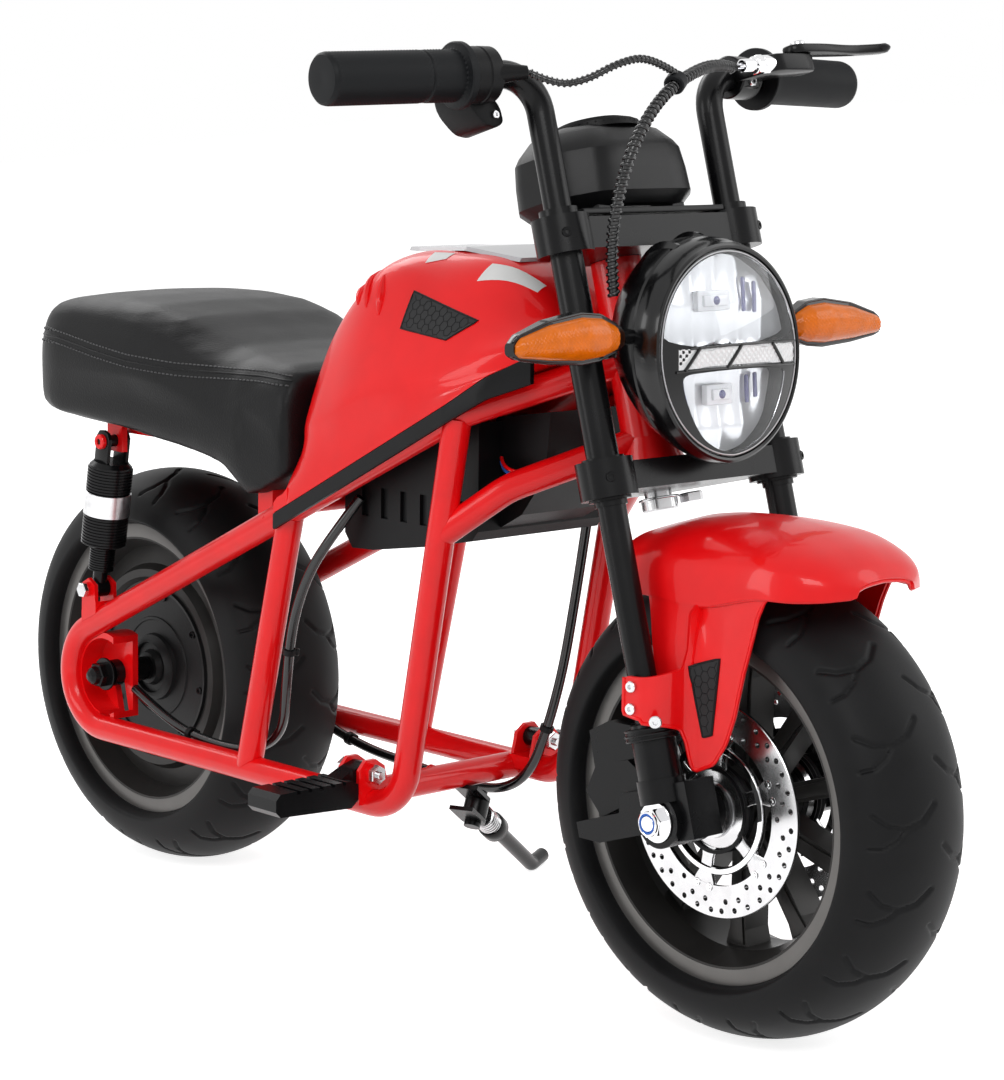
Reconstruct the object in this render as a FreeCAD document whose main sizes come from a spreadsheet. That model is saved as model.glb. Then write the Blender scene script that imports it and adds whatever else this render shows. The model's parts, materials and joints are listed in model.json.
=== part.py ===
import FreeCAD, Part
import math
import os
import Sketcher

Vector = FreeCAD.Vector
Rotation = FreeCAD.Rotation
Placement = FreeCAD.Placement

# Kids electric motorcycle with 12 inch tyres, standing on its side stand.
# Millimetres. Forward is -Y, the rider's left is +X, up is +Z. Every piece is
# drawn on the upright bike, with the origin on the floor midway between the
# axles, and then leans with the bike onto the stand.

SIZES = [
    # Whole bike
    ("wheelbase", 595.0), ("lean_angle", 5.0), ("weld_gap", 0.2), ("fit_gap", 0.3),
    # Tyres and rims
    ("tyre_radius", 152.0), ("tyre_width", 100.0), ("crown_radius", 66.0),
    ("shoulder_radius", 29.0), ("bead_radius", 112.0), ("rim_width", 77.0), ("lip_height", 8.0),
    ("lip_thickness", 3.5), ("barrel_wall", 4.0), ("well_depth", 7.0),
    ("hub_radius", 24.0), ("hub_width", 58.0), ("spoke_count", 10.0), ("spoke_width", 15.0),
    ("spoke_depth", 22.0), ("axle_diameter", 12.0),
    # Brake discs
    ("disc_radius", 70.0), ("disc_thickness", 3.0), ("disc_ring", 21.0), ("disc_plane", 35.0),
    ("disc_arms", 6.0), ("disc_holes", 12.0), ("disc_hole_diameter", 4.5),
    # Hub motor
    ("motor_radius", 76.0), ("motor_width", 62.0), ("motor_cover_radius", 64.0),
    ("motor_cover_step", 4.0), ("motor_boss_radius", 19.0), ("motor_boss_length", 9.0),
    # Frame tubes
    ("tube_diameter", 19.0), ("hoop_spread", 162.0), ("rail_angle", 25.8), ("loop_radius", 40.0),
    ("loop_lead", 6.5), ("dropout_plane", 58.0), ("rail_turn_y", -104.0), ("down_tube_angle", 10.8), ("down_tube_y", -51.0),
    ("lower_bend_radius", 36.0), ("strut_foot_y", 115.0), ("strut_angle", 13.9),
    ("lower_cross_y", 3.0), ("upper_cross_y", 52.0), ("brace_foot_height", 306.0),
    ("head_tube_diameter", 34.0),
    # Steering geometry
    ("rake_angle", 16.0), ("stem_offset", 34.0), ("fork_spread", 156.0), ("fork_tube_diameter", 21.0),
    ("slider_diameter", 18.5), ("lower_clamp_height", 203.0), ("upper_clamp_height", 358.0),
    ("clamp_thickness", 24.0), ("clamp_boss_diameter", 37.0), ("stem_diameter", 18.0),
    # Handlebar
    ("bar_diameter", 18.0), ("bar_rise", 93.0), ("bar_bend_radius", 26.0), ("bar_half_width", 237.5),
    ("bar_sweep", 18.0), ("lever_reach", -37.0), ("grip_diameter", 33.0), ("grip_length", 104.0),
    # Fork lower legs
    ("leg_diameter", 31.0), ("leg_top", 58.0), ("leg_flange_diameter", 34.0), ("leg_boss_radius", 17.0),
    ("leg_boss_outside", 9.5),
    # Battery and controller case
    ("case_width", 118.0), ("case_rear", 36.0), ("case_floor", 281.0), ("case_top", 350.0),
    ("case_nose_width", 76.0),
    # Tank and seat
    ("tank_gap", 0.4), ("seat_width", 194.0), ("seat_corner_radius", 62.0),
    # Rear shocks
    ("shock_x", 80.0), ("shock_top_lead", 18.5), ("shock_top", 333.0), ("shock_low_lag", 0.5),
    ("shock_low", 219.0), ("shock_diameter", 34.0),
    # Foot pegs
    ("peg_pivot_y", -12.0), ("peg_pivot_height", 133.0), ("peg_pivot_x", 84.0), ("peg_length", 72.0), ("peg_drop", 11.0),
    ("peg_width", 30.0), ("peg_thickness", 19.0), ("peg_pin_diameter", 8.0),
    ("peg_ear_gap", 16.0),
    # Side stand
    ("stand_pivot_x", 38.0), ("stand_pivot_height", 84.0), ("stand_leg_diameter", 11.0),
    ("stand_foot_x", 140.0), ("stand_foot_y", 50.0),
    ("stand_pin_diameter", 7.0), ("stand_tongue", 12.0),
]

doc = FreeCAD.newDocument("KidsElectricMotorcycle")
sheet = doc.addObject("Spreadsheet::Sheet", "Sizes")
for row, (alias, number) in enumerate(SIZES, start=1):
    sheet.set(f"A{row}", alias)
    sheet.set(f"B{row}", str(number))
    sheet.setAlias(f"B{row}", alias)
doc.recompute()


class Size:
    """A number kept together with the sheet expression that gives it."""

    def __init__(self, value, text):
        self.value = value
        self.text = text

    def __add__(self, other):
        other = as_size(other)
        return Size(self.value + other.value, f"({self.text} + {other.text})")

    def __sub__(self, other):
        other = as_size(other)
        return Size(self.value - other.value, f"({self.text} - {other.text})")

    def __rsub__(self, other):
        return as_size(other) - self

    def __mul__(self, other):
        other = as_size(other)
        return Size(self.value * other.value, f"({self.text} * {other.text})")

    def __truediv__(self, other):
        other = as_size(other)
        return Size(self.value / other.value, f"({self.text} / {other.text})")

    def __neg__(self):
        return Size(-self.value, f"(0 - {self.text})")

    __radd__ = __add__
    __rmul__ = __mul__


def as_size(number):
    if isinstance(number, Size):
        return number
    return Size(float(number), f"({float(number)!r})")


class Sheet:
    """Every size of the sheet as an attribute."""


s = Sheet()
for alias, number in SIZES:
    setattr(s, alias, Size(float(sheet.get(alias)), f"Sizes.{alias}"))


def bind(item, prop, size):
    """Tie one property to the sheet, or set it where it is a plain number."""
    if isinstance(size, Size):
        item.setExpression(prop, size.text)
    else:
        item.setExpression(prop, as_size(size).text)


def along(y):
    """Place along the bike, drawn for wheels 595 apart, that stretches with them."""
    return y * s.wheelbase.value / 595.0


def sin(angle):
    return Size(math.sin(math.radians(angle.value)), f"sin({angle.text} * 1 deg)")


def cos(angle):
    return Size(math.cos(math.radians(angle.value)), f"cos({angle.text} * 1 deg)")


def tan(angle):
    return Size(math.tan(math.radians(angle.value)), f"tan({angle.text} * 1 deg)")


def move(x, y, z):
    return Placement(Vector(x, y, z), Rotation())


def turn(axis, degrees):
    return Placement(Vector(), Rotation(Vector(*axis), degrees))


# Places of the whole bike, upright
axle_z = s.tyre_radius
front_y = -s.wheelbase / 2
rear_y = s.wheelbase / 2
hoop_x = s.hoop_spread / 2
tube_r = s.tube_diameter / 2
fork_x = s.fork_spread / 2
fork_r = s.fork_tube_diameter / 2
slider_r = s.slider_diameter / 2
bar_r = s.bar_diameter / 2
bar_z = s.upper_clamp_height + s.clamp_thickness + s.bar_rise
shock_y_top = rear_y - s.shock_top_lead
shock_y_low = rear_y + s.shock_low_lag

# Steering pieces are drawn in the fork's own frame: its origin is the middle of
# the front axle, its z axis runs up the fork and its y axis points rearwards.
FORK = move(0, front_y.value, axle_z.value) * turn((1, 0, 0), -s.rake_angle.value)
# Wheels are drawn about their own z axis, which is laid along x.
FRONT_WHEEL = move(0, front_y.value, axle_z.value) * turn((0, 1, 0), 90)
REAR_WHEEL = move(0, rear_y.value, axle_z.value) * turn((0, 1, 0), 90)
UPRIGHT = Placement()

nodes = []


def keep(item, name, frame=UPRIGHT):
    """Name a finished sub-part and note the frame that it is drawn in."""
    item.Label = name
    nodes.append((item, name, frame))
    return item


def feature(name, shape, frame=UPRIGHT):
    item = doc.addObject("Part::Feature", name)
    item.Shape = shape
    return keep(item, name, frame)


# Sketches

def new_body(name):
    return doc.addObject("PartDesign::Body", name)


def origin_item(body, role):
    return [part for part in body.Origin.OriginFeatures if part.Role == role][0]


def new_sketch(body, plane, name, offset=None):
    sketch = body.newObject("Sketcher::SketchObject", name)
    sketch.AttachmentSupport = [(origin_item(body, plane), "")]
    sketch.MapMode = "FlatFace"
    if offset is not None:
        bind(sketch, "AttachmentOffset.Base.z", offset)
    return sketch


def outline(sketch, corners):
    """Closed outline. A corner is (u, v), or (u, v, radius) where the edge that
    leaves it is an arc; a positive radius turns anticlockwise."""
    first = sketch.GeometryCount
    count = len(corners)
    ends = []
    points = [Vector(as_size(c[0]).value, as_size(c[1]).value, 0) for c in corners]
    for index, corner in enumerate(corners):
        start = points[index]
        end = points[(index + 1) % count]
        if len(corner) == 2:
            sketch.addGeometry(Part.LineSegment(start, end))
            ends.append((1, 2))
            continue
        radius = as_size(corner[2])
        chord = end - start
        middle = (start + end) * 0.5
        rise = math.sqrt(max(radius.value ** 2 - (chord.Length / 2) ** 2, 0.0))
        normal = Vector(-chord.y, chord.x, 0).normalize()
        side = 1 if radius.value > 0 else -1
        centre = middle + normal * (rise * side)
        first_end, last_end = (start, end) if side > 0 else (end, start)
        angle_0 = math.atan2(first_end.y - centre.y, first_end.x - centre.x)
        angle_1 = math.atan2(last_end.y - centre.y, last_end.x - centre.x)
        if angle_1 < angle_0:
            angle_1 += 2 * math.pi
        circle = Part.Circle(centre, Vector(0, 0, 1), abs(radius.value))
        sketch.addGeometry(Part.ArcOfCircle(circle, angle_0, angle_1))
        ends.append((1, 2) if side > 0 else (2, 1))
    for index in range(count):
        following = (index + 1) % count
        sketch.addConstraint(Sketcher.Constraint(
            "Coincident", first + index, ends[index][1], first + following, ends[following][0]))
    for index, corner in enumerate(corners):
        for kind, number in (("DistanceX", corner[0]), ("DistanceY", corner[1])):
            size = as_size(number)
            place = sketch.addConstraint(Sketcher.Constraint(
                kind, -1, 1, first + index, ends[index][0], size.value))
            sketch.setExpression(f"Constraints[{place}]", size.text)
        if len(corner) == 3:
            radius = as_size(corner[2])
            radius = radius if radius.value > 0 else -radius
            place = sketch.addConstraint(Sketcher.Constraint("Radius", first + index, radius.value))
            sketch.setExpression(f"Constraints[{place}]", radius.text)
    return sketch


def circle(sketch, u, v, radius):
    u, v, radius = as_size(u), as_size(v), as_size(radius)
    index = sketch.addGeometry(Part.Circle(Vector(u.value, v.value, 0), Vector(0, 0, 1), radius.value))
    for kind, size in (("DistanceX", u), ("DistanceY", v)):
        place = sketch.addConstraint(Sketcher.Constraint(kind, -1, 1, index, 3, size.value))
        sketch.setExpression(f"Constraints[{place}]", size.text)
    place = sketch.addConstraint(Sketcher.Constraint("Radius", index, radius.value))
    sketch.setExpression(f"Constraints[{place}]", radius.text)
    return sketch


# Features

def pad(body, sketch, length, name, middle=False, back=False):
    item = body.newObject("PartDesign::Pad", name)
    item.Profile = sketch
    bind(item, "Length", length)
    if middle:
        item.SideType = "Symmetric"
    item.Reversed = back
    return item


def pocket(body, sketch, length, name, middle=False, back=False):
    item = body.newObject("PartDesign::Pocket", name)
    item.Profile = sketch
    bind(item, "Length", length)
    if middle:
        item.SideType = "Symmetric"
    item.Reversed = back
    return item


def revolve(body, sketch, name, axis="V_Axis"):
    item = body.newObject("PartDesign::Revolution", name)
    item.Profile = sketch
    item.ReferenceAxis = (sketch, [axis])
    item.Angle = 360
    return item


def polar(body, originals, count, name):
    item = body.newObject("PartDesign::PolarPattern", name)
    item.Originals = originals
    item.Axis = (origin_item(body, "Z_Axis"), [""])
    item.Angle = 360
    bind(item, "Occurrences", count)
    body.Tip = item
    return item


# Primitives and booleans

def set_base(item, x, y, z):
    for axis, number in (("x", x), ("y", y), ("z", z)):
        bind(item, f"Placement.Base.{axis}", number)


def box(name, length, width, height, x, y, z):
    """A block whose middle in x and y, and whose bottom, lie at the point."""
    item = doc.addObject("Part::Box", name)
    bind(item, "Length", length)
    bind(item, "Width", width)
    bind(item, "Height", height)
    set_base(item, as_size(x) - as_size(length) / 2, as_size(y) - as_size(width) / 2, z)
    return item


AXES = {"z": Rotation(), "x": Rotation(Vector(0, 1, 0), 90), "y": Rotation(Vector(1, 0, 0), -90)}


def cylinder(name, radius, length, x, y, z, axis="z"):
    item = doc.addObject("Part::Cylinder", name)
    bind(item, "Radius", radius)
    bind(item, "Height", length)
    item.Placement = Placement(Vector(), AXES[axis])
    set_base(item, x, y, z)
    return item


def fuse(name, items):
    item = doc.addObject("Part::MultiFuse", name)
    item.Shapes = items
    return item


def cut(name, base, tools):
    tool = tools[0] if len(tools) == 1 else fuse(name + "_tools", tools)
    item = doc.addObject("Part::Cut", name)
    item.Base = base
    item.Tool = tool
    return item


# Tubes

def rounded_path(points, radii):
    """Straight runs through the points, joined by tangent arcs."""
    points = [Vector(*point) for point in points]
    edges = []
    last = points[0]
    for index in range(1, len(points) - 1):
        corner = points[index]
        before = (points[index - 1] - corner).normalize()
        after = (points[index + 1] - corner).normalize()
        half = before.getAngle(after) / 2
        radius = radii[index - 1] if isinstance(radii, (list, tuple)) else radii
        reach = radius / math.tan(half)
        bisector = (before + after).normalize()
        centre = corner + bisector * (radius / math.sin(half))
        start = corner + before * reach
        end = corner + after * reach
        middle = centre - bisector * radius
        if (start - last).Length > 1e-6:
            edges.append(Part.LineSegment(last, start).toShape())
        edges.append(Part.Arc(start, middle, end).toShape())
        last = end
    edges.append(Part.LineSegment(last, points[-1]).toShape())
    return Part.Wire(edges)


def tube(path, radius):
    """A round bar along a path of lines and arcs."""
    edge = path.Edges[0]
    start = edge.valueAt(edge.FirstParameter)
    direction = edge.tangentAt(edge.FirstParameter)
    profile = Part.Wire([Part.makeCircle(radius, start, direction)])
    return path.makePipeShell([profile], True, False)


def bar(start, end, radius):
    start = Vector(*start)
    end = Vector(*end)
    return Part.makeCylinder(radius, (end - start).Length, start, end - start)


def mirrored(shape):
    return shape.mirror(Vector(), Vector(1, 0, 0))


def joined(shapes):
    """One solid from shapes that overlap."""
    result = shapes[0].fuse(shapes[1:]) if len(shapes) > 1 else shapes[0]
    return result.removeSplitter()


def pair(shape):
    """The shape of the right side and its mirror image, not touching."""
    return Part.makeCompound([shape, mirrored(shape)])


def prism(points, plane, start, end):
    """A flat outline in the (y, z) or (x, z) plane, drawn out from start to end."""
    if plane == "yz":
        corners = [Vector(start, u, v) for u, v in points]
        way = Vector(end - start, 0, 0)
    elif plane == "xz":
        corners = [Vector(u, start, v) for u, v in points]
        way = Vector(0, end - start, 0)
    else:
        corners = [Vector(u, v, start) for u, v in points]
        way = Vector(0, 0, end - start)
    wire = Part.makePolygon(corners + corners[:1])
    return Part.Face(wire).extrude(way)


def loft(sections, ruled=True):
    wires = [Part.makePolygon(points + points[:1]) for points in sections]
    return Part.makeLoft(wires, True, ruled)


# Wheels

def tyre(name, frame):
    """A tyre with a round crown and round shoulders, seated on the rim."""
    half = s.tyre_width / 2
    crown_rise = s.crown_radius - s.shoulder_radius
    shoulder_u = half - s.shoulder_radius
    rise = math.sqrt(crown_rise.value ** 2 - shoulder_u.value ** 2)
    rise = Size(rise, f"sqrt({crown_rise.text}^2 - {shoulder_u.text}^2)")
    shoulder_r = s.tyre_radius - s.crown_radius + rise
    crown_u = shoulder_u * s.crown_radius / crown_rise
    crown_v = s.tyre_radius - s.crown_radius + rise * s.crown_radius / crown_rise
    rim_u = s.rim_width / 2
    bead_u = rim_u - s.lip_thickness - s.fit_gap
    bead_r = s.bead_radius - s.lip_height + s.fit_gap
    lip_r = s.bead_radius + s.fit_gap
    body = new_body(name)
    sketch = new_sketch(body, "XZ_Plane", name + "_section")
    outline(sketch, [
        (crown_v, crown_u, s.shoulder_radius),
        (shoulder_r, half, 7.0),
        (lip_r + 2.0, rim_u + 2.5),
        (lip_r, rim_u),
        (lip_r, bead_u),
        (bead_r, bead_u),
        (bead_r, -bead_u),
        (lip_r, -bead_u),
        (lip_r, -rim_u),
        (lip_r + 2.0, -rim_u - 2.5, 7.0),
        (shoulder_r, -half, s.shoulder_radius),
        (crown_v, -crown_u, s.crown_radius),
    ])
    revolve(body, sketch, name + "_ring")
    return keep(body, name, frame)


def rim_section(sketch):
    """Half section of a rim: flat lips, seats for the tyre and a well between."""
    half = s.rim_width / 2
    seat = s.bead_radius - s.lip_height
    wall = s.barrel_wall
    inner = seat - wall
    well = seat - s.well_depth
    lip = s.lip_thickness
    outline(sketch, [
        (s.bead_radius, half), (s.bead_radius, half - lip),
        (seat, half - lip), (seat, half - 14.0),
        (well, half - 22.0), (well, 22.0 - half),
        (seat, 14.0 - half), (seat, lip - half),
        (s.bead_radius, lip - half), (s.bead_radius, -half),
        (inner, -half), (well - wall, 20.0 - half),
        (well - wall, half - 20.0), (inner, half),
    ])


def front_rim():
    body = new_body("front_rim")
    sketch = new_sketch(body, "XZ_Plane", "front_rim_section")
    rim_section(sketch)
    revolve(body, sketch, "front_rim_barrel")
    hub = new_sketch(body, "XZ_Plane", "front_hub_section")
    bore = s.axle_diameter / 2 + s.fit_gap
    half = s.hub_width / 2
    spoke_half = s.spoke_depth / 2
    well_in = s.bead_radius - s.lip_height - s.well_depth - s.barrel_wall
    spoke = new_sketch(body, "XY_Plane", "front_spoke_outline")
    inside = s.hub_radius - 4.0
    outside = well_in + 1.0
    root = s.spoke_width / 2 - 1.5
    end = s.spoke_width / 2 + 2.0
    outline(spoke, [(inside, -root), (outside - 12.0, -s.spoke_width / 2 + 1.0), (outside, -end),
                    (outside, end), (outside - 12.0, s.spoke_width / 2 - 1.0), (inside, root)])
    arm = pad(body, spoke, s.spoke_depth, "front_spoke", middle=True)
    polar(body, [arm], s.spoke_count, "front_spokes")
    outline(hub, [(bore, -half), (s.hub_radius - 6.0, -half), (s.hub_radius - 6.0, -spoke_half - 4.0),
                  (s.hub_radius, -spoke_half), (s.hub_radius, spoke_half),
                  (s.hub_radius - 6.0, spoke_half + 4.0), (s.hub_radius - 6.0, half), (bore, half)])
    revolve(body, hub, "front_hub")
    return keep(body, "front_rim", FRONT_WHEEL)


def brake_disc(name, side):
    """A drilled disc with a six armed carrier that sits on the end of the hub."""
    body = new_body(name)
    plane = s.disc_plane * side
    start = plane - s.disc_thickness / 2
    inner = s.disc_radius - s.disc_ring
    ring = new_sketch(body, "XY_Plane", name + "_outline", start)
    circle(ring, 0, 0, s.disc_radius)
    circle(ring, 0, 0, inner)
    pad(body, ring, s.disc_thickness, name + "_ring")
    hole = new_sketch(body, "XY_Plane", name + "_hole_outline", start)
    circle(hole, s.disc_radius - 6.0, 0, s.disc_hole_diameter / 2)
    first = pocket(body, hole, s.disc_thickness, name + "_hole", back=True)
    polar(body, [first], s.disc_holes, name + "_outer_holes")
    arm = new_sketch(body, "XY_Plane", name + "_arm_outline", start)
    hub = s.hub_radius + 4.0
    outline(arm, [(hub - 2.0, -6.0), (inner + 3.0, -5.0), (inner + 3.0, 5.0), (hub - 2.0, 6.0)])
    first_arm = pad(body, arm, s.disc_thickness, name + "_arm")
    polar(body, [first_arm], s.disc_arms, name + "_arms")
    seat = new_sketch(body, "XZ_Plane", name + "_carrier_section")
    near = s.hub_width / 2 * side
    bore = s.axle_diameter / 2 + s.fit_gap
    far = plane + side * 6.0
    near_face = plane - s.disc_thickness / 2 * side
    far_face = plane + s.disc_thickness / 2 * side
    outline(seat, [(s.hub_radius - 10.0, near), (s.hub_radius - 2.0, near), (hub, near_face),
                   (hub, far_face), (s.hub_radius - 10.0, far), (bore, far),
                   (bore, near + side * 3.0), (s.hub_radius - 10.0, near + side * 3.0)])
    revolve(body, seat, name + "_carrier")
    return keep(body, name, FRONT_WHEEL)


def rear_rim():
    """Rear rim with the hub motor in its middle, one casting to the eye."""
    body = new_body("rear_rim")
    sketch = new_sketch(body, "XZ_Plane", "rear_rim_section")
    rim_section(sketch)
    revolve(body, sketch, "rear_rim_barrel")
    web = new_sketch(body, "XZ_Plane", "rear_web_section")
    well_in = s.bead_radius - s.lip_height - s.well_depth - s.barrel_wall
    half = s.motor_width / 2
    cover = s.motor_cover_radius
    step = s.motor_cover_step
    outline(web, [(s.motor_radius, half), (s.motor_radius + 4.0, half - 7.0), (well_in + 1.0, half - 11.0),
                  (well_in + 1.0, 11.0 - half), (s.motor_radius + 4.0, 7.0 - half), (s.motor_radius, -half),
                  (cover + 6.0, -half), (cover + 3.0, step - half), (cover, step - half),
                  (cover, half - step), (cover + 3.0, half - step), (cover + 6.0, half)])
    revolve(body, web, "rear_web")
    return keep(body, "rear_rim", REAR_WHEEL)


def hub_motor():
    body = new_body("hub_motor")
    sketch = new_sketch(body, "XZ_Plane", "hub_motor_section")
    face = s.motor_width / 2 - s.motor_cover_step
    radius = s.motor_cover_radius - s.weld_gap
    boss = s.motor_boss_radius
    end = face + s.motor_boss_length
    bore = s.axle_diameter / 2 + s.fit_gap
    outline(sketch, [
        (radius, face), (boss, face), (boss, end - 5.0), (boss - 5.0, end - 5.0), (boss - 7.0, end),
        (bore, end), (bore, -end), (boss - 7.0, -end), (boss - 5.0, 5.0 - end), (boss, 5.0 - end),
        (boss, -face), (radius, -face)])
    revolve(body, sketch, "hub_motor_disc")
    return keep(body, "hub_motor", REAR_WHEEL)


# Frame

def rail_height(y):
    """Height of the middle of the top rail, which runs straight to the loop."""
    angle = math.radians(s.rail_angle.value)
    centre_y = rear_y.value - s.loop_lead.value
    touch_y = centre_y + s.loop_radius.value * math.sin(angle)
    touch_z = axle_z.value + s.loop_radius.value * math.cos(angle)
    return touch_z + (touch_y - y) * math.tan(angle)


stay_z = (axle_z - s.loop_radius).value
down_slope = math.tan(math.radians(s.down_tube_angle.value))
strut_slope = math.tan(math.radians(s.strut_angle.value))


def down_tube_y_at(z):
    return s.down_tube_y.value - (z - stay_z) * down_slope


def stem_point(height):
    """Point of the steering axis at a height along the fork, upright bike."""
    return FORK.multVec(Vector(0, s.stem_offset.value, height))


rail_end = stem_point(s.upper_clamp_height.value - 64.0)
brace_end = stem_point(s.lower_clamp_height.value + s.clamp_thickness.value + 14.0)


def rail_path():
    """Top rail, rear loop, lower stay and front bend of the right hoop."""
    x = -hoop_x.value
    turn_y = s.rail_turn_y.value
    centre_y = rear_y.value - s.loop_lead.value
    radius = s.loop_radius.value
    angle = math.radians(s.rail_angle.value)
    direction = Vector(0, math.cos(angle), -math.sin(angle))
    touch = Vector(x, centre_y + radius * math.sin(angle), axle_z.value + radius * math.cos(angle))
    middle = Vector(x, centre_y + radius * math.cos(angle / 2), axle_z.value + radius * math.sin(angle / 2))
    bottom = Vector(x, centre_y, stay_z)
    corner = Vector(x, turn_y, rail_height(turn_y))
    head = Vector(-6.0, rail_end.y, rail_end.z)
    before = (head - corner).normalize()
    half = before.getAngle(direction) / 2
    bend = 34.0
    reach = bend / math.tan(half)
    bisector = (before + direction).normalize()
    centre = corner + bisector * (bend / math.sin(half))
    start = corner + before * reach
    end = corner + direction * reach
    front = Part.Wire([
        Part.LineSegment(head, start).toShape(),
        Part.Arc(start, centre - bisector * bend, end).toShape(),
        Part.LineSegment(end, touch).toShape(),
        Part.Arc(touch, middle, bottom).toShape()])
    lower = rounded_path([
        tuple(bottom), (x, s.down_tube_y.value, stay_z),
        (x, down_tube_y_at(rail_height(-100.0)), rail_height(-100.0))], s.lower_bend_radius.value)
    return front, lower


front_path, lower_path = rail_path()


def hoop_solid(radius):
    return joined([tube(front_path, radius), tube(lower_path, radius)])


LOWER_WEB_RISE = 3.0
UPPER_WEB_RISE = 2.0
head_low = (s.lower_clamp_height + s.clamp_thickness - LOWER_WEB_RISE + s.fit_gap).value
head_high = (s.upper_clamp_height + UPPER_WEB_RISE - s.fit_gap).value


def head_cylinder(extra=0.0):
    """Head tube between the webs of the two clamps."""
    low, high = head_low, head_high
    shape = Part.makeCylinder(s.head_tube_diameter.value / 2 + extra, high - low,
                              Vector(0, s.stem_offset.value, low))
    shape.Placement = FORK
    return shape


def flare_cone(extra=0.0):
    radius = s.head_tube_diameter.value / 2
    shape = Part.makeCone(radius + 5.0 + extra, radius + extra, 18.0, Vector(0, s.stem_offset.value, head_low))
    shape.Placement = FORK
    return shape


def right_side():
    """Room that holds the right half of the frame, up to the weld in its middle."""
    long = 2 * s.wheelbase.value
    return Part.makeBox(300, long, long, Vector(-300 - s.weld_gap.value / 2, -long / 2, 0))


def hoop_right_shape():
    gap = s.weld_gap.value
    head = joined([head_cylinder(gap), flare_cone(gap)])
    shape = hoop_solid(tube_r.value).cut(head)
    return shape.common(right_side())


def make_frame():
    gap = s.weld_gap.value
    radius = tube_r.value
    x = -hoop_x.value
    right = hoop_right_shape()
    feature("hoop_right", right)
    feature("hoop_left", mirrored(right))
    right_cut = hoop_solid(radius + gap)
    left_cut = mirrored(right_cut)
    # rear strut between the lower stay and the top rail
    foot = (x, s.strut_foot_y.value, stay_z)
    top_y = s.strut_foot_y.value - (rail_height(70.0) - stay_z) * strut_slope
    top = (x, top_y, rail_height(top_y))
    strut = bar(foot, top, radius).cut(right_cut)
    strut = max(strut.Solids, key=lambda solid: solid.Volume)
    feature("rear_struts", pair(strut))
    # cross tubes
    lower_y = s.lower_cross_y.value
    upper_y = s.upper_cross_y.value
    lower = bar((x, lower_y, stay_z), (-x, lower_y, stay_z), radius).cut(right_cut).cut(left_cut)
    upper_z = rail_height(upper_y)
    upper = bar((x, upper_y, upper_z), (-x, upper_y, upper_z), radius * 0.8).cut(right_cut).cut(left_cut)
    parts = [max(shape.Solids, key=lambda solid: solid.Volume) for shape in (lower, upper)]
    feature("cross_tubes", Part.makeCompound(parts))
    # head tube, bored for the stem
    head = joined([head_cylinder(), flare_cone()])
    bore = Part.makeCylinder(s.stem_diameter.value / 2 + s.fit_gap.value, 400, Vector(0, s.stem_offset.value, 100))
    bore.Placement = FORK
    feature("head_tube", head.cut(bore))
    # braces from the down tubes to the foot of the head tube
    foot_z = s.brace_foot_height.value
    foot_y = down_tube_y_at(foot_z)
    end = (-8.0, brace_end.y, brace_end.z)
    middle = (x * 0.74, foot_y - 42.0, foot_z + 34.0)
    path = rounded_path([(x, foot_y, foot_z), middle, end], 60.0)
    brace = tube(path, radius).cut(right_cut).cut(joined([head_cylinder(gap), flare_cone(gap)]))
    brace = max(brace.common(right_side()).Solids, key=lambda solid: solid.Volume)
    feature("head_braces", pair(brace))


def dropout_shape():
    """Dished plate inside the loop, with a slot that opens downwards."""
    gap = s.weld_gap.value
    centre_y = rear_y.value - s.loop_lead.value
    centre = Vector(-hoop_x.value, centre_y, axle_z.value)
    inner = s.loop_radius.value - tube_r.value
    outer_x = -hoop_x.value
    plate_x = -s.dropout_plane.value
    axis = Vector(1, 0, 0)
    depth = plate_x - outer_x
    pan = Part.makeCylinder(inner + 3.0, depth, centre, axis)
    pan = pan.cut(Part.makeCylinder(inner - 1.5, depth - 5.0, centre, axis))
    front_y = centre_y - 12.0
    keep_box = Part.makeBox(80, 200, 200, Vector(-100, front_y, 60))
    pan = pan.common(keep_box)
    slot_radius = s.axle_diameter.value / 2 + gap
    axle = Vector(outer_x - 1.0, rear_y.value, axle_z.value)
    slot = Part.makeCylinder(slot_radius, depth + 2.0, axle, axis)
    way = Part.makeBox(depth + 2.0, 2 * slot_radius, 60,
                       Vector(outer_x - 1.0, rear_y.value - slot_radius, axle_z.value - 60))
    way.rotate(axle, axis, -14.0)
    shape = pan.cut(slot).cut(way).cut(hoop_solid(tube_r.value + gap))
    return Part.makeCompound([solid for solid in shape.Solids if solid.Volume > 500.0])


def make_rear_end():
    right = dropout_shape()
    feature("dropouts", Part.makeCompound(right.Solids + mirrored(right).Solids))
    # axle with a washer, nut and cap at each end
    plate_x = s.dropout_plane
    radius = s.axle_diameter / 2
    y, z = rear_y, axle_z
    rod = cylinder("rear_axle_rod", radius, plate_x * 2 + 32.0, -plate_x - 16.0, y, z, "x")
    pieces = [rod]
    for side, name in ((-1, "right"), (1, "left")):
        face = plate_x * side + (s.fit_gap + 5.0) * side
        start = face if side > 0 else face - 8.0
        pieces.append(cylinder("rear_nut_" + name, 10.0, 8.0, start, y, z, "x"))
        start = plate_x * side + 12.0 * side if side > 0 else -plate_x - 18.0
        pieces.append(cylinder("rear_cap_" + name, 7.5, 6.0, start, y, z, "x"))
        near = s.motor_width / 2 - s.motor_cover_step + s.motor_boss_length + s.fit_gap
        length = plate_x - s.weld_gap - near
        start = near if side > 0 else -plate_x + s.weld_gap
        pieces.append(cylinder("rear_spacer_" + name, 9.0, length, start, y, z, "x"))
    keep(fuse("rear_axle", pieces), "rear_axle")


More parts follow.
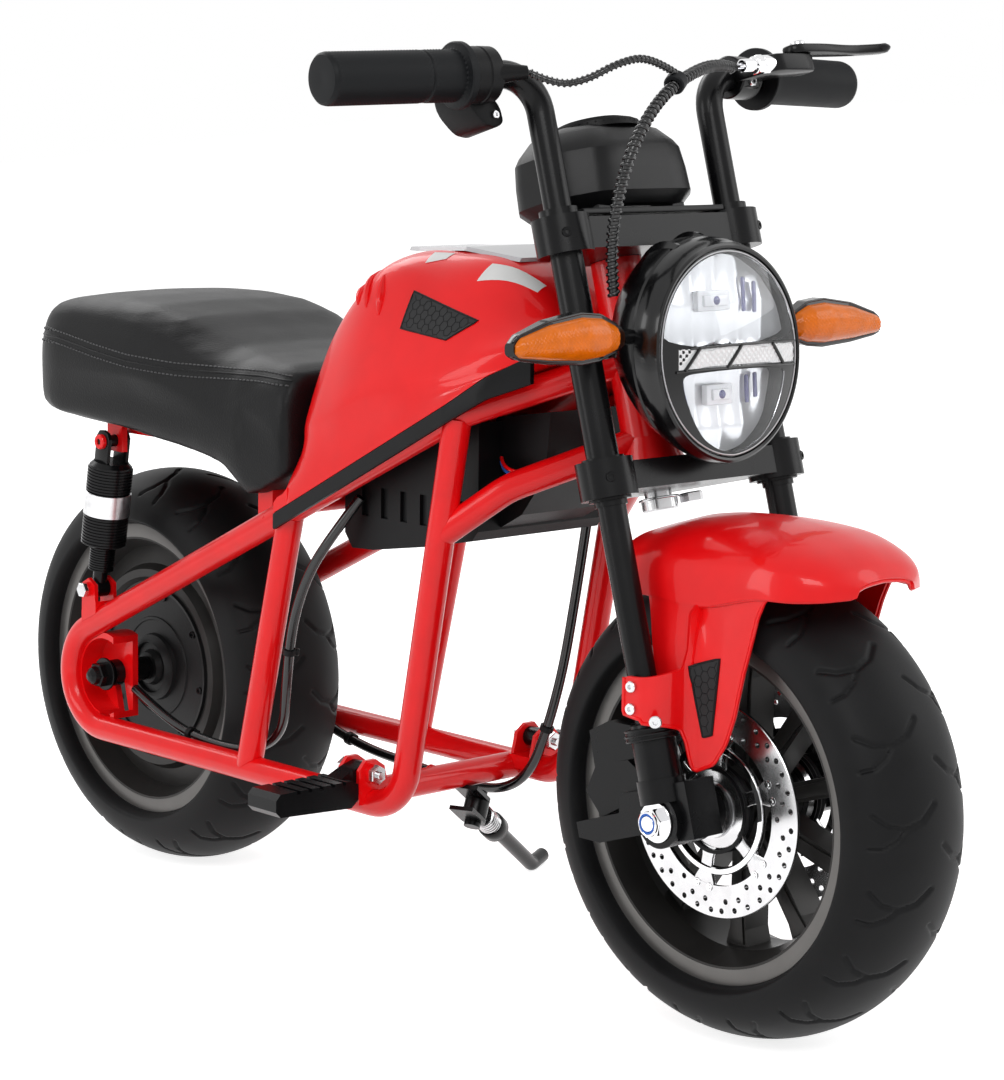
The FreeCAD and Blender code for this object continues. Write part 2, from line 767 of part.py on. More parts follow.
def make_battery_case():
    """Battery and controller case under the tank, ribbed along its sides, with a
    narrower nose between the braces."""
    rear, floor, top = s.case_rear, s.case_floor, s.case_top
    body = new_body("battery_case")
    for name, width, profile in (
            ("block", s.case_width,
             [(rear, top - 28.0), (rear, floor + 10.0), (rear - 8.0, floor), (rear - 30.0, floor + 1.0),
              (rear - 86.0, floor + 10.0), (rear - 130.0, floor + 19.0), (rear - 136.0, floor + 26.0),
              (rear - 136.0, top + 30.0), (rear - 88.0, top + 14.0)]),
            ("nose", s.case_nose_width,
             [(rear - 130.0, floor + 24.0), (rear - 156.0, floor + 38.0), (rear - 178.0, floor + 66.0),
              (rear - 182.0, top + 40.0), (rear - 130.0, top + 32.0)])):
        sketch = new_sketch(body, "YZ_Plane", "battery_case_" + name + "_side", -width / 2)
        outline(sketch, profile)
        pad(body, sketch, width, "battery_case_" + name)
    for side, name in ((-1, "right"), (1, "left")):
        groove = new_sketch(body, "YZ_Plane", "battery_case_grooves_" + name, s.case_width / 2 * side)
        for index in range(6):
            y = rear - (18.0 + 20.0 * index)
            outline(groove, [(y, floor + 24.0), (y, top - 24.0), (y - 7.0, top - 24.0), (y - 7.0, floor + 24.0)])
        pocket(body, groove, 2.5, "battery_case_ribs_" + name, back=(side < 0))
    return keep(body, "battery_case", UPRIGHT)


# Tank sections along the bike: place y, half width of the low edge, then half
# widths and rises over the top rail of the belly, the crease and the top.
TANK = [
    (60.0, 80.0, 76.0, 53.9, 54.0, 93.9, 28.0, 103.9),
    (44.0, 88.0, 88.0, 54.2, 66.0, 108.2, 32.0, 126.2),
    (18.0, 92.0, 93.0, 51.6, 70.0, 123.6, 36.0, 141.6),
    (-12.0, 93.0, 95.0, 51.1, 68.0, 133.1, 40.0, 144.1),
    (-60.0, 92.0, 94.0, 41.9, 66.0, 104.9, 42.0, 123.9),
    (-110.0, 86.0, 88.0, 29.7, 62.0, 69.7, 40.0, 94.7),
    (-146.0, 74.0, 76.0, 26.3, 54.0, 40.3, 34.0, 58.3),
    (-162.0, 60.0, 61.0, 22.6, 46.0, 30.6, 28.0, 36.6),
]
# The plate on the tank: place y, half width and rise over the top rail.
TANK_PLATE = [(4.0, 30.0, 152.4), (-12.0, 36.0, 145.0), (-60.0, 37.0, 124.7), (-110.0, 34.0, 95.5)]
# The skirts beside the top rails: place y, step in from the outside, then the
# drop of the lower edge, the rise of the upper edge and the rise of the flap.
SKIRT = [(72.0, 0.0, 10.5, 0.5, 10.9), (60.3, 0.0, 10.1, 0.8, 10.9), (40.0, 0.0, 9.5, 1.5, 16.0), (-104.0, 0.0, 5.0, 6.5, 16.0),
         (-134.0, 7.0, 2.0, 12.0, 18.0), (-152.0, 18.0, 3.0, 14.0, 19.0), (-160.0, 24.0, 3.0, 15.0, 18.0)]


def tank_low(y):
    return rail_height(y) + tube_r.value / math.cos(math.radians(s.rail_angle.value)) + s.tank_gap.value


def skirt_strip(low, high):
    """A strip outside the right top rail between two of the skirt's edges."""
    outer = hoop_x.value + tube_r.value + 3.6
    sections = []
    for row in SKIRT:
        y = along(row[0])
        x = outer - row[1]
        below = rail_height(y) + low(row)
        above = rail_height(y) + high(row)
        sections.append([Vector(-x, y, below), Vector(3.0 - x, y, below),
                         Vector(3.0 - x, y, above), Vector(-x, y, above)])
    return loft(sections)


def make_tank():
    sections = []
    for place, low_x, belly_x, belly_rise, crease_x, crease_rise, top_x, top_rise in TANK:
        y = along(place)
        rail = rail_height(y)
        right = [(low_x, tank_low(y)), (belly_x, rail + belly_rise), (crease_x, rail + crease_rise),
                 (top_x, rail + top_rise)]
        left = [(-x, z) for x, z in reversed(right)]
        sections.append([Vector(x, y, z) for x, z in right + left])
    gap = s.weld_gap.value
    rail = hoop_solid(tube_r.value + gap)
    flap = skirt_strip(lambda row: row[3] + gap, lambda row: row[4])
    shape = joined([loft(sections), flap, mirrored(flap)])
    shape = shape.cut(head_cylinder(1.0)).cut(rail).cut(mirrored(rail))
    shape = max(shape.Solids, key=lambda solid: solid.Volume)
    feature("tank", shape)
    plate = []
    for place, top_x, rise in TANK_PLATE:
        y = along(place)
        z = rail_height(y) + rise
        plate.append([Vector(-top_x, y, z), Vector(top_x, y, z), Vector(top_x - 2.0, y, z + 2.6),
                      Vector(2.0 - top_x, y, z + 2.6)])
    plate = loft(plate).cut(shape)
    feature("tank_top_plate", max(plate.Solids, key=lambda solid: solid.Volume))
    skirt = skirt_strip(lambda row: -row[2], lambda row: row[3]).cut(shape).cut(rail)
    feature("tank_skirts", pair(max(skirt.Solids, key=lambda solid: solid.Volume)))


SEAT_FLOOR = 350.0


def make_seat():
    half = s.seat_width.value / 2
    top = [(50.0, 404.0), (120.0, 409.0), (170.0, 418.0), (205.0, 430.0), (245.0, 438.0), (330.0, 438.0),
           (372.0, 431.0), (384.0, 415.0), (386.0, 380.0), (376.0, 356.0), (340.0, 347.0), (255.0, 343.0),
           (165.0, 333.0), (126.0, 324.0), (112.0, 308.0)]
    top = [(along(y), z) for y, z in top]
    low_y = along(104.0)
    front = along(61.0)
    back = along(386.0)
    first = along(50.0)
    low = [(low_y, rail_height(low_y) + 11.2), (first, rail_height(first) + 11.2)]
    side = prism(top + low, "yz", -half, half)
    corner = s.seat_corner_radius.value
    plan = rounded_path([(0, front, 0), (half, front, 0), (half, back, 0), (-half, back, 0), (-half, front, 0),
                         (0, front, 0)], [2.0, corner, corner, 2.0])
    blank = Part.Face(plan).extrude(Vector(0, 0, 600))
    shape = side.common(blank)
    # room inside the skirts for the tyre and the seat springs' carrier
    inside = Part.makeBox(2 * half - 36.0, back + 14.0 - front, 200.0,
                          Vector(18.0 - half, front + 5.0, SEAT_FLOOR - 200.0))
    shape = shape.cut(inside)
    feature("seat", shape)


def make_seat_rail():
    """Carrier under the seat: two rails, a front bar on the hoops and a cross bar
    whose lugs hang between the plates of the shocks."""
    x = s.shock_x.value - 20.0
    top = SEAT_FLOOR - s.weld_gap.value
    y = shock_y_top.value
    z = s.shock_top.value
    front = along(92.0)
    pieces = []
    for side in (-1, 1):
        middle = x * side
        pieces.append(Part.makeBox(12.0, y + 21.0 - front, 12.0, Vector(middle - 6.0, front, top - 12.0)))
        start = s.shock_x.value - 6.3
        lug = Part.makeBox(5.0, 18.0, top - z + 8.0, Vector(start if side > 0 else -start - 5.0, y - 9.0, z - 8.0))
        pieces.append(lug)
        foot = Part.makeBox(22.0, 16.0, 60.0, Vector(middle - 11.0 + 7.5 * side, front, top - 60.0))
        pieces.append(foot)
    half = s.shock_x.value - 1.5
    pieces.append(Part.makeBox(half * 2, 18.0, 6.0, Vector(-half, y - 9.0, top - 6.0)))
    pieces.append(Part.makeBox(x * 2, 16.0, 12.0, Vector(-x, front, top - 12.0)))
    shape = joined(pieces)
    right = hoop_solid(tube_r.value + s.weld_gap.value)
    bolt = Part.makeCylinder(4.5 + s.weld_gap.value, 300.0, Vector(-150.0, y, z), Vector(1, 0, 0))
    shape = shape.cut(right).cut(mirrored(right)).cut(bolt)
    feature("seat_rail", max(shape.Solids, key=lambda solid: solid.Volume))


def shock_axis():
    top = Vector(-s.shock_x.value, shock_y_top.value, s.shock_top.value)
    low = Vector(-s.shock_x.value, shock_y_low.value, s.shock_low.value)
    return low, top


def make_shocks():
    low, top = shock_axis()
    way = (top - low).normalize()
    length = (top - low).Length
    frame = Placement(low, Rotation(Vector(0, 0, 1), way))
    radius = s.shock_diameter.value / 2
    # profile from the lower eye to the upper eye: rod, thread, ribbed body
    profile = [(0.0, 8.0), (5.5, 8.0), (5.5, 16.0), (9.5, 16.0), (9.5, 34.0), (radius - 1.5, 35.0)]
    height = 35.0
    for index in range(6):
        profile += [(radius - 1.5, height + 2.5), (radius, height + 3.5), (radius, height + 9.0),
                    (radius - 1.5, height + 10.0)]
        height += 10.0
    profile += [(radius - 1.5, length - 19.0), (radius - 4.0, length - 16.0), (0.0, length - 16.0)]
    wire = Part.makePolygon([Vector(r, 0, h) for r, h in profile] + [Vector(0.0, 0, 8.0)])
    body = Part.Face(wire).revolve(Vector(), Vector(0, 0, 1), 360)
    eye = Part.makeCylinder(6.5, 12.0, Vector(-6.0, 0, 0), Vector(1, 0, 0))
    rod = Part.makeCylinder(5.0, 10.0)
    plates = []
    for side in (-1, 1):
        plates.append(Part.makeBox(3.0, 16.0, 32.0, Vector(side * 8.5 - 1.5, -8.0, length - 24.0)))
    bolt = Part.makeCylinder(4.5, 25.0, Vector(-12.5, 0, length), Vector(1, 0, 0))
    shape = joined([body, eye, rod] + plates + [bolt])
    hole = Part.makeCylinder(3.3, 40.0, Vector(-20.0, 0, 0), Vector(1, 0, 0))
    shape = shape.cut(hole)
    shape.Placement = frame
    feature("shocks", pair(shape))
    # red clevis on the top rail with its bolt
    gap = s.weld_gap.value
    lug = []
    for side in (-1, 1):
        plate = prism([(low.y - 9.0, rail_height(low.y - 9.0)), (low.y + 9.0, rail_height(low.y + 9.0)),
                       (low.y + 8.0, low.z + 4.0), (low.y, low.z + 8.5), (low.y - 8.0, low.z + 4.0)], "yz",
                      low.x + side * 8.5 - 1.5, low.x + side * 8.5 + 1.5)
        lug.append(plate)
    base = prism([(low.y - 9.0, rail_height(low.y - 9.0)), (low.y + 9.0, rail_height(low.y + 9.0)),
                  (low.y + 9.0, rail_height(low.y + 9.0) + 13.0), (low.y - 9.0, rail_height(low.y - 9.0) + 13.0)],
                 "yz", low.x - 10.0, low.x + 10.0)
    bolt = Part.makeCylinder(3.0, 27.0, Vector(low.x - 13.5, low.y, low.z), Vector(1, 0, 0))
    head = Part.makeCylinder(5.5, 3.5, Vector(low.x - 13.5, low.y, low.z), Vector(1, 0, 0))
    mount = joined(lug + [base, bolt, head])
    mount = mount.cut(hoop_solid(tube_r.value + gap))
    mount = max(mount.Solids, key=lambda solid: solid.Volume)
    feature("shock_mounts", pair(mount))


# Foot pegs and side stand

def peg_bracket_right():
    """Two ears on the lower stay with the pivot bolt between them."""
    x = -s.peg_pivot_x.value
    y = s.peg_pivot_y.value
    z = s.peg_pivot_height.value
    ear_gap = s.peg_ear_gap.value
    pieces = []
    for side in (-1, 1):
        start = y + side * (ear_gap / 2 + 1.5) - 1.5
        plate = prism([(x - 11.0, stay_z), (x + 18.0, stay_z), (x + 12.0, z + 4.0), (x + 4.0, z + 9.5),
                       (x - 5.0, z + 9.5), (x - 11.0, z + 3.0)], "xz", start, start + 3.0)
        pieces.append(plate)
    base = Part.makeBox(23.0, ear_gap + 6.0, 10.0, Vector(x - 5.0, y - ear_gap / 2 - 3.0, stay_z))
    pin_r = s.peg_pin_diameter.value / 2
    pin = Part.makeCylinder(pin_r, ear_gap + 16.0, Vector(x, y - ear_gap / 2 - 8.0, z), Vector(0, 1, 0))
    head = Part.makeCylinder(pin_r + 2.5, 4.0, Vector(x, y - ear_gap / 2 - 7.0, z), Vector(0, 1, 0))
    nut = Part.makeCylinder(pin_r + 2.5, 4.0, Vector(x, y + ear_gap / 2 + 3.0, z), Vector(0, 1, 0))
    shape = joined(pieces + [base, pin, head, nut])
    room = bar((x, s.lower_cross_y.value, stay_z), (0, s.lower_cross_y.value, stay_z),
               tube_r.value + s.weld_gap.value)
    shape = shape.cut(hoop_solid(tube_r.value + s.weld_gap.value)).cut(room)
    return max(shape.Solids, key=lambda solid: solid.Volume)


def peg_right_shape():
    """Ribbed peg with a tongue on its pivot, drawn about the pivot."""
    thick = s.peg_thickness.value
    wide = s.peg_width.value
    length = s.peg_length.value
    tongue = s.peg_ear_gap.value - 1.0
    root = -15.0
    low = -thick / 2 - s.peg_drop.value
    high = thick / 2 - s.peg_drop.value
    profile = [(root, low + 5.0), (root - 6.0, low), (root + 4.0 - length, low + 3.0), (root - length, low + 7.0),
               (root - length, high - 4.0), (root + 4.0 - length, high), (root - 6.0, high), (root, high - 3.0)]
    body = prism(profile, "xz", -wide / 2, wide / 2)
    grooves = []
    for index in range(5):
        start = root - 14.0 - 10.0 * index
        grooves.append(Part.makeBox(3.0, wide + 2.0, 2.2, Vector(start, -wide / 2 - 1.0, high - 2.2)))
    body = body.cut(grooves[0].fuse(grooves[1:]))
    neck = prism([(-3.0, 6.5), (-12.0, 4.0), (root - 12.0, high - 1.0), (root - 12.0, low + 4.0),
                  (root + 1.0, low + 5.0), (-2.0, -6.5)], "xz", -tongue / 2, tongue / 2)
    eye = Part.makeCylinder(7.0, tongue, Vector(0, -tongue / 2, 0), Vector(0, 1, 0))
    hole = Part.makeCylinder(s.peg_pin_diameter.value / 2 + s.fit_gap.value, 60, Vector(0, -30, 0), Vector(0, 1, 0))
    return joined([body, neck, eye]).cut(hole)


def make_pegs():
    right = peg_bracket_right()
    feature("peg_brackets", pair(right))
    shape = peg_right_shape()
    shape.translate(Vector(-s.peg_pivot_x.value, s.peg_pivot_y.value, s.peg_pivot_height.value))
    feature("peg_right", shape)
    feature("peg_left", mirrored(shape))


# The stand's leg runs from its pivot to the floor under the leaning bike.
def floor_height(x):
    """Height of the floor at x, seen in the upright bike."""
    lean = math.radians(s.lean_angle.value)
    return x * math.tan(lean) - s.crown_radius.value * (1 - math.cos(lean)) / math.cos(lean)


stand_pivot = Vector(s.stand_pivot_x.value, s.lower_cross_y.value, s.stand_pivot_height.value)
stand_foot = Vector(s.stand_foot_x.value, s.stand_foot_y.value, 0)
stand_foot.z = floor_height(stand_foot.x) + s.stand_leg_diameter.value / 2 - 0.8
stand_leg = stand_foot - stand_pivot
stand_folded = Vector(-10.0, 104.0, -20.0)
stand_axis = stand_leg.cross(stand_folded).normalize()


def make_stand():
    radius = s.stand_leg_diameter.value / 2
    pin_r = s.stand_pin_diameter.value / 2
    tongue = s.stand_tongue.value
    way = Vector(stand_leg).normalize()
    axis = Vector(stand_axis)
    eye = Part.makeCylinder(9.0, tongue, stand_pivot - axis * (tongue / 2), axis)
    toe = Vector(way.x, way.y, 0).normalize() * 22.0
    toe_end = stand_foot + toe
    toe_end.z = floor_height(toe_end.x) + radius - 0.8
    path = rounded_path([tuple(stand_pivot), tuple(stand_foot), tuple(toe_end)], 11.0)
    leg = tube(path, radius)
    collar = bar(stand_pivot + way * 34.0, stand_pivot + way * 46.0, radius + 3.5)
    shape = joined([leg, collar, eye])
    hole = Part.makeCylinder(pin_r + s.fit_gap.value, 40, stand_pivot - axis * 20.0, axis)
    # the sole is cut flat by the floor
    floor = Part.makeBox(400, 400, 60, Vector(-200, -200, -60))
    floor.Placement = Placement(Vector(0, 0, floor_height(0)), Rotation(Vector(0, 1, 0), -s.lean_angle.value))
    shape = shape.cut(hole).cut(floor)
    feature("side_stand", max(shape.Solids, key=lambda solid: solid.Volume))
    # bracket: two ears under the cross tube, with the pivot bolt
    side = axis.cross(Vector(0, 0, 1)).normalize()
    up = side.cross(axis).normalize()
    up = up if up.z > 0 else -up
    thick = 3.0
    pieces = [Part.makeCylinder(pin_r, tongue + 14.0, stand_pivot - axis * (tongue / 2 + 7.0), axis)]
    for end in (-1, 1):
        centre = stand_pivot + axis * (end * (tongue / 2 + 0.6 + thick / 2))
        pieces.append(Part.makeCylinder(9.0, thick, centre - axis * (thick / 2), axis))
        head = stand_pivot + axis * (end * (tongue / 2 + 5.6)) - axis * 2.0
        pieces.append(Part.makeCylinder(6.0, 4.0, head, axis))
        low = centre - axis * (thick / 2)
        corners = [low - side * 9.0, low + side * 9.0, low + side * 9.0 + up * 26.0, low - side * 9.0 + up * 26.0]
        pieces.append(Part.Face(Part.makePolygon(corners + corners[:1])).extrude(axis * thick))
    shape = joined(pieces)
    y = s.lower_cross_y.value
    room = bar((-100, y, stay_z), (100, y, stay_z), tube_r.value + s.weld_gap.value)
    shape = shape.cut(room)
    above = Part.makeBox(200, 200, 60, Vector(-60, y - 100, stay_z + 2.0))
    shape = shape.cut(above)
    feature("stand_bracket", max(shape.Solids, key=lambda solid: solid.Volume))


# Steering, drawn in the fork's frame

def clamp(name, bottom, front, web_rise):
    """A clamp: two split bosses on the fork tubes and a web to the stem."""
    body = new_body(name)
    web = new_sketch(body, "XY_Plane", name + "_web_outline", bottom + web_rise)
    back = s.stem_offset + 16.0
    outline(web, [(-fork_x, -front), (fork_x, -front), (fork_x + 2.0, 8.0), (20.0, back), (-20.0, back),
                  (-fork_x - 2.0, 8.0)])
    pad(body, web, s.clamp_thickness - web_rise * 2.0, name + "_web")
    bosses = new_sketch(body, "XY_Plane", name + "_boss_outline", bottom)
    circle(bosses, -fork_x, 0, s.clamp_boss_diameter / 2)
    circle(bosses, fork_x, 0, s.clamp_boss_diameter / 2)
    pad(body, bosses, s.clamp_thickness, name + "_bosses")
    bores = new_sketch(body, "XY_Plane", name + "_bore_outline", bottom)
    circle(bores, -fork_x, 0, fork_r + s.weld_gap)
    circle(bores, fork_x, 0, fork_r + s.weld_gap)
    circle(bores, 0, s.stem_offset, s.stem_diameter / 2 + s.weld_gap)
    pocket(body, bores, s.clamp_thickness, name + "_bores", back=True)
    return keep(body, name, FORK)


def make_fork():
    clamp("lower_clamp", s.lower_clamp_height, 13.0, LOWER_WEB_RISE)
    clamp("upper_clamp", s.upper_clamp_height, 12.0, UPPER_WEB_RISE)
    low = s.lower_clamp_height
    high = s.upper_clamp_height + s.clamp_thickness
    offset = s.stem_offset
    radius = s.stem_diameter / 2
    stem = [
        cylinder("stem_rod", radius, high - low + 16.0, 0, offset, low - 8.0),
        cylinder("stem_foot_nut", 12.0, 8.0 - s.weld_gap, 0, offset, low - 8.0),
        cylinder("stem_top_nut", 12.0, 6.0, 0, offset, high + s.weld_gap),
    ]
    keep(fuse("steering_stem", stem), "steering_stem", FORK)
    tubes = []
    for side, name in ((-1, "right"), (1, "left")):
        x = fork_x * side
        tubes.append(cylinder("fork_tube_" + name, fork_r, high - 6.0 - low + 5.0, x, 0, low - 5.0))
        tubes.append(cylinder("fork_slider_" + name, slider_r, low - 5.0 - s.leg_top + 24.0, x, 0,
                              s.leg_top - 24.0))
    keep(fuse("fork_tubes", tubes), "fork_tubes", FORK)
    for side, name in ((-1, "right"), (1, "left")):
        make_fork_leg(side, "fork_leg_" + name)
    axle_half = fork_x + s.leg_boss_outside
    radius = s.axle_diameter / 2
    pieces = [cylinder("front_axle_rod", radius, axle_half * 2 + 8.0, -axle_half - 4.0, 0, 0, "x")]
    for side, name in ((-1, "right"), (1, "left")):
        start = (axle_half + s.weld_gap) * side if side > 0 else -axle_half - s.weld_gap - 9.0
        pieces.append(cylinder("front_nut_" + name, 10.0, 9.0, start, 0, 0, "x"))
    keep(fuse("front_axle", pieces), "front_axle", FORK)


def make_fork_leg(side, name):
    """Cast lower leg: a sleeve round the slider, an inner lug and the axle boss."""
    x = fork_x * side
    radius = s.leg_diameter / 2
    outside = s.leg_boss_outside
    sleeve = cylinder(name + "_sleeve", radius, 15.0, x, 0, 11.0)
    waist = cylinder(name + "_waist", radius - 1.5, s.leg_top - 26.0 - 6.0, x, 0, 26.0)
    flange = cylinder(name + "_flange", s.leg_flange_diameter / 2, 7.0, x, 0, s.leg_top - 7.0)
    start = x - outside if side < 0 else x + outside - 34.0
    boss = cylinder(name + "_boss", s.leg_boss_radius, 34.0, start, 0, 0, "x")
    lug = box(name + "_lug", 26.0, 36.0, 36.0, x - 8.5 * side, -6.0, -14.0)
    whole = fuse(name + "_casting", [sleeve, waist, flange, boss, lug])
    hole = cylinder(name + "_axle_hole", s.axle_diameter / 2 + s.weld_gap, 80.0, x - 40.0, 0, 0, "x")
    bore = cylinder(name + "_slider_hole", slider_r + s.weld_gap, 40.0, x, 0, s.leg_top - 24.0 - s.weld_gap)
    keep(cut(name, whole, [hole, bore]), name, FORK)


def bar_end(side):
    start = Vector(side * fork_x.value, 0, bar_z.value)
    end = Vector(side * s.bar_half_width.value, s.bar_sweep.value, bar_z.value)
    return start, end


def make_handlebar():
    shapes = []
    for side in (-1, 1):
        start, end = bar_end(side)
        way = (end - start).normalize()
        foot = Vector(side * fork_x.value, 0,
                      s.upper_clamp_height.value + s.clamp_thickness.value - 6.0 + s.weld_gap.value)
        path = rounded_path([tuple(foot), tuple(start), tuple(end - way * 4.0)], s.bar_bend_radius.value)
        riser = tube(path, bar_r.value)
        collar_z = s.upper_clamp_height.value + s.clamp_thickness.value + s.weld_gap.value
        collar = Part.makeCylinder(bar_r.value + 3.5, 5.0, Vector(foot.x, 0, collar_z))
        shapes.append(joined([riser, collar]))
    feature("handlebar", Part.makeCompound(shapes), FORK)


def grip_shape(side):
    start, end = bar_end(side)
    way = (end - start).normalize()
    inner = end - way * s.grip_length.value
    radius = s.grip_diameter.value / 2
    body = bar(inner, end, radius)
    flange = bar(inner, inner + way * 6.0, radius + 4.5)
    shape = joined([body, flange])
    edges = [edge for edge in shape.Edges
             if edge.Length > 50 and (edge.CenterOfMass - end).Length < 1.0]
    shape = shape.makeFillet(3.0, edges)
    hole = bar(inner - way * 1.0, end - way * (4.0 - s.weld_gap.value), bar_r.value + s.weld_gap.value)
    return shape.cut(hole)


def make_controls():
    feature("grip_right", grip_shape(-1), FORK)
    feature("grip_left", grip_shape(1), FORK)
    gap = s.weld_gap.value
    for side in (-1, 1):
        start, end = bar_end(side)
        way = (end - start).normalize()
        inner = end - way * (s.grip_length.value + gap)
        hole = bar(start, end, bar_r.value + gap)
        if side < 0:
            ring = bar(inner - way * 22.0, inner, 18.0)
            low = prism([(inner.x + 4.0, bar_z.value - 2.0), (inner.x + 4.0, bar_z.value - 16.0),
                         (inner.x + 18.0, bar_z.value - 31.0), (inner.x + 34.0, bar_z.value - 28.0),
                         (inner.x + 31.0, bar_z.value - 12.0), (inner.x + 20.0, bar_z.value - 2.0)],
                        "xz", inner.y + 4.0, inner.y + 34.0)
            spout = bar((inner.x + 12.0, inner.y - 10.0, bar_z.value - 2.0),
                        (inner.x + 34.0, inner.y - 23.0, bar_z.value - 4.0), 5.5)
            feature("throttle_housing", joined([ring, low, spout]).cut(hole), FORK)
        else:
            ring = bar(inner - way * 30.0, inner - way * 8.0, 14.5)
            pivot = Vector(inner.x + 8.0, inner.y + s.lever_reach.value, bar_z.value + 2.0)
            arm = prism([(inner.x - 34.0, inner.y - 8.0), (inner.x - 12.0, inner.y - 8.0),
                         (inner.x - 5.0, inner.y - 24.0), (pivot.x + 7.0, pivot.y + 8.0),
                         (pivot.x + 7.0, pivot.y - 8.0),
                         (pivot.x - 34.0, pivot.y - 7.0)], "xy", pivot.z - 8.0, pivot.z + 4.0)
            barrel = bar((pivot.x - 32.0, pivot.y + 1.0, pivot.z - 2.0),
                         (pivot.x - 58.0, pivot.y + 2.0, pivot.z - 3.0), 6.0)
            pin = bar((pivot.x, pivot.y, pivot.z + 4.0), (pivot.x, pivot.y, pivot.z + 11.0), 4.0)
            perch = joined([ring, arm, barrel, pin]).cut(hole)
            feature("lever_perch", perch, FORK)
            make_lever(pivot)


def make_lever(pivot):
    """Brake lever: a root on the perch and a blade with a ball at its tip."""
    z = pivot.z + 4.0 + s.weld_gap.value
    blade = [(-12.0, 7.0), (-12.0, -8.0), (16.0, -10.0), (48.0, -7.0), (68.0, -11.0), (77.0, -14.0),
             (78.0, -6.0), (66.0, -2.0), (46.0, 2.0), (18.0, 5.0)]
    shape = prism([(pivot.x + u, pivot.y + v) for u, v in blade], "xy", z, z + 6.5)
    tip = Vector(pivot.x + 76.0, pivot.y - 10.0, z + 3.2)
    shape = joined([shape, Part.makeCylinder(5.5, 6.5, Vector(tip.x, tip.y, z))])
    hole = Part.makeCylinder(4.0 + s.weld_gap.value, 40.0, Vector(pivot.x, pivot.y, z - 10.0))
    feature("brake_lever", shape.cut(hole), FORK)


def make_pod():
    """Facetted instrument pod over the steering stem, on a plate on the upper clamp."""
    clamp_top = s.upper_clamp_height.value + s.clamp_thickness.value
    middle = s.stem_offset.value
    base = clamp_top + 7.0
    sections = []
    for rise, half, front, back, chamfer in ((0.0, 54.0, 34.0, 34.0, 20.0), (9.0, 63.0, 42.0, 42.0, 24.0),
                                             (40.0, 61.0, 40.0, 40.0, 24.0), (52.0, 50.0, 31.0, 31.0, 20.0),
                                             (59.0, 34.0, 20.0, 20.0, 14.0)):
        z = base + rise
        low = middle - front
        high = middle + back
        sections.append([Vector(-half, low + chamfer, z), Vector(chamfer - half, low, z),
                         Vector(half - chamfer, low, z), Vector(half, low + chamfer, z),
                         Vector(half, high - chamfer, z), Vector(half - chamfer, high, z),
                         Vector(chamfer - half, high, z), Vector(-half, high - chamfer, z)])
    shape = loft(sections)
    rod = Part.makeCylinder(12.5, 12.0, Vector(0, middle, clamp_top - 4.0))
    plate_low = clamp_top + s.weld_gap.value
    foot = Part.makeBox(fork_x.value * 2 - 26.0, middle - 5.0, 4.0, Vector(13.0 - fork_x.value, -9.0, plate_low))
    posts = [Part.makeBox(12.0, 20.0, base + 2.0 - plate_low, Vector(side * 34.0 - 6.0, 2.0, plate_low))
             for side in (-1, 1)]
    shape = joined([shape, foot] + posts).cut(rod)
    feature("instrument_pod", shape, FORK)


# Headlight, turn signals and fender, drawn on the upright bike

# The lamp hangs in front of the middle of the room between the two clamps.
lamp_height = (s.lower_clamp_height.value + s.clamp_thickness.value + s.upper_clamp_height.value) / 2 - 10.1
lamp_middle = FORK.multVec(Vector(0, -45.1, lamp_height))
LAMP = move(0, lamp_middle.y, lamp_middle.z) * turn((1, 0, 0), -4.8)


def egg(half, top, bottom, y, middle=8.0):
    """Outline of the lamp: a round top over a narrower, rounded foot."""
    right = Vector(half, y, middle)
    left = Vector(-half, y, middle)
    low = Vector(0, y, bottom)
    knee = middle + (bottom - middle) * 0.62
    arcs = [Part.Arc(left, Vector(0, y, top), right),
            Part.Arc(right, Vector(half * 0.82, y, knee), low),
            Part.Arc(low, Vector(-half * 0.82, y, knee), left)]
    return Part.Wire([arc.toShape() for arc in arcs])


def lamp_outside():
    shell = [egg(66.0, 69.0, -70.0, -4.0), egg(69.0, 73.0, -70.0, 6.0), egg(67.0, 74.0, -56.0, 26.0),
             egg(56.0, 66.0, -34.0, 44.0), egg(40.0, 50.0, -16.0, 56.0)]
    return Part.makeLoft(shell, True, True)


def make_headlight():
    shape = lamp_outside()
    seat = Part.makeLoft([egg(62.5, 65.0, -66.0, -5.0), egg(62.5, 65.0, -66.0, 8.0)], True, True)
    arms = []
    for side in (-1, 1):
        arms.append(Part.makeCylinder(7.0, 24.0, Vector(side * 46.0, 46.0, 8.0), Vector(side, 0, 0)))
    shape = joined([shape] + arms).cut(seat)
    clear = []
    for side in (-1, 1):
        post = Part.makeCylinder(fork_r.value + s.weld_gap.value, 200.0,
                                 Vector(side * fork_x.value, 0, s.lower_clamp_height.value))
        post.Placement = LAMP.inverse() * FORK
        clear.append(post)
    shape = shape.cut(clear[0].fuse(clear[1]))
    feature("headlight_shell", max(shape.Solids, key=lambda solid: solid.Volume), LAMP)
    lens = Part.makeLoft([egg(62.2, 64.7, -65.7, 2.0), egg(62.2, 64.7, -65.7, -4.0),
                          egg(56.0, 58.5, -59.0, -10.0), egg(38.0, 40.0, -40.0, -14.0)], True, True)
    feature("headlight_lens", lens, LAMP)


# Sections of a turn signal out from its stalk: place x, half height, half depth, lift
SIGNAL = [(58.0, 5.0, 5.0, 0.0), (76.0, 5.0, 5.0, 0.0), (80.0, 8.0, 8.0, 0.0), (96.0, 14.5, 12.0, 1.0), (112.0, 16.0, 13.0, 1.0),
          (140.0, 13.0, 11.0, 0.0), (164.0, 7.5, 8.0, -2.0), (170.0, 4.0, 5.0, -3.0)]


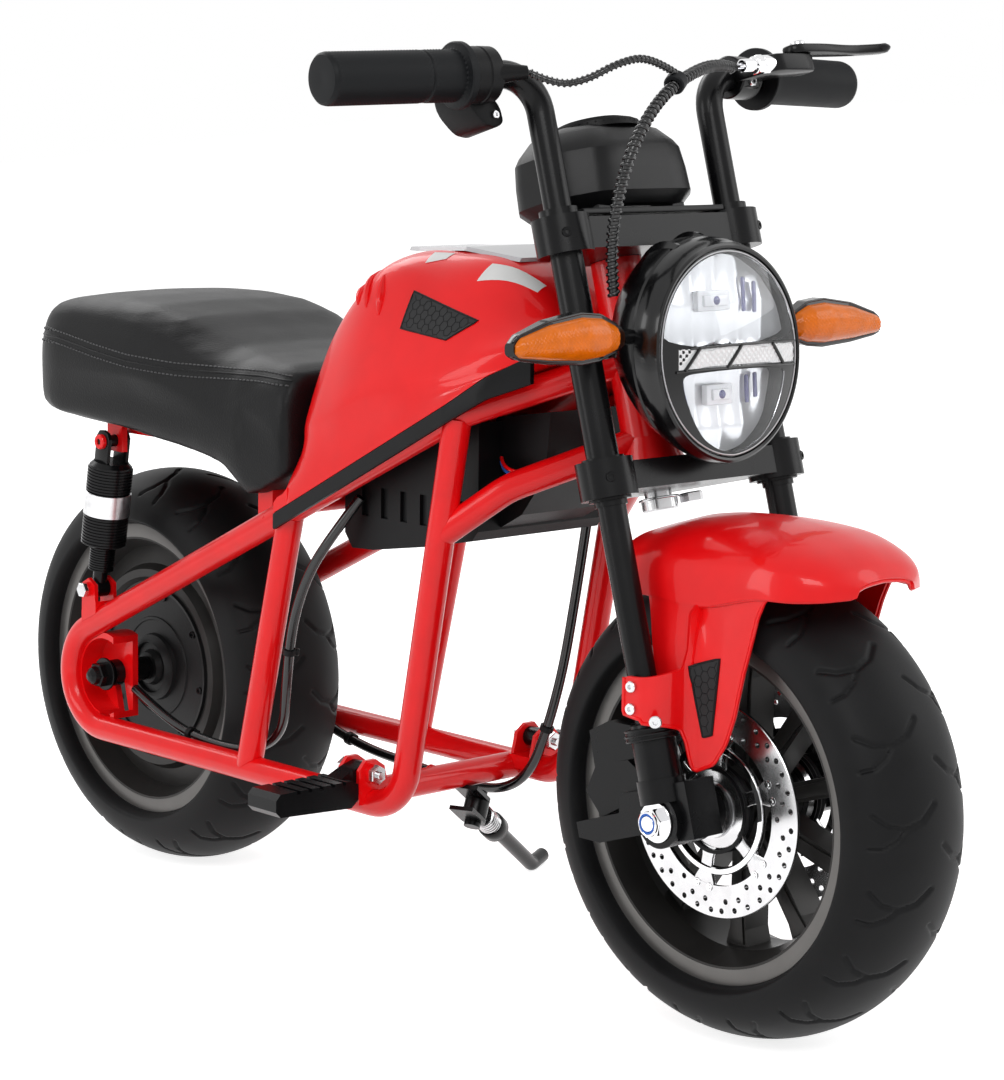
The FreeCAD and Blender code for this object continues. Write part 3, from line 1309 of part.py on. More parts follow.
def make_signals():
    y, z = lamp_middle.y + 17.0, lamp_middle.z + 12.0
    sections = []
    for x, tall, deep, lift in SIGNAL:
        rim = [(deep, tall * 0.45), (deep * 0.6, tall), (-deep * 0.6, tall), (-deep, tall * 0.45),
               (-deep, -tall * 0.45), (-deep * 0.6, -tall), (deep * 0.6, -tall), (deep, -tall * 0.45)]
        sections.append([Vector(-x, y + u, z + lift + v) for u, v in rim])
    bucket = Part.makeCompound([lamp_outside()])
    bucket.Placement = LAMP
    shape = loft(sections).cut(bucket)
    feature("turn_signals", pair(max(shape.Solids, key=lambda solid: solid.Volume)))


# Front fender sections along the wheel: place behind the front axle, height of
# the crown over the axle, half width, drop of the side
FENDER = [(69.5, 168.5, 56.0, 28.0), (35.5, 178.0, 60.0, 32.0), (-8.5, 182.8, 61.0, 35.0),
          (-52.5, 180.0, 60.0, 33.0), (-76.0, 173.6, 54.0, 25.0), (-91.0, 166.8, 40.0, 14.0),
          (-102.0, 159.5, 24.0, 6.0)]
# Side of the fender's wall, and its plan round the fork slider, both from the front
# axle; the slider passes between the wall's front and its flap.
WALL_SIDE = [(-52.5, 160.0), (-48.5, 131.0), (-42.5, 98.0), (-36.5, 68.0), (-30.5, 50.0), (-22.0, 36.5), (-8.0, 29.5),
             (1.0, 30.0), (7.0, 58.0), (8.5, 64.0), (21.5, 66.0), (21.5, 89.0), (12.0, 92.0), (4.0, 160.0)]
WALL_PLAN = [(-57.0, -52.5), (-61.0, -20.5), (-66.0, -5.5), (-86.0, -3.5), (-96.0, 7.5), (-97.0, 22.0),
             (-94.0, 22.0), (-93.0, 8.5), (-85.0, -0.5), (-64.0, -2.0), (-58.0, -18.5), (-54.0, -52.5)]


def make_fender():
    thick = 3.0
    sections = []
    caps = []
    for lag, rise, half, drop in FENDER:
        y = front_y.value + lag
        crown = axle_z.value + rise
        top = [(-half, -drop), (-half * 0.92, -drop * 0.42), (-half * 0.62, -drop * 0.1), (0.0, 0.0),
               (half * 0.62, -drop * 0.1), (half * 0.92, -drop * 0.42), (half, -drop)]
        inner = half - thick
        low = [(inner, -drop), (inner * 0.91, -drop * 0.42 - thick * 0.8), (inner * 0.6, -drop * 0.1 - thick),
               (0.0, -thick), (-inner * 0.6, -drop * 0.1 - thick), (-inner * 0.91, -drop * 0.42 - thick * 0.8),
               (-inner, -drop)]
        sections.append([Vector(x, y, crown + z) for x, z in top + low])
        caps.append([Vector(-half - 60.0, y, crown - drop * 0.5), Vector(half + 60.0, y, crown - drop * 0.5),
                     Vector(half + 60.0, y, crown + 80.0), Vector(-half - 60.0, y, crown + 80.0)])
    shell = loft(sections)
    # side wall that wraps the front of the fork slider
    plan = [(x, front_y.value + lag) for x, lag in WALL_PLAN]
    side = [(front_y.value + lag, axle_z.value + rise) for lag, rise in WALL_SIDE]
    low_z = axle_z.value + 18.0
    wall = prism(plan, "xy", low_z, low_z + 142.0).common(prism(side, "yz", -110.0, -50.0))
    wall = wall.cut(loft(caps))
    shape = joined([shell, wall, mirrored(wall)])
    posts = []
    for side in (-1, 1):
        post = Part.makeCylinder(slider_r.value + 0.6, 260.0, Vector(side * fork_x.value, 0, 20.0))
        post.Placement = FORK
        posts.append(post)
        flange = Part.makeCylinder(s.leg_flange_diameter.value / 2 + 0.6, s.leg_top.value + 30.6,
                                   Vector(side * fork_x.value, 0, -30.0))
        flange.Placement = FORK
        posts.append(flange)
    shape = shape.cut(posts[0].fuse(posts[1:]))
    feature("front_fender", max(shape.Solids, key=lambda solid: solid.Volume))


def make_calipers():
    """A finned caliper behind each fork leg, straddling the disc, and the long
    plate that holds it on the axle boss."""
    body = prism([(30.0, 60.0), (27.0, 36.0), (22.0, 16.0), (40.0, 14.0), (74.0, 6.0), (84.0, 24.0), (72.0, 38.0),
                  (71.0, 62.0), (52.0, 66.0)], "yz", -63.0, -26.0)
    stay = prism([(12.0, 22.0), (16.0, 14.0), (40.0, 14.0), (40.0, 40.0), (30.0, 40.0)], "yz", -74.0, -56.0)
    plate = prism([(12.0, 14.0), (14.0, -7.0), (62.0, -9.0), (80.0, -4.0), (80.0, 6.0), (40.0, 8.0), (36.0, 20.0),
                   (16.0, 20.0)], "yz", -80.0, -68.0)
    plane = s.disc_plane.value + s.disc_thickness.value / 2 + 2.5
    gap = Part.makeCylinder(s.disc_radius.value + 3.0, s.disc_thickness.value + 5.0, Vector(-plane, 0, 0),
                            Vector(1, 0, 0))
    spokes = Part.makeCylinder(s.bead_radius.value, s.spoke_depth.value + 12.0,
                               Vector(-s.spoke_depth.value / 2 - 6.0, 0, 0), Vector(1, 0, 0))
    radius = s.leg_diameter.value / 2 + s.weld_gap.value
    leg = Part.makeCylinder(radius, 120.0, Vector(-fork_x.value, 0, -40.0))
    flange = Part.makeCylinder(s.leg_flange_diameter.value / 2 + s.weld_gap.value, 12.0,
                               Vector(-fork_x.value, 0, s.leg_top.value - 9.5))
    seat_gap = s.weld_gap.value
    lug = Part.makeBox(60.0, 36.0 + 2 * seat_gap, 36.0 + 2 * seat_gap, Vector(-110.0, -24.0 - seat_gap, -14.0 - seat_gap))
    boss = Part.makeCylinder(s.leg_boss_radius.value + seat_gap, 60.0, Vector(-110.0, 0, 0), Vector(1, 0, 0))
    shape = joined([body, stay, plate]).cut(gap.fuse([spokes, leg, flange, lug, boss]))
    feature("brake_calipers", pair(max(shape.Solids, key=lambda solid: solid.Volume)), FORK)


def cord(points, radius):
    """A round cord through the points, with an arc at each inner one."""
    points = [Vector(*point) for point in points]
    radii = []
    for before, corner, after in zip(points, points[1:], points[2:]):
        half = (corner - before).getAngle(after - corner) / 2
        run = min((corner - before).Length, (after - corner).Length)
        radii.append(0.45 * run / math.tan(half))
    shape = tube(rounded_path([tuple(point) for point in points], radii), radius)
    smallest = min(radii) / (2 * radius)
    print(f"cord: smallest bend {smallest:.1f} diameters, radii {[round(r) for r in radii]}")
    return shape


# Places that the cords run from and to, next to the pieces they serve
bar_lift = bar_z.value - 475.0
clamp_lift = s.upper_clamp_height.value - 358.0
case_side = s.case_width.value / 2 + 4.5
case_back = s.case_rear.value
motor_y = rear_y.value - 20.5
# Routes of the cords: the first two in the fork's frame, the others on the upright bike
BRAKE_CABLE = [(82.0, -22.8, 474.0 + bar_lift), (56.0, -34.0, 474.0 + bar_lift), (6.0, -52.0, 461.0 + bar_lift),
               (-34.0, -60.0, 442.0 + bar_lift), (-61.0, -57.0, 414.0 + clamp_lift),
               (-69.0, -44.0, 384.0 + clamp_lift), (-66.0, -26.0, 352.0 + clamp_lift),
               (-63.0, -20.0, 327.0 + clamp_lift)]
THROTTLE_LEAD = [(-98.0, -17.0, 470.7 + bar_lift), (-87.0, -27.0, 460.0 + bar_lift),
                 (-76.0, -43.0, 459.0 + bar_lift), (-58.0, -56.0, 467.0 + bar_lift),
                 (-36.0, -62.0, 471.0 + bar_lift), (-16.0, -64.0, 465.0 + bar_lift)]
RIGHT_CABLE = [(-case_side, case_back - 22.0, 318.0), (-73.5, 30.0, 293.0), (-79.0, 52.0, 262.0),
               (-80.0, 68.0, 224.0), (-76.0, 79.0, 178.0), (-66.5, 94.0, 138.0), (-66.0, 130.0, 119.0),
               (-66.0, 180.0, 117.0), (-66.0, along(228.0), 124.0), (-62.0, motor_y, 142.0)]
LEFT_CABLE = [(case_side, case_back - 120.0, 326.0), (65.0, -76.0, 288.0), (66.0, -66.0, 240.0),
              (66.0, -56.0, 192.0), (63.0, -45.0, 150.0), (60.0, -30.0, 112.0), (60.0, 2.0, 94.0),
              (64.0, 50.0, 92.5), (68.0, 108.0, 94.5), (68.0, 162.0, 98.0), (66.0, along(216.0), 112.0),
              (62.0, motor_y, 142.0)]


def make_cords():
    feature("brake_cable", cord(BRAKE_CABLE, 4.3), FORK)
    feature("throttle_lead", cord(THROTTLE_LEAD, 2.8), FORK)
    feature("frame_cable_right", cord(RIGHT_CABLE, 4.0))
    feature("frame_cable_left", cord(LEFT_CABLE, 4.0))


def build():
    tyre("front_tyre", FRONT_WHEEL)
    front_rim()
    brake_disc("brake_disc_right", -1)
    brake_disc("brake_disc_left", 1)
    tyre("rear_tyre", REAR_WHEEL)
    rear_rim()
    hub_motor()
    make_frame()
    make_rear_end()
    make_battery_case()
    make_tank()
    make_seat()
    make_seat_rail()
    make_shocks()
    make_pegs()
    make_stand()
    make_fork()
    make_handlebar()
    make_controls()
    make_pod()
    make_headlight()
    make_signals()
    make_fender()
    make_calipers()
    make_cords()


def lowest_lean():
    """Rise of the whole bike that brings the leaning tyres onto the floor."""
    lean = math.radians(s.lean_angle.value)
    radius = s.tyre_radius.value - s.crown_radius.value
    centre = radius * math.cos(lean) + s.crown_radius.value
    return centre - s.tyre_radius.value * math.cos(lean)


def stand_up():
    """Lean every piece onto the stand, with the origin in the middle of its footprint."""
    lean = turn((0, 1, 0), s.lean_angle.value)
    whole = FreeCAD.BoundBox()
    for item, name, frame in nodes:
        shape = item.Shape.copy()
        shape.Placement = lean * frame * shape.Placement
        whole.add(shape.optimalBoundingBox(False))
    shift = move(-whole.Center.x, -whole.Center.y, lowest_lean())
    for item, name, frame in nodes:
        if item.isDerivedFrom("Part::Feature") and item.TypeId == "Part::Feature":
            item.Placement = shift * lean * frame * item.Placement
        else:
            item.Placement = shift * lean * frame
    return shift * lean


def check_and_write():
    doc.recompute()
    os.makedirs("parts", exist_ok=True)
    for item in doc.Objects:
        if "Invalid" in item.State or "Error" in item.State:
            raise ValueError(f"{item.Name} ({item.Label}) failed: {item.State}")
    for item, name, frame in nodes:
        shape = item.Shape
        if shape.isNull() or not shape.isValid():
            raise ValueError(f"{name} has no valid shape")
        shape.exportStep(f"parts/{name}.step")


def print_places(stand):
    """Places of the joints and grips on the leaning bike, in metres."""
    fork = stand * FORK
    start, end = bar_end(-1)
    way = (end - start).normalize()
    grip_middle = end - way * ((s.grip_length.value - 6.0 + 3.0) / 2)
    start, end = bar_end(1)
    left_way = (end - start).normalize()
    left_middle = end - left_way * ((s.grip_length.value - 6.0 + 3.0) / 2)
    places = [
        ("origin", stand, Vector(), Vector(0, 0, 1)),
        ("steering", fork, Vector(0, s.stem_offset.value, s.lower_clamp_height.value), Vector(0, 0, 1)),
        ("front_wheel", fork, Vector(), Vector(-1, 0, 0)),
        ("rear_wheel", stand, Vector(0, rear_y.value, axle_z.value), Vector(-1, 0, 0)),
        ("side_stand", stand, stand_pivot, stand_axis),
        ("peg_right", stand, Vector(-s.peg_pivot_x.value, s.peg_pivot_y.value, s.peg_pivot_height.value),
         Vector(0, 1, 0)),
        ("peg_left", stand, Vector(s.peg_pivot_x.value, s.peg_pivot_y.value, s.peg_pivot_height.value),
         Vector(0, -1, 0)),
        ("grip_right", fork, grip_middle, way),
        ("grip_left", fork, left_middle, left_way),
    ]
    for name, frame, point, axis in places:
        place = frame.multVec(point) / 1000
        way = frame.Rotation.multVec(axis)
        print(f"place {name} {place.x:.6f} {place.y:.6f} {place.z:.6f} {way.x:.7f} {way.y:.7f} {way.z:.7f}")


build()
doc.recompute()
stand = stand_up()
check_and_write()
print_places(stand)
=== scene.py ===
import bmesh
import bpy
import json
import math
from mathutils import Matrix, Vector, geometry
from mathutils.bvhtree import BVHTree


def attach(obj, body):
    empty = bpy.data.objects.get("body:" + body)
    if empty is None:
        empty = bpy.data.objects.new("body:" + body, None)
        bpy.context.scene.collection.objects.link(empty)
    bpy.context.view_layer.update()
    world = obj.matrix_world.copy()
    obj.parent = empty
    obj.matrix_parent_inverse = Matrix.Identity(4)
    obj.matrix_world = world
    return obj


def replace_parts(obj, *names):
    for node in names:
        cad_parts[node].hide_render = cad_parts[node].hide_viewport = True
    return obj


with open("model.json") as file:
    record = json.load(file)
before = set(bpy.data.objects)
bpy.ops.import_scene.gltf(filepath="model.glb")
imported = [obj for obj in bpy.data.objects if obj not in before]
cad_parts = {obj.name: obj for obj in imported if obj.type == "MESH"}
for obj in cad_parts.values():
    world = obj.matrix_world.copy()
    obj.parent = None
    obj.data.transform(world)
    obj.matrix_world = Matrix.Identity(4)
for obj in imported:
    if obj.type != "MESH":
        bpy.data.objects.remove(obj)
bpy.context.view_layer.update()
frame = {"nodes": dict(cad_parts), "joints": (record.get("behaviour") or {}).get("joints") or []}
NODES = frame["nodes"]
SCENE = bpy.context.scene
move = Matrix.Translation


def rotate(degrees, axis):
    return Matrix.Rotation(math.radians(degrees), 4, axis)


# Frames to draw in. Pieces are drawn in millimetres on the upright bike (forward is
# -y, the rider's left +x), or in the frame of the fork, a wheel or the lamp, and
# their vertices are then laid in the row's frame, in metres.
MM = 0.001
LEAN_DEG, RAKE_DEG, LAMP_TILT_DEG = 5.0, 16.0, 4.8
WHEEL_RADIUS = 152.0
FRONT_AXLE = Vector((0.0, -297.5, WHEEL_RADIUS))
REAR_AXLE = Vector((0.0, 297.5, WHEEL_RADIUS))
LAMP_CENTRE = (0.0, -263.0, 436.0)
LEAN = rotate(LEAN_DEG, "Y")
rear_joint = [joint for joint in frame["joints"] if joint["name"] == "rear_wheel_spin"][0]
ORIGIN = Vector(rear_joint["pos_m"]) - LEAN @ (REAR_AXLE * MM)
BIKE = move(ORIGIN) @ LEAN @ Matrix.Scale(MM, 4)
FORK = BIKE @ move(FRONT_AXLE) @ rotate(-RAKE_DEG, "X")
FRONT_WHEEL = BIKE @ move(FRONT_AXLE) @ rotate(90.0, "Y")
REAR_WHEEL = BIKE @ move(REAR_AXLE) @ rotate(90.0, "Y")
LAMP = BIKE @ move(LAMP_CENTRE) @ rotate(-LAMP_TILT_DEG, "X")


# Camera, floor and light

CAMERA_LENS = 101.93
CAMERA_PLACE = Vector((-1.36594774, -1.57185248, 0.73130241))
CAMERA_RIGHT = Vector((0.72744612, -0.68437501, -0.04952758))
CAMERA_UP = Vector((0.17926068, 0.11987617, 0.97647085))
CAMERA_BACK = Vector((-0.66233507, -0.71920828, 0.20988498))
WORLD_LIGHT = 0.37
FLOOR_SIZE, FLOOR_DROP = 6.0, 0.0005
FLOOR_COLOUR, FLOOR_GLOW = 0.93, 0.78
WHITE = (1.0, 1.0, 1.0, 1.0)
# name, place, the point it faces, width and height in metres, watts
LIGHTS = [("key", (-1.6, -1.9, 2.3), (0.0, -0.1, 0.3), (1.6, 1.2), 34.0),
          ("fill", (1.9, -1.6, 1.4), (0.0, 0.0, 0.3), (1.4, 1.8), 16.0),
          ("rim", (0.4, 2.2, 2.0), (0.0, 0.0, 0.3), (2.0, 1.0), 20.0),
          ("side", (-2.3, 0.9, 1.2), (0.0, 0.1, 0.3), (0.8, 1.6), 14.0)]


def linked(name, data):
    """A new object in the scene."""
    thing = bpy.data.objects.new(name, data)
    SCENE.collection.objects.link(thing)
    return thing


def put(nodes, kind, **values):
    """A new shader node with some of its inputs set."""
    node = nodes.new("ShaderNode" + kind)
    for name, value in values.items():
        node.inputs[name.replace("_", " ")].default_value = value
    return node


def blank_tree(owner):
    """The emptied node tree of a material or world."""
    owner.use_nodes = True
    owner.node_tree.nodes.clear()
    return owner.node_tree.nodes, owner.node_tree.links


def make_camera():
    data = bpy.data.cameras.new("camera")
    data.lens = CAMERA_LENS
    data.sensor_width = 36.0
    data.clip_start = 0.05
    data.clip_end = 50.0
    camera = linked("camera", data)
    rotation = Matrix((CAMERA_RIGHT, CAMERA_UP, CAMERA_BACK)).transposed().to_4x4()
    camera.matrix_world = move(ORIGIN + CAMERA_PLACE) @ rotation
    SCENE.camera = camera


def area_light(name, place, target, size, power):
    data = bpy.data.lights.new(name, "AREA")
    data.shape = "RECTANGLE"
    data.size, data.size_y = size
    data.energy = power
    light = linked(name, data)
    light.location = place
    light.rotation_mode = "QUATERNION"
    light.rotation_quaternion = (Vector(target) - Vector(place)).to_track_quat("-Z", "Y")


def white_seen(nodes, links):
    """One where the camera, a mirror or a glass looks at a surface."""
    path = put(nodes, "LightPath")
    result = path.outputs["Is Camera Ray"]
    for name in ("Is Glossy Ray", "Is Transmission Ray"):
        either = put(nodes, "Math")
        either.operation = "MAXIMUM"
        links.new(result, either.inputs[0])
        links.new(path.outputs[name], either.inputs[1])
        result = either.outputs[0]
    return result


def mixed(nodes, links, plain, seen, out):
    """Use one shader for light, and another where the surface is looked at."""
    mix = put(nodes, "MixShader")
    links.new(white_seen(nodes, links), mix.inputs[0])
    links.new(plain.outputs[0], mix.inputs[1])
    links.new(seen.outputs[0], mix.inputs[2])
    links.new(mix.outputs[0], out.inputs[0])


def make_stage():
    world = bpy.data.worlds.new("world")
    SCENE.world = world
    nodes, links = blank_tree(world)
    mixed(nodes, links, put(nodes, "Background", Color=WHITE, Strength=WORLD_LIGHT),
          put(nodes, "Background", Color=WHITE, Strength=1.0), put(nodes, "OutputWorld"))
    mesh = bpy.data.meshes.new("floor")
    size = FLOOR_SIZE
    mesh.from_pydata([(-size, -size, 0), (size, -size, 0), (size, size, 0), (-size, size, 0)], [],
                     [(0, 1, 2, 3)])
    floor = linked("floor", mesh)
    floor.location.z = -FLOOR_DROP
    material = bpy.data.materials.new("floor")
    nodes, links = blank_tree(material)
    diffuse = put(nodes, "BsdfDiffuse", Color=(FLOOR_COLOUR, FLOOR_COLOUR, FLOOR_COLOUR, 1.0))
    glow = put(nodes, "Emission", Color=WHITE, Strength=FLOOR_GLOW)
    add = put(nodes, "AddShader")
    links.new(diffuse.outputs[0], add.inputs[0])
    links.new(glow.outputs[0], add.inputs[1])
    mixed(nodes, links, diffuse, add, put(nodes, "OutputMaterial"))
    mesh.materials.append(material)


make_camera()
make_stage()
for light in LIGHTS:
    area_light(*light)
SCENE.view_settings.view_transform = "Standard"


# Materials

BUMP_DEPTH = 0.0004     # metres that a full bump stands up


def surface(name, colour, rough=0.4, metal=0.0, coat=0.0, coat_rough=0.05, vary=0.06, vary_scale=40.0,
            bump=0.0, bump_scale=300.0, kind="noise", rough_vary=0.06, clear=0.0, ior=1.45, specular=0.5):
    """A Principled material whose colour, roughness and bump come from nodes."""
    material = bpy.data.materials.new(name)
    nodes, links = blank_tree(material)
    shader = put(nodes, "BsdfPrincipled", Metallic=metal, Coat_Weight=coat, Coat_Roughness=coat_rough,
                 IOR=ior,
                 Specular_IOR_Level=specular, Transmission_Weight=clear)
    links.new(shader.outputs[0], put(nodes, "OutputMaterial").inputs[0])
    place = put(nodes, "TexCoord").outputs["Object"]
    cloud = put(nodes, "TexNoise", Scale=vary_scale, Detail=4.0)
    links.new(place, cloud.inputs["Vector"])
    ramp = put(nodes, "ValToRGB")
    for element, position, change in zip(ramp.color_ramp.elements, (0.35, 0.65), (1.0 - vary, 1.0 + vary)):
        element.position = position
        element.color = (*[min(1.0, channel * change) for channel in colour], 1.0)
    links.new(cloud.outputs["Fac"], ramp.inputs["Fac"])
    links.new(ramp.outputs["Color"], shader.inputs["Base Color"])
    spread = put(nodes, "MapRange", To_Min=max(0.0, rough - rough_vary), To_Max=min(1.0, rough + rough_vary))
    links.new(cloud.outputs["Fac"], spread.inputs["Value"])
    links.new(spread.outputs["Result"], shader.inputs["Roughness"])
    if bump > 0:
        if kind == "leather":
            grain = put(nodes, "TexVoronoi", Scale=bump_scale)
            grain.feature = "SMOOTH_F1"
            height = grain.outputs["Distance"]
        else:
            grain = put(nodes, "TexNoise", Scale=bump_scale, Detail=3.0)
            height = grain.outputs["Fac"]
        links.new(place, grain.inputs["Vector"])
        raised = put(nodes, "Bump", Strength=bump, Distance=BUMP_DEPTH)
        links.new(height, raised.inputs["Height"])
        links.new(raised.outputs["Normal"], shader.inputs["Normal"])
    return material


RED = (0.88, 0.004, 0.006)
JET, SOOT = (0.004, 0.004, 0.0045), (0.006, 0.006, 0.0065)
CLEAR = dict(colour=(0.97, 0.98, 1.0), vary=0.0, clear=1.0, rough_vary=0.0)
# Each look: the name of a slot in the record, which nothing here reads, and its surface
LOOKS = {
    "red_paint": ("red_paint", dict(colour=RED, rough=0.3, coat=0.35, coat_rough=0.04, specular=0.2,
                                    vary=0.04,
                                    bump=0.03, bump_scale=900.0)),
    "red_plastic": ("red_plastic", dict(colour=RED, rough=0.32, coat=0.35, specular=0.2, vary=0.03, bump=0.02,
                                        bump_scale=700.0)),
    "black_gloss": ("black_plastic", dict(colour=(0.003, 0.003, 0.0035), rough=0.2, coat=0.25, specular=0.35,
                                          vary=0.1)),
    "black_satin": ("black_paint", dict(colour=JET, rough=0.26, specular=0.22, vary=0.1, bump=0.05,
                                        bump_scale=1200.0)),
    "black_plastic": ("black_plastic", dict(colour=(0.005, 0.005, 0.0055), rough=0.42, specular=0.18,
                                            vary=0.15,
                                            bump=0.2, bump_scale=1500.0)),
    "grey_plastic": ("grey_plastic", dict(colour=(0.58, 0.58, 0.6), rough=0.3, coat=0.3, vary=0.03)),
    "steel": ("steel", dict(colour=(0.62, 0.62, 0.63), rough=0.25, metal=1.0, vary=0.08)),
    "chrome": ("steel", dict(colour=(0.85, 0.85, 0.86), rough=0.06, metal=1.0, vary=0.02, rough_vary=0.02)),
    "vinyl": ("black_vinyl", dict(colour=JET, rough=0.42, specular=0.2, vary=0.12, bump=0.35,
                                  bump_scale=900.0,
                                  kind="leather")),
    "rubber": ("grip_rubber", dict(colour=(0.005, 0.0056, 0.0066), rough=0.52, specular=0.2, vary=0.12,
                                   bump=0.1,
                                   bump_scale=1500.0)),
    "cable": ("cable_black", dict(colour=JET, rough=0.22, coat=0.3, vary=0.1)),
    "tyre": ("tyre", dict(colour=(0.007, 0.007, 0.0075), rough=0.52, specular=0.16, vary=0.15, bump=0.12,
                          bump_scale=1300.0)),
    "rim": ("rim_paint", dict(colour=(0.026, 0.0245, 0.0235), rough=0.42, specular=0.4, metal=0.4, vary=0.1,
                              bump=0.05, bump_scale=1500.0)),
    "disc": ("disc_steel", dict(colour=(0.6, 0.6, 0.6), rough=0.28, metal=1.0, vary_scale=90.0)),
    "amber": ("amber_lens", dict(colour=(0.80, 0.17, 0.002), rough=0.25, coat=0.15, specular=0.25, vary=0.08,
                                 vary_scale=120.0)),
    "clear": ("clear_lens", dict(CLEAR, rough=0.03, ior=1.46)),
    "motor": ("motor_alloy", dict(colour=SOOT, rough=0.48, specular=0.4, metal=0.2, vary=0.2, bump=0.2,
                                  bump_scale=900.0)),
    "polished": ("disc_steel", dict(colour=(0.66, 0.66, 0.67), rough=0.2, metal=1.0, vary_scale=90.0)),
    "lip": ("rim_paint", dict(colour=(0.13, 0.125, 0.12), rough=0.38, metal=0.6)),
    "grille": ("black_plastic", dict(colour=(0.016, 0.016, 0.017), rough=0.6, specular=0.3, vary=0.15)),
    "label": ("grey_plastic", dict(colour=(0.75, 0.75, 0.74), rough=0.45, vary=0.04)),
    "thread": ("black_vinyl", dict(colour=(0.045, 0.045, 0.047), rough=0.5, vary=0.2)),
    "glass": ("clear_lens", dict(CLEAR, rough=0.02, ior=1.3)),
    "lit": ("clear_lens", dict(colour=(0.86, 0.87, 0.88), rough=0.25, coat=0.5, vary=0.03)),
    "band": ("steel", dict(colour=(0.75, 0.75, 0.76), rough=0.3, metal=1.0, vary=0.1, vary_scale=200.0)),
    "pod": ("black_plastic", dict(colour=SOOT, rough=0.34, specular=0.25, vary=0.15, bump=0.3,
                                  bump_scale=1800.0)),
    "mirror": ("clear_lens", dict(colour=(0.88, 0.89, 0.9), rough=0.2, metal=0.6, vary=0.03)),
    "led": ("clear_lens", dict(colour=(0.12, 0.12, 0.26), rough=0.2, coat=0.6, vary=0.1)),
    "blue_nylon": ("steel", dict(colour=(0.02, 0.12, 0.5), rough=0.45, vary=0.1)),
}
M = {name: surface(name, **values) for name, (slot, values) in LOOKS.items()}
NODE_LOOKS = {
    "red_paint": ["hoop_right", "hoop_left", "rear_struts", "cross_tubes", "head_tube", "head_braces",
                  "dropouts", "seat_rail", "shock_mounts", "peg_brackets"],
    "red_plastic": ["tank", "front_fender"],
    "grey_plastic": ["tank_top_plate"],
    "black_satin": ["lower_clamp", "upper_clamp", "fork_tubes", "handlebar", "fork_leg_right",
                    "fork_leg_left",
                    "brake_calipers", "brake_lever", "side_stand", "peg_right", "peg_left", "shocks",
                    "stand_bracket", "rear_axle"],
    "black_gloss": ["headlight_shell", "instrument_pod"],
    "black_plastic": ["battery_case", "tank_skirts", "throttle_housing", "lever_perch"],
    "steel": ["front_axle", "steering_stem"],
    "vinyl": ["seat"],
    "rubber": ["grip_right", "grip_left"],
    "cable": ["brake_cable", "throttle_lead", "frame_cable_right", "frame_cable_left"],
    "tyre": ["front_tyre", "rear_tyre"],
    "rim": ["front_rim", "rear_rim"],
    "disc": ["brake_disc_right", "brake_disc_left"],
    "amber": ["turn_signals"],
    "clear": ["headlight_lens"],
    "motor": ["hub_motor"],
}
for look, names in NODE_LOOKS.items():
    for name in names:
        mesh = NODES[name].data
        mesh.materials.clear()
        mesh.materials.append(M[look])


# Geometry helpers. A part is a list of vertices and a list of faces.

def solid(name, vertices, faces):
    """An object in the scene whose normals point outwards."""
    mesh = bpy.data.meshes.new(name)
    mesh.from_pydata(vertices, [], faces)
    mesh.validate()
    shape = bmesh.new()
    shape.from_mesh(mesh)
    bmesh.ops.recalc_face_normals(shape, faces=shape.faces)
    shape.to_mesh(mesh)
    shape.free()
    return linked(name, mesh)


def piece(name, vertices, faces, look, body, matrix=BIKE, smooth=38.0, slot=None):
    """A mesh laid in the row frame that rides on a body."""
    thing = solid(name, [matrix @ Vector(vertex) for vertex in vertices], faces)
    mesh = thing.data
    mesh.materials.append(M[look])
    mesh.polygons.foreach_set("use_smooth", [True] * len(mesh.polygons))
    mesh.set_sharp_from_angle(angle=math.radians(smooth))
    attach(thing, body)
    return thing


def combine(parts):
    """Several parts put together."""
    vertices, faces = [], []
    for part_vertices, part_faces in parts:
        start = len(vertices)
        vertices += [Vector(v) for v in part_vertices]
        faces += [tuple(index + start for index in face) for face in part_faces]
    return vertices, faces


def placed(part, matrix):
    return [matrix @ Vector(v) for v in part[0]], part[1]


def quads(rings, size, wrap=False, closed=True):
    """Faces between each ring of points and the next."""
    faces = []
    for ring in range(rings if wrap else rings - 1):
        here, there = ring * size, (ring + 1) % rings * size
        for index in range(size if closed else size - 1):
            following = (index + 1) % size
            faces.append((here + index, here + following, there + following, there + index))
    return faces


def lathe(profile, count=64, closed=True):
    """Turn (radius, height) points about z."""
    vertices = []
    for step in range(count):
        angle = math.radians(360.0 * step / count)
        for radius, height in profile:
            vertices.append((radius * math.cos(angle), radius * math.sin(angle), height))
    return vertices, quads(count, len(profile), wrap=True, closed=closed)


def disc_of(profile, count=48):
    """Turn an open profile whose ends lie on the axis."""
    return lathe(profile, count, closed=False)


def sweep(points, radius, sides=12, closed=False):
    """A round tube along points; radius may be one value or one per point."""
    points = [Vector(p) for p in points]
    count = len(points)
    radii = radius if isinstance(radius, (list, tuple)) else [radius] * count
    vertices, normal = [], None
    for index, point in enumerate(points):
        before = points[index - 1] if index > 0 or closed else point
        after = points[(index + 1) % count] if index < count - 1 or closed else point
        way = (after - before).normalized()
        if normal is None:
            normal = way.orthogonal().normalized()
        normal = (normal - way * normal.dot(way)).normalized()
        other = way.cross(normal)
        for side in range(sides):
            angle = 2 * math.pi * side / sides
            vertices.append(point + (normal * math.cos(angle) + other * math.sin(angle)) * radii[index])
    faces = quads(count, sides, wrap=closed)
    if not closed:
        faces.append(tuple(range(sides))[::-1])
        faces.append(tuple((count - 1) * sides + side for side in range(sides)))
    return vertices, faces


def along(axis):
    """Turn that lays z along an axis."""
    return Vector((0, 0, 1)).rotation_difference(Vector(axis)).to_matrix().to_4x4()


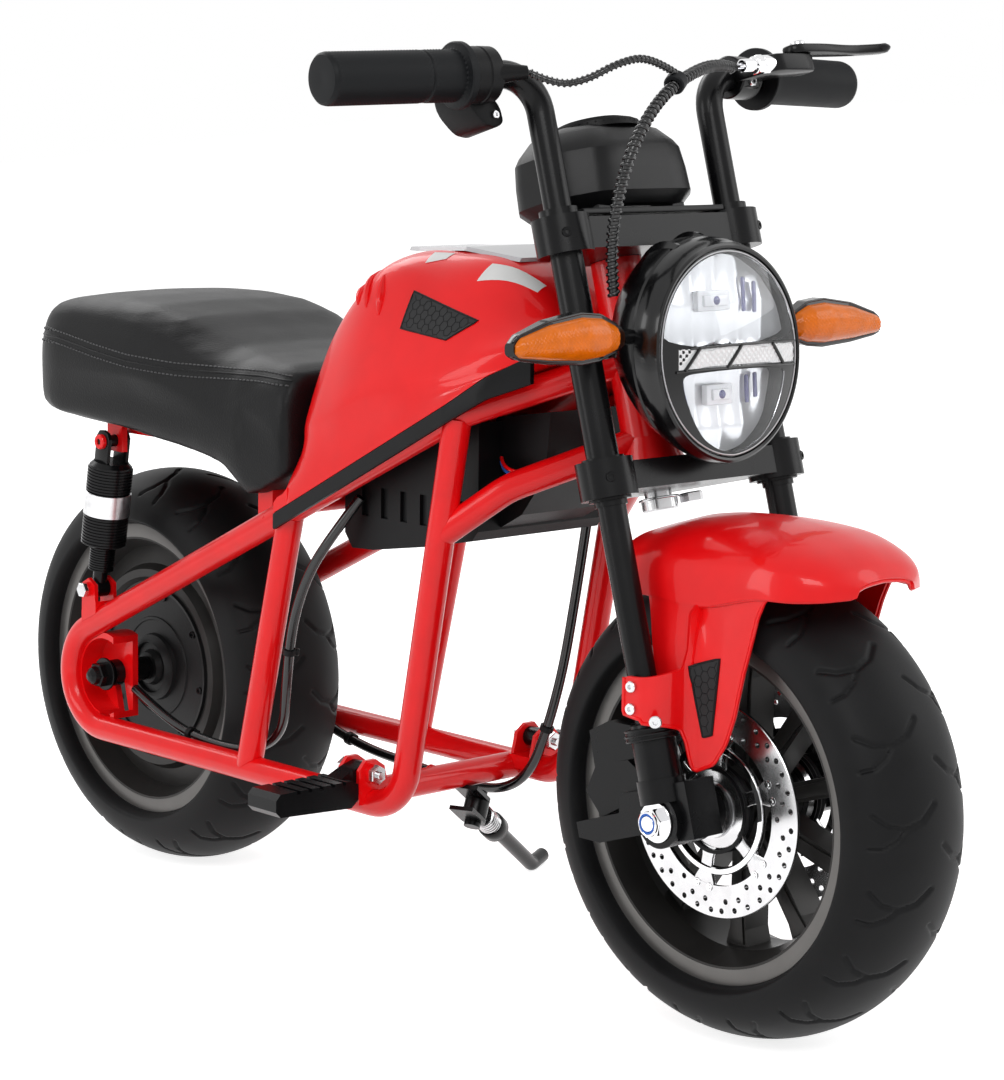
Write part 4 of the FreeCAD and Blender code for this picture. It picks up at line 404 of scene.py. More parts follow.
def hex_head(flat, height, chamfer=0.6):
    """A hexagon head with its corners turned down, standing on z = 0."""
    radius = flat / math.sqrt(3.0)
    vertices = []
    for size, z in ((radius, 0.0), (radius, height - chamfer), (radius - chamfer * 1.2, height)):
        for side in range(6):
            angle = math.radians(60 * side + 30)
            vertices.append((size * math.cos(angle), size * math.sin(angle), z))
    return vertices, quads(3, 6) + [tuple(range(12, 18)), tuple(range(6))[::-1]]


def cap_screw(radius, height, socket_radius=None):
    """A round head with a hexagon socket."""
    bore = socket_radius or radius * 0.5
    count = 24
    vertices, faces = [], []
    rings = [(radius, 0.0, False), (radius, height - radius * 0.15, False), (radius * 0.88, height, False),
             (bore, height, True), (bore, height * 0.45, True)]
    for size, z, hexagon in rings:
        for step in range(count):
            angle = 2 * math.pi * step / count
            reach = size
            if hexagon:
                local = (angle % (math.pi / 3)) - math.pi / 6
                reach = size * math.cos(math.pi / 6) / math.cos(local)
            vertices.append((reach * math.cos(angle), reach * math.sin(angle), z))
    for ring in range(len(rings) - 1):
        for step in range(count):
            following = (step + 1) % count
            a, b = ring * count, (ring + 1) * count
            faces.append((a + step, a + following, b + following, b + step))
    faces.append(tuple(range((len(rings) - 1) * count, len(rings) * count)))
    faces.append(tuple(range(count))[::-1])
    return vertices, faces


def washer(inner, outer, height):
    bevel = min(0.4, height / 3)
    return lathe([(inner, 0.0), (outer - bevel, 0.0), (outer, bevel), (outer, height - bevel),
                  (outer - bevel, height), (inner, height)], 40)


def rounded_box(length, width, height, radius=1.0, steps=2):
    """A block centred on the origin with rounded edges."""
    shape = bmesh.new()
    bmesh.ops.create_cube(shape, size=1.0)
    bmesh.ops.scale(shape, vec=(length, width, height), verts=shape.verts)
    bmesh.ops.bevel(shape, geom=list(shape.edges), offset=radius, segments=steps, profile=0.5, affect="EDGES")
    vertices = [v.co.copy() for v in shape.verts]
    for index, vertex in enumerate(shape.verts):
        vertex.index = index
    faces = [tuple(v.index for v in face.verts) for face in shape.faces]
    shape.free()
    return vertices, faces


def plate(outline, low, high, bevel=0.5):
    """A flat outline in (x, y), thickened from low to high with its edges broken."""
    shape = bmesh.new()
    base = [shape.verts.new((x, y, low)) for x, y in outline]
    face = shape.faces.new(base)
    made = bmesh.ops.extrude_face_region(shape, geom=[face])
    top = [item for item in made["geom"] if isinstance(item, bmesh.types.BMVert)]
    bmesh.ops.translate(shape, vec=(0, 0, high - low), verts=top)
    bmesh.ops.recalc_face_normals(shape, faces=shape.faces)
    if bevel:
        rims = [edge for edge in shape.edges
                if abs(edge.verts[0].co.z - edge.verts[1].co.z) < 1e-6]
        bmesh.ops.bevel(shape, geom=rims, offset=bevel, segments=2, profile=0.5, affect="EDGES")
    for index, vertex in enumerate(shape.verts):
        vertex.index = index
    vertices = [v.co.copy() for v in shape.verts]
    faces = [tuple(v.index for v in face.verts) for face in shape.faces]
    shape.free()
    return vertices, faces


def smooth_path(points, step=3.0):
    """Points along a smooth curve that passes near the route's corners."""
    data = bpy.data.curves.new("route", "CURVE")
    data.dimensions = "3D"
    spline = data.splines.new("NURBS")
    spline.points.add(len(points) - 1)
    for item, point in zip(spline.points, points):
        item.co = (*point, 1.0)
    spline.order_u = 3
    spline.use_endpoint_u = True
    spline.resolution_u = 24
    thing = linked("route", data)
    bpy.context.view_layer.update()
    mesh = bpy.data.meshes.new_from_object(thing)
    line = [vertex.co.copy() for vertex in mesh.vertices]
    bpy.data.objects.remove(thing)
    bpy.data.curves.remove(data)
    bpy.data.meshes.remove(mesh)
    return resample(line, step)


def resample(line, step):
    total = sum((b - a).length for a, b in zip(line, line[1:]))
    count = max(2, round(total / step))
    result, index, travelled = [line[0].copy()], 0, 0.0
    for part in range(1, count + 1):
        goal = total * part / count
        while index < len(line) - 2 and travelled + (line[index + 1] - line[index]).length < goal:
            travelled += (line[index + 1] - line[index]).length
            index += 1
        run = (line[index + 1] - line[index]).length
        share = (goal - travelled) / run if run > 1e-9 else 0.0
        result.append(line[index].lerp(line[index + 1], min(1.0, share)))
    return result


def smoothstep(low, high, value):
    share = min(1.0, max(0.0, (value - low) / (high - low)))
    return share * share * (3 - 2 * share)


# Tyres

def tyre_profile():
    """Outer section of the tyre, from one bead to the other, about 1.6 mm a step."""
    crown, shoulder, half, radius = 66.0, 29.0, 50.0, WHEEL_RADIUS
    shoulder_u = half - shoulder
    rise = math.sqrt((crown - shoulder) ** 2 - shoulder_u ** 2)
    centre_r = radius - crown
    shoulder_r = centre_r + rise
    split = math.atan2(shoulder_u, rise)
    points = []
    steps = 28
    for step in range(steps + 1):
        angle = split * step / steps
        points.append((centre_r + crown * math.cos(angle), crown * math.sin(angle)))
    steps = 22
    for step in range(1, steps + 1):
        angle = split + (math.pi / 2 - split) * step / steps
        points.append((shoulder_r + shoulder * math.cos(angle), shoulder_u + shoulder * math.sin(angle)))
    points += [(shoulder_r - 1.0, half - 0.6), (114.6, half - 2.6), (113.4, 45.5), (112.8, 42.0),
               (112.45, 38.8)]
    return [(r, -u) for r, u in reversed(points[1:])] + points


# Tread grooves of one side: points of (distance from the middle line, place round
# the tyre in millimetres), then width and depth
GROOVES = [
    ([(4.0, 0.0), (14.0, 9.0), (26.0, 13.0), (38.0, 10.0), (47.0, 2.0)], 1.6, 1.6),
    ([(26.0, 13.0), (32.0, 20.0), (41.0, 25.0), (50.0, 25.0)], 1.4, 1.4),
]


def make_tyre(name, matrix, body, node, way):
    profile = tyre_profile()
    middle = len(profile) // 2
    lengths = [0.0] * len(profile)
    for index in range(middle + 1, len(profile)):
        a, b = profile[index - 1], profile[index]
        lengths[index] = lengths[index - 1] + math.hypot(b[0] - a[0], b[1] - a[1])
    for index in range(middle - 1, -1, -1):
        lengths[index] = -lengths[2 * middle - index]
    count = 760
    pitch_count = 18
    pitch = 2 * math.pi * WHEEL_RADIUS / pitch_count

    def depth_at(across, round_mm):
        side = 1 if across >= 0 else -1
        across = abs(across)
        local = (round_mm * way + (0.0 if side > 0 else pitch / 2)) % pitch
        deepest = 0.0
        for shift in (-pitch, 0.0, pitch):
            for points, width, depth in GROOVES:
                for (u0, v0), (u1, v1) in zip(points, points[1:]):
                    v0s, v1s = v0 + shift + pitch / 2, v1 + shift + pitch / 2
                    if abs(local - (v0s + v1s) / 2) > 30:
                        continue
                    du, dv = u1 - u0, v1s - v0s
                    share = ((across - u0) * du + (local - v0s) * dv) / (du * du + dv * dv)
                    share = min(1.0, max(0.0, share))
                    away = math.hypot(across - u0 - du * share, local - v0s - dv * share)
                    if away < width * 1.3:
                        deepest = max(deepest, depth * (1.0 - smoothstep(width * 0.45, width * 1.3, away)))
        return deepest

    vertices = []
    inner = [(104.4, 34.2), (104.4, -34.2)]
    size = len(profile) + len(inner)
    for step in range(count):
        angle = 2 * math.pi * step / count
        cos_a, sin_a = math.cos(angle), math.sin(angle)
        for index, (radius, height) in enumerate(profile):
            if abs(lengths[index]) < 56:
                before = profile[max(0, index - 1)]
                after = profile[min(len(profile) - 1, index + 1)]
                out = Vector((after[1] - before[1], -(after[0] - before[0]))).normalized()
                depth = depth_at(lengths[index], angle * WHEEL_RADIUS)
                radius -= out[0] * depth
                height -= out[1] * depth
            vertices.append((radius * cos_a, radius * sin_a, height))
        for radius, height in inner:
            vertices.append((radius * cos_a, radius * sin_a, height))
    faces = quads(count, size, wrap=True)
    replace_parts(piece(name, vertices, faces, "tyre", body, matrix, smooth=50.0), node)


# Tables, outlines and surfaces

def smooth_row(table, place):
    """Values of a table at a place, on smooth curves through its rows."""
    rows = sorted(table)
    if place <= rows[0][0]:
        return list(rows[0][1:])
    if place >= rows[-1][0]:
        return list(rows[-1][1:])
    index = max(i for i in range(len(rows) - 1) if rows[i][0] <= place)
    a, b = rows[index], rows[index + 1]
    before = rows[index - 1] if index > 0 else a
    after = rows[index + 2] if index + 2 < len(rows) else b
    gap = b[0] - a[0]
    t = (place - a[0]) / gap
    values = []
    for k in range(1, len(a)):
        slope_a = (b[k] - before[k]) / (b[0] - before[0])
        slope_b = (after[k] - a[k]) / (after[0] - a[0])
        h00, h10 = 2 * t ** 3 - 3 * t ** 2 + 1, t ** 3 - 2 * t ** 2 + t
        h01, h11 = 3 * t ** 2 - 2 * t ** 3, t ** 3 - t ** 2
        values.append(h00 * a[k] + h10 * gap * slope_a + h01 * b[k] + h11 * gap * slope_b)
    return values


def line_at(table, place):
    """Value of a two-column table at a place, straight between its rows."""
    rows = sorted(table)
    if place <= rows[0][0]:
        return rows[0][1]
    for (p0, v0), (p1, v1) in zip(rows, rows[1:]):
        if place <= p1:
            return v0 + (v1 - v0) * (place - p0) / (p1 - p0)
    return rows[-1][1]


def columns_at(table, place, *columns):
    """Some columns of a table at a place, straight between its rows."""
    return [line_at([(row[0], row[k]) for row in table], place) for k in columns]


def rounded(points, cut=0.2, times=3, closed=False):
    """Cut the corners of a run of points again and again."""
    points = [Vector(p) for p in points]
    for _ in range(times):
        result = [] if closed else [points[0]]
        count = len(points) if closed else len(points) - 1
        for index in range(count):
            a, b = points[index], points[(index + 1) % len(points)]
            if closed or index > 0:
                result.append(a.lerp(b, cut))
            if closed or index < count - 1:
                result.append(a.lerp(b, 1 - cut))
        if not closed:
            result.append(points[-1])
        points = result
    return points


def rounded_flat(points, cut, times):
    """A closed outline in a plane with its corners cut."""
    return [(p.x, p.y) for p in rounded([(x, y, 0) for x, y in points], cut, times, True)]


def skin(sections):
    """Join rings of equal length into a closed surface."""
    size = len(sections[0])
    last = (len(sections) - 1) * size
    vertices = [Vector(p) for section in sections for p in section]
    ends = [tuple(range(size))[::-1], tuple(last + index for index in range(size))]
    return vertices, quads(len(sections), size) + ends


def both_sides(part):
    """A part and its mirror image."""
    vertices, faces = part
    other = [Vector((-v[0], v[1], v[2])) for v in vertices]
    return combine([part, (other, [tuple(reversed(face)) for face in faces])])


def shell_of(rows, thickness):
    """A thin solid from a grid of points, thickened against its normals."""
    height, width = len(rows), len(rows[0])
    outer, inner = [], []
    for j in range(height):
        for i in range(width):
            point = Vector(rows[j][i])
            du = Vector(rows[j][min(width - 1, i + 1)]) - Vector(rows[j][max(0, i - 1)])
            dv = Vector(rows[min(height - 1, j + 1)][i]) - Vector(rows[max(0, j - 1)][i])
            normal = du.cross(dv)
            normal = normal.normalized() if normal.length > 1e-9 else Vector((0, 0, 1))
            outer.append(point)
            inner.append(point - normal * thickness)
    vertices = outer + inner
    base = height * width
    faces = []
    for j in range(height - 1):
        for i in range(width - 1):
            a, b, c, d = j * width + i, j * width + i + 1, (j + 1) * width + i + 1, (j + 1) * width + i
            faces.append((a, b, c, d))
            faces.append((base + d, base + c, base + b, base + a))
    rim = list(range(width)) + [j * width + width - 1 for j in range(1, height)]
    rim += [(height - 1) * width + i for i in range(width - 2, -1, -1)]
    rim += [j * width for j in range(height - 2, 0, -1)]
    for a, b in zip(rim, rim[1:] + rim[:1]):
        faces.append((a, b, base + b, base + a))
    return vertices, faces


def tree_of(thing):
    """Search tree of a piece, in millimetres on the upright bike."""
    back = BIKE.inverted()
    vertices = [back @ v.co for v in thing.data.vertices]
    return BVHTree.FromPolygons(vertices, [tuple(p.vertices) for p in thing.data.polygons])


def met(tree, start, way, lift):
    """Point where a line meets a piece, lifted off it, and the normal there."""
    place, normal, _, _ = tree.ray_cast(start, way)
    if place is None:
        return None, None
    return place + normal * lift, normal


def on_side(tree, y, z, side, lift, slant=None):
    """Point on a piece's outer surface at (y, z), met from one side, or along a
    slanting line through that place at a distance from the middle plane."""
    start, way = Vector((side * 400.0, y, z)), Vector((-side, 0, 0))
    if slant:
        way = Vector((-side * 0.678, 0.719, -0.151)).normalized()
        start = Vector((side * slant, y, z)) - way * 200.0
    return met(tree, start, way, lift)


def on_top(tree, x, y, lift):
    return met(tree, Vector((x, y, 900.0)), Vector((0, 0, -1)), lift)


def quad_rows(corners, steps, found):
    """Surface points over a quad; found gives the point of a place in its plane."""
    rows = []
    for j in range(steps + 1):
        rows.append([])
        for i in range(steps + 1):
            a = Vector(corners[0]).lerp(Vector(corners[1]), i / steps)
            b = Vector(corners[3]).lerp(Vector(corners[2]), i / steps)
            place = a.lerp(b, j / steps)
            rows[-1].append(found(place[0], place[1])[0])
    return rows


def patch(tree, corners, side, lift, slant=None):
    """A thin quad laid over a surface; corners are (y, z) in turn."""
    rows = quad_rows(corners, 14, lambda y, z: on_side(tree, y, z, side, lift, slant))
    return shell_of([row[::-1] for row in rows] if side > 0 else rows, 0.4)


def edge_rib(tree, corners, side, slant=None):
    """A round rib on a surface along a quad's edge."""
    points = []
    for a, b in zip(corners, corners[1:] + corners[:1]):
        for k in range(8):
            p = Vector(a).lerp(Vector(b), k / 8)
            place, _ = on_side(tree, p[0], p[1], side, 0.3, slant)
            if place:
                points.append(place)
    return sweep(points, 0.8, 8, closed=True)


def honeycomb(start, size, columns, rows, way, odd, digits):
    """Edges of a hexagon mesh in the (y, z) plane."""
    edges = set()
    tall = size * math.sqrt(3.0)
    for column in columns:
        for row in rows:
            cy = start[0] + way * column * size * 1.5
            cz = start[1] + row * size * math.sqrt(3.0) + (tall / 2 if (column + odd) % 2 else 0.0)
            ring = []
            for k in range(6):
                angle = math.radians(60 * k)
                ring.append((round(cy + size * math.cos(angle), digits),
                             round(cz + size * math.sin(angle), digits)))
            for a, b in zip(ring, ring[1:] + ring[:1]):
                edges.add((min(a, b), max(a, b)))
    return sorted(edges)


def hex_ribs(tree, edges, corners, side, lift, radius, slant=None):
    """Ribs on a surface along the edges that lie inside a quad."""
    parts = []
    for a, b in edges:
        if within(a, corners) and within(b, corners):
            pa, _ = on_side(tree, a[0], a[1], side, lift, slant)
            pb, _ = on_side(tree, b[0], b[1], side, lift, slant)
            if pa and pb and (pa - pb).length < 8.0:
                parts.append(sweep([pa, pb], radius, 5))
    return parts


# Wheels

DISC_PLANE, DISC_HALF = 35.0, 1.5


def drilled_ring(inner, outer, low, high, holes):
    """A flat ring with round holes, cut by one boolean."""
    ring = solid("ring", *lathe([(inner, low), (outer - 0.5, low), (outer, low + 0.5), (outer, high - 0.5),
                                 (outer - 0.5, high), (inner, high)], 144))
    cutters, count = [], 14
    for radius, angle, size in holes:
        vertices = []
        for z in (low - 1.0, high + 1.0):
            for step in range(count):
                turn = 2 * math.pi * step / count
                vertices.append((radius * math.cos(angle) + size * math.cos(turn),
                                 radius * math.sin(angle) + size * math.sin(turn), z))
        ends = [tuple(range(count))[::-1], tuple(range(count, 2 * count))]
        cutters.append((vertices, quads(2, count) + ends))
    cutter = solid("cutters", *combine(cutters))
    modifier = ring.modifiers.new("holes", "BOOLEAN")
    modifier.operation = "DIFFERENCE"
    modifier.solver = "EXACT"
    modifier.object = cutter
    bake(ring)
    part = [v.co.copy() for v in ring.data.vertices], [tuple(p.vertices) for p in ring.data.polygons]
    for thing in (ring, cutter):
        bpy.data.objects.remove(thing)
    return part


def disc_holes():
    holes = []
    for arm in range(6):
        base = arm * math.pi / 3
        for radius, offset in ((65.0, 0.0), (65.0, 10.5), (65.0, 21.0), (65.0, 31.5), (65.0, 42.0),
                               (65.0, 52.0),
                               (59.0, 5.0), (59.0, 16.0), (59.0, 37.0), (59.0, 48.0), (53.5, 26.5)):
            holes.append((radius, base + math.radians(offset), 1.9))
    return holes


def make_disc(side):
    name = "left" if side > 0 else "right"
    plane = 35.0 * side
    low, high = plane - 1.5, plane + 1.5
    ring = drilled_ring(49.0, 69.8, low, high, disc_holes())
    parts = [ring]
    outside = plane + 1.5 * side
    arms, rivets = [], []
    for arm in range(6):
        angle = arm * 60.0 + 8.0
        turn = rotate(angle, "Z")
        outline = [(20.0, -7.5), (30.0, -4.2), (40.0, -4.5), (48.0, -8.5), (52.5, -8.0), (53.5, 0.0),
                   (52.5, 8.0),
                   (48.0, 8.5), (40.0, 4.5), (30.0, 4.2), (20.0, 7.5)]
        outline = [(p[0], p[1]) for p in rounded([(x, y, 0) for x, y in outline], 0.2, 1, True)]
        arms.append(placed(plate(outline, plane - 1.4, plane + 1.4, 0.4), turn))
        for offset in (-6.5, 6.5):
            point = turn @ Vector((50.5, offset * 0.82, outside))
            head = disc_of([(0.0, 1.1), (1.3, 1.1), (1.6, 0.6), (2.4, 0.6), (2.7, 0.0), (0.0, 0.0)], 20)
            flip = Matrix.Scale(side, 4, (0, 0, 1))
            rivets.append(placed(head, move(point) @ flip))
    dish = [(37.0, plane - 1.0 * side), (37.4, plane + 1.7 * side), (38.2, plane + 2.3 * side),
            (41.4, plane + 2.0 * side),
            (42.0, plane + 1.2 * side), (42.0, plane - 1.3 * side), (37.0, plane - 1.6 * side)]
    piece("disc_dish_" + name, *lathe(dish, 96), "chrome", "front_wheel", FRONT_WHEEL)
    hub = [(6.4, plane + 5.5 * side), (9.0, plane + 5.6 * side), (9.5, plane + 3.2 * side),
           (13.5, plane + 3.2 * side),
           (14.0, plane + 5.2 * side), (17.5, plane + 5.2 * side), (18.2, plane + 2.4 * side),
           (24.0, plane + 1.6 * side), (26.5, plane + 0.6 * side), (26.5, plane - 1.4 * side),
           (22.0, plane - 5.6 * side), (6.4, plane - 5.6 * side)]
    parts += arms
    thing = piece("disc_" + name, *combine(parts + [lathe(hub, 72)]), "polished", "front_wheel", FRONT_WHEEL)
    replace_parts(thing, "brake_disc_" + name)
    piece("disc_rivets_" + name, *combine(rivets), "chrome", "front_wheel", FRONT_WHEEL)
    # black bellows between the hub and the disc, and the bearing's dark seal
    profile = []
    for index in range(5):
        z = plane + side * (-5.0 + index * 2.0)
        profile += [(27.3 if index % 2 else 28.4, z)]
    bellows = [(26.0, profile[0][1])] + profile + [(26.0, profile[-1][1])]
    seal = lathe([(6.4, plane + 5.7 * side), (9.0, plane + 5.9 * side), (12.8, plane + 3.5 * side),
                  (12.8, plane + 3.0 * side), (6.4, plane + 3.0 * side)], 48)
    piece("disc_seal_" + name, *combine([seal, lathe(bellows, 72)]), "black_plastic", "front_wheel",
          FRONT_WHEEL)


def make_rim_trim(name, body, matrix):
    """Light flat lips and a valve on a rim."""
    parts = []
    for side in (-1, 1):
        parts.append(lathe([(101.6, side * 38.5), (111.8, side * 38.5), (111.8, side * 38.75),
                            (111.2, side * 38.9),
                            (102.2, side * 38.9), (101.6, side * 38.7)], 144))
    piece(name + "_lip", *combine(parts), "lip", body, matrix)
    valve = sweep([(96.0, 0.0, 15.0), (92.0, 0.0, 16.0), (87.5, 0.0, 17.0)], [2.9, 2.6, 2.4], 12)
    turn = rotate(200.0, "Z")
    piece(name + "_valve", *placed(valve, turn), "rubber", body, matrix)


def make_front_spokes():
    """Raised ribs on the spokes."""
    outline = [(24.0, -3.0), (70.0, -4.2), (88.0, -6.0), (91.5, -6.5), (91.5, 6.5), (88.0, 6.0), (70.0, 4.2),
               (24.0, 3.0)]
    parts = []
    for index in range(10):
        for low, high in ((-12.4, -10.8), (10.8, 12.4)):
            parts.append(placed(plate(outline, low, high, 0.6), rotate(36.0 * index, "Z")))
    piece("front_spoke_ribs", *combine(parts), "rim", "front_wheel", FRONT_WHEEL)


def make_motor_trim():
    """Ridges, bolts and the shaft's cap on the hub motor."""
    rings, bolts = [], []
    for side in (-1, 1):
        face = 27.0 * side
        rings.append(lathe([(60.0, face), (60.5, face + side * 1.6), (63.0, face + side * 2.2),
                            (63.4, face)], 120))
        rings.append(lathe([(36.0, face), (36.5, face + side * 0.9), (38.5, face + side * 0.9),
                            (39.0, face)], 96))
        rings.append(lathe([(19.2, face), (19.6, face + side * 7.0), (22.0, face + side * 4.0),
                            (25.0, face + side * 3.2),
                            (26.0, face)], 72))
        for index in range(8):
            angle = math.radians(45.0 * index + 11.0)
            point = Vector((56.0 * math.cos(angle), 56.0 * math.sin(angle), face))
            matrix = move(point) @ Matrix.Scale(side, 4, (0, 0, 1))
            bolts.append(placed(cap_screw(2.8, 1.8), matrix))
    piece("motor_rings", *combine(rings), "motor", "rear_wheel", REAR_WHEEL)
    piece("motor_bolts", *combine(bolts), "black_satin", "rear_wheel", REAR_WHEEL)


# Tank, skirts and the things on them

RAIL_SLOPE = math.radians(25.8)
HOOP_END, HOOP_RADIUS = 291.0, 40.0


def rail_height(y):
    """Height of the frame's top rail."""
    touch_y = HOOP_END + HOOP_RADIUS * math.sin(RAIL_SLOPE)
    touch_z = WHEEL_RADIUS + HOOP_RADIUS * math.cos(RAIL_SLOPE)
    return touch_z + (touch_y - y) * math.tan(RAIL_SLOPE)


# Rows along the bike: half widths, and heights above the rail, of the tank's low
# edge, belly, crease and top
TANK = [(60.0, 80.0, 76.0, 53.9, 54.0, 93.9, 28.0, 103.9), (44.0, 88.0, 88.0, 54.2, 66.0, 108.2, 32.0, 126.2),
        (18.0, 92.0, 93.0, 51.6, 70.0, 123.6, 36.0, 141.6), (-12.0, 93.0, 95.0, 51.1, 68.0, 133.1, 40.0,
                                                             144.1),
        (-60.0, 92.0, 94.0, 41.9, 66.0, 104.9, 42.0, 123.9), (-110.0, 86.0, 88.0, 29.7, 62.0, 69.7, 40.0,
                                                              94.7),
        (-146.0, 74.0, 76.0, 26.3, 54.0, 40.3, 34.0, 58.3), (-162.0, 60.0, 61.0, 22.6, 46.0, 30.6, 28.0,
                                                             36.6)]
# The skirt's step inwards, and its reach below and above the rail
SKIRT = [(72.0, 0.0, 10.5, 0.5), (40.0, 0.0, 9.5, 1.5), (-104.0, 0.0, 5.0, 6.5), (-134.0, 7.0, 2.0, 12.0),
         (-152.0, 18.0, 3.0, 14.0), (-160.0, 24.0, 3.0, 15.0)]
OUTER = 94.1


def tank_ring(y, shrink=1.0, lift=0.0):
    low_x, belly_x, belly, crease_x, crease, top_x, top = smooth_row(TANK, y)
    step, above = columns_at(SKIRT, y, 1, 3)
    rail = rail_height(y)
    outer = OUTER - step
    low_x = min(low_x, outer)
    hip = min(belly_x, 94.5)
    half = [(outer - 2.6, rail + 11.4), (outer - 2.6, rail + above + 0.6), (outer, rail + above + 0.6),
            (max(low_x, outer - 0.6), rail + 13.0), (hip, rail + belly - 14.0), (belly_x, rail + belly),
            (belly_x + (crease_x - belly_x) * 0.5, rail + belly + (crease - belly) * 0.56),
            (crease_x, rail + crease), (crease_x + (top_x - crease_x) * 0.5,
                                        rail + crease + (top - crease) * 0.62),
            (top_x, rail + top - 0.6), (top_x * 0.5, rail + top + 0.8)]
    side = [Vector((x, 0, z)) for x, z in half]
    curved = side[:3] + rounded(side[3:] + [Vector((0, 0, rail + top + 1.0))], 0.22, 3)[:-1]
    ring = [Vector((p.x, y, p.z)) for p in curved] + [Vector((0, y, rail + top + 1.0))]
    ring += [Vector((-p.x, y, p.z)) for p in reversed(curved)]
    middle = Vector((0, y, rail + belly))
    return [middle + (p - middle) * shrink + Vector((0, lift, 0)) for p in ring]


def make_tank():
    sections = [tank_ring(59.6, 0.972, 0.9), tank_ring(58.6, 0.987, 1.2)]
    y = 57.0
    while y > -160.0:
        sections.append(tank_ring(y))
        y -= 4.0
    sections += [tank_ring(-160.5), tank_ring(-161.5, 0.97), tank_ring(-162.0, 0.9)]
    tank = piece("tank_shell", *skin(sections), "red_plastic", "frame", smooth=60.0)
    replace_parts(tank, "tank")
    # rear feet of the flaps, behind the tank
    feet = []
    for y in (57.0, 62.0, 68.0, 72.0):
        rail = rail_height(y)
        above = columns_at(SKIRT, y, 3)[0] + 0.6
        high = 13.0 if y < 60 else 10.6 if y < 70 else 8.0
        feet.append([Vector((-OUTER + 0.05, y, rail + above)), Vector((-OUTER + 2.6, y, rail + above)),
                     Vector((-OUTER + 2.6, y, rail + high)), Vector((-OUTER + 0.05, y, rail + high))])
    piece("tank_feet", *both_sides(skin(feet)), "red_plastic", "frame", smooth=30.0)
    return tank


GRILLE = [(-48.0, 464.0), (-110.0, 448.5), (-91.0, 435.5), (-47.0, 440.0)]
LOUVRES = (((20.0, 474.0), (7.0, 452.0)), ((4.0, 476.0), (-5.0, 451.0)), ((-14.0, 473.0), (-21.0, 447.0)))
LABELS = ([(-57.0, -94.0), (-45.0, -96.0), (-34.0, -136.0), (-42.0, -136.0)],
          [(-57.0, -43.0), (-44.0, -38.0), (-42.0, -56.0), (-50.0, -56.0)])


def make_tank_trim(tank):
    tree = tree_of(tank)
    grilles, ribs, louvres, inside = [], [], [], {}
    for a, b in honeycomb((-44.0, 432.0), 3.4, range(-2, 30), range(-2, 26), -1, 0, 2):
        if within(a, GRILLE) and within(b, GRILLE):
            inside.setdefault((round(a[0]), round(a[1]), round(b[0]), round(b[1])), (a, b))
    for side in (-1, 1):
        grilles.append(patch(tree, GRILLE, side, 0.25))
        ribs += hex_ribs(tree, inside.values(), GRILLE, side, 0.5, 0.38)
        ribs.append(edge_rib(tree, GRILLE, side))
        # three louvres on the shoulder
        for top, low in LOUVRES:
            points = []
            for k in range(9):
                p = Vector(top).lerp(Vector(low), k / 8)
                place, _ = on_side(tree, p[0], p[1], side, 0.1)
                if place:
                    points.append(place)
            last = len(points) - 1
            radii = [0.7 + 2.3 * math.sin(math.pi * k / last) for k in range(last + 1)]
            louvres.append(sweep(points, radii, 8))
    piece("tank_grilles", *combine(grilles), "grille", "frame")
    piece("tank_grille_mesh", *combine(ribs), "black_plastic", "frame")
    piece("tank_louvres", *combine(louvres), "red_plastic", "frame")
    # blank labels on the rider's right of the top
    white = [shell_of(quad_rows(corners, 8, lambda x, y: on_top(tree, x, y, 0.2)),
                      0.15) for corners in LABELS]
    piece("blank_labels", *combine(white), "label", "frame", smooth=20.0)


def within(point, corners):
    """Whether a point lies in a convex outline."""
    signs = []
    for a, b in zip(corners, corners[1:] + corners[:1]):
        signs.append((b[0] - a[0]) * (point[1] - a[1]) - (b[1] - a[1]) * (point[0] - a[0]))
    return all(value >= 0 for value in signs) or all(value <= 0 for value in signs)


def make_skirts():
    sections = []
    y = 72.0
    while y >= -160.0:
        step, below, above = columns_at(SKIRT, y, 1, 2, 3)
        rail = rail_height(y)
        x = OUTER - step
        ring = [(-x + 0.3, rail - below), (-x + 3.0, rail - below), (-x + 3.0, rail + above),
                (-x - 0.1, rail + above), (-x - 0.4, rail + above - 1.0), (-x - 0.4, rail - below + 1.2)]
        sections.append([Vector((px, y, pz)) for px, pz in ring])
        y -= 4.0
    piece("skirts", *both_sides(skin(sections)), "black_plastic", "frame", smooth=30.0)


# Seat

SEAT_TOP = [(61, 402), (90, 404), (120, 406), (150, 410), (181, 419), (204, 427), (240, 434.5), (277, 437.5),
            (320, 437.5), (350, 434), (368, 428), (380, 418), (386, 404)]
SEAT_LOW = [(61, 331), (72, 325), (95, 314), (108, 311), (118, 320), (134, 330), (165, 336), (255, 345),
            (330, 349),
            (360, 354), (376, 363), (386, 376)]


def seat_half(y):
    """Half width of the seat; its tail is round in plan."""
    wide = 95.5 if y > 110 else 95.5 - 3.0 * (110 - y) / 50
    if y > 326:
        share = min(1.0, (y - 326) / 60.2)
        return wide - 58.0 * (1 - math.sqrt(max(0.0, 1 - share ** 2.4)))
    return wide


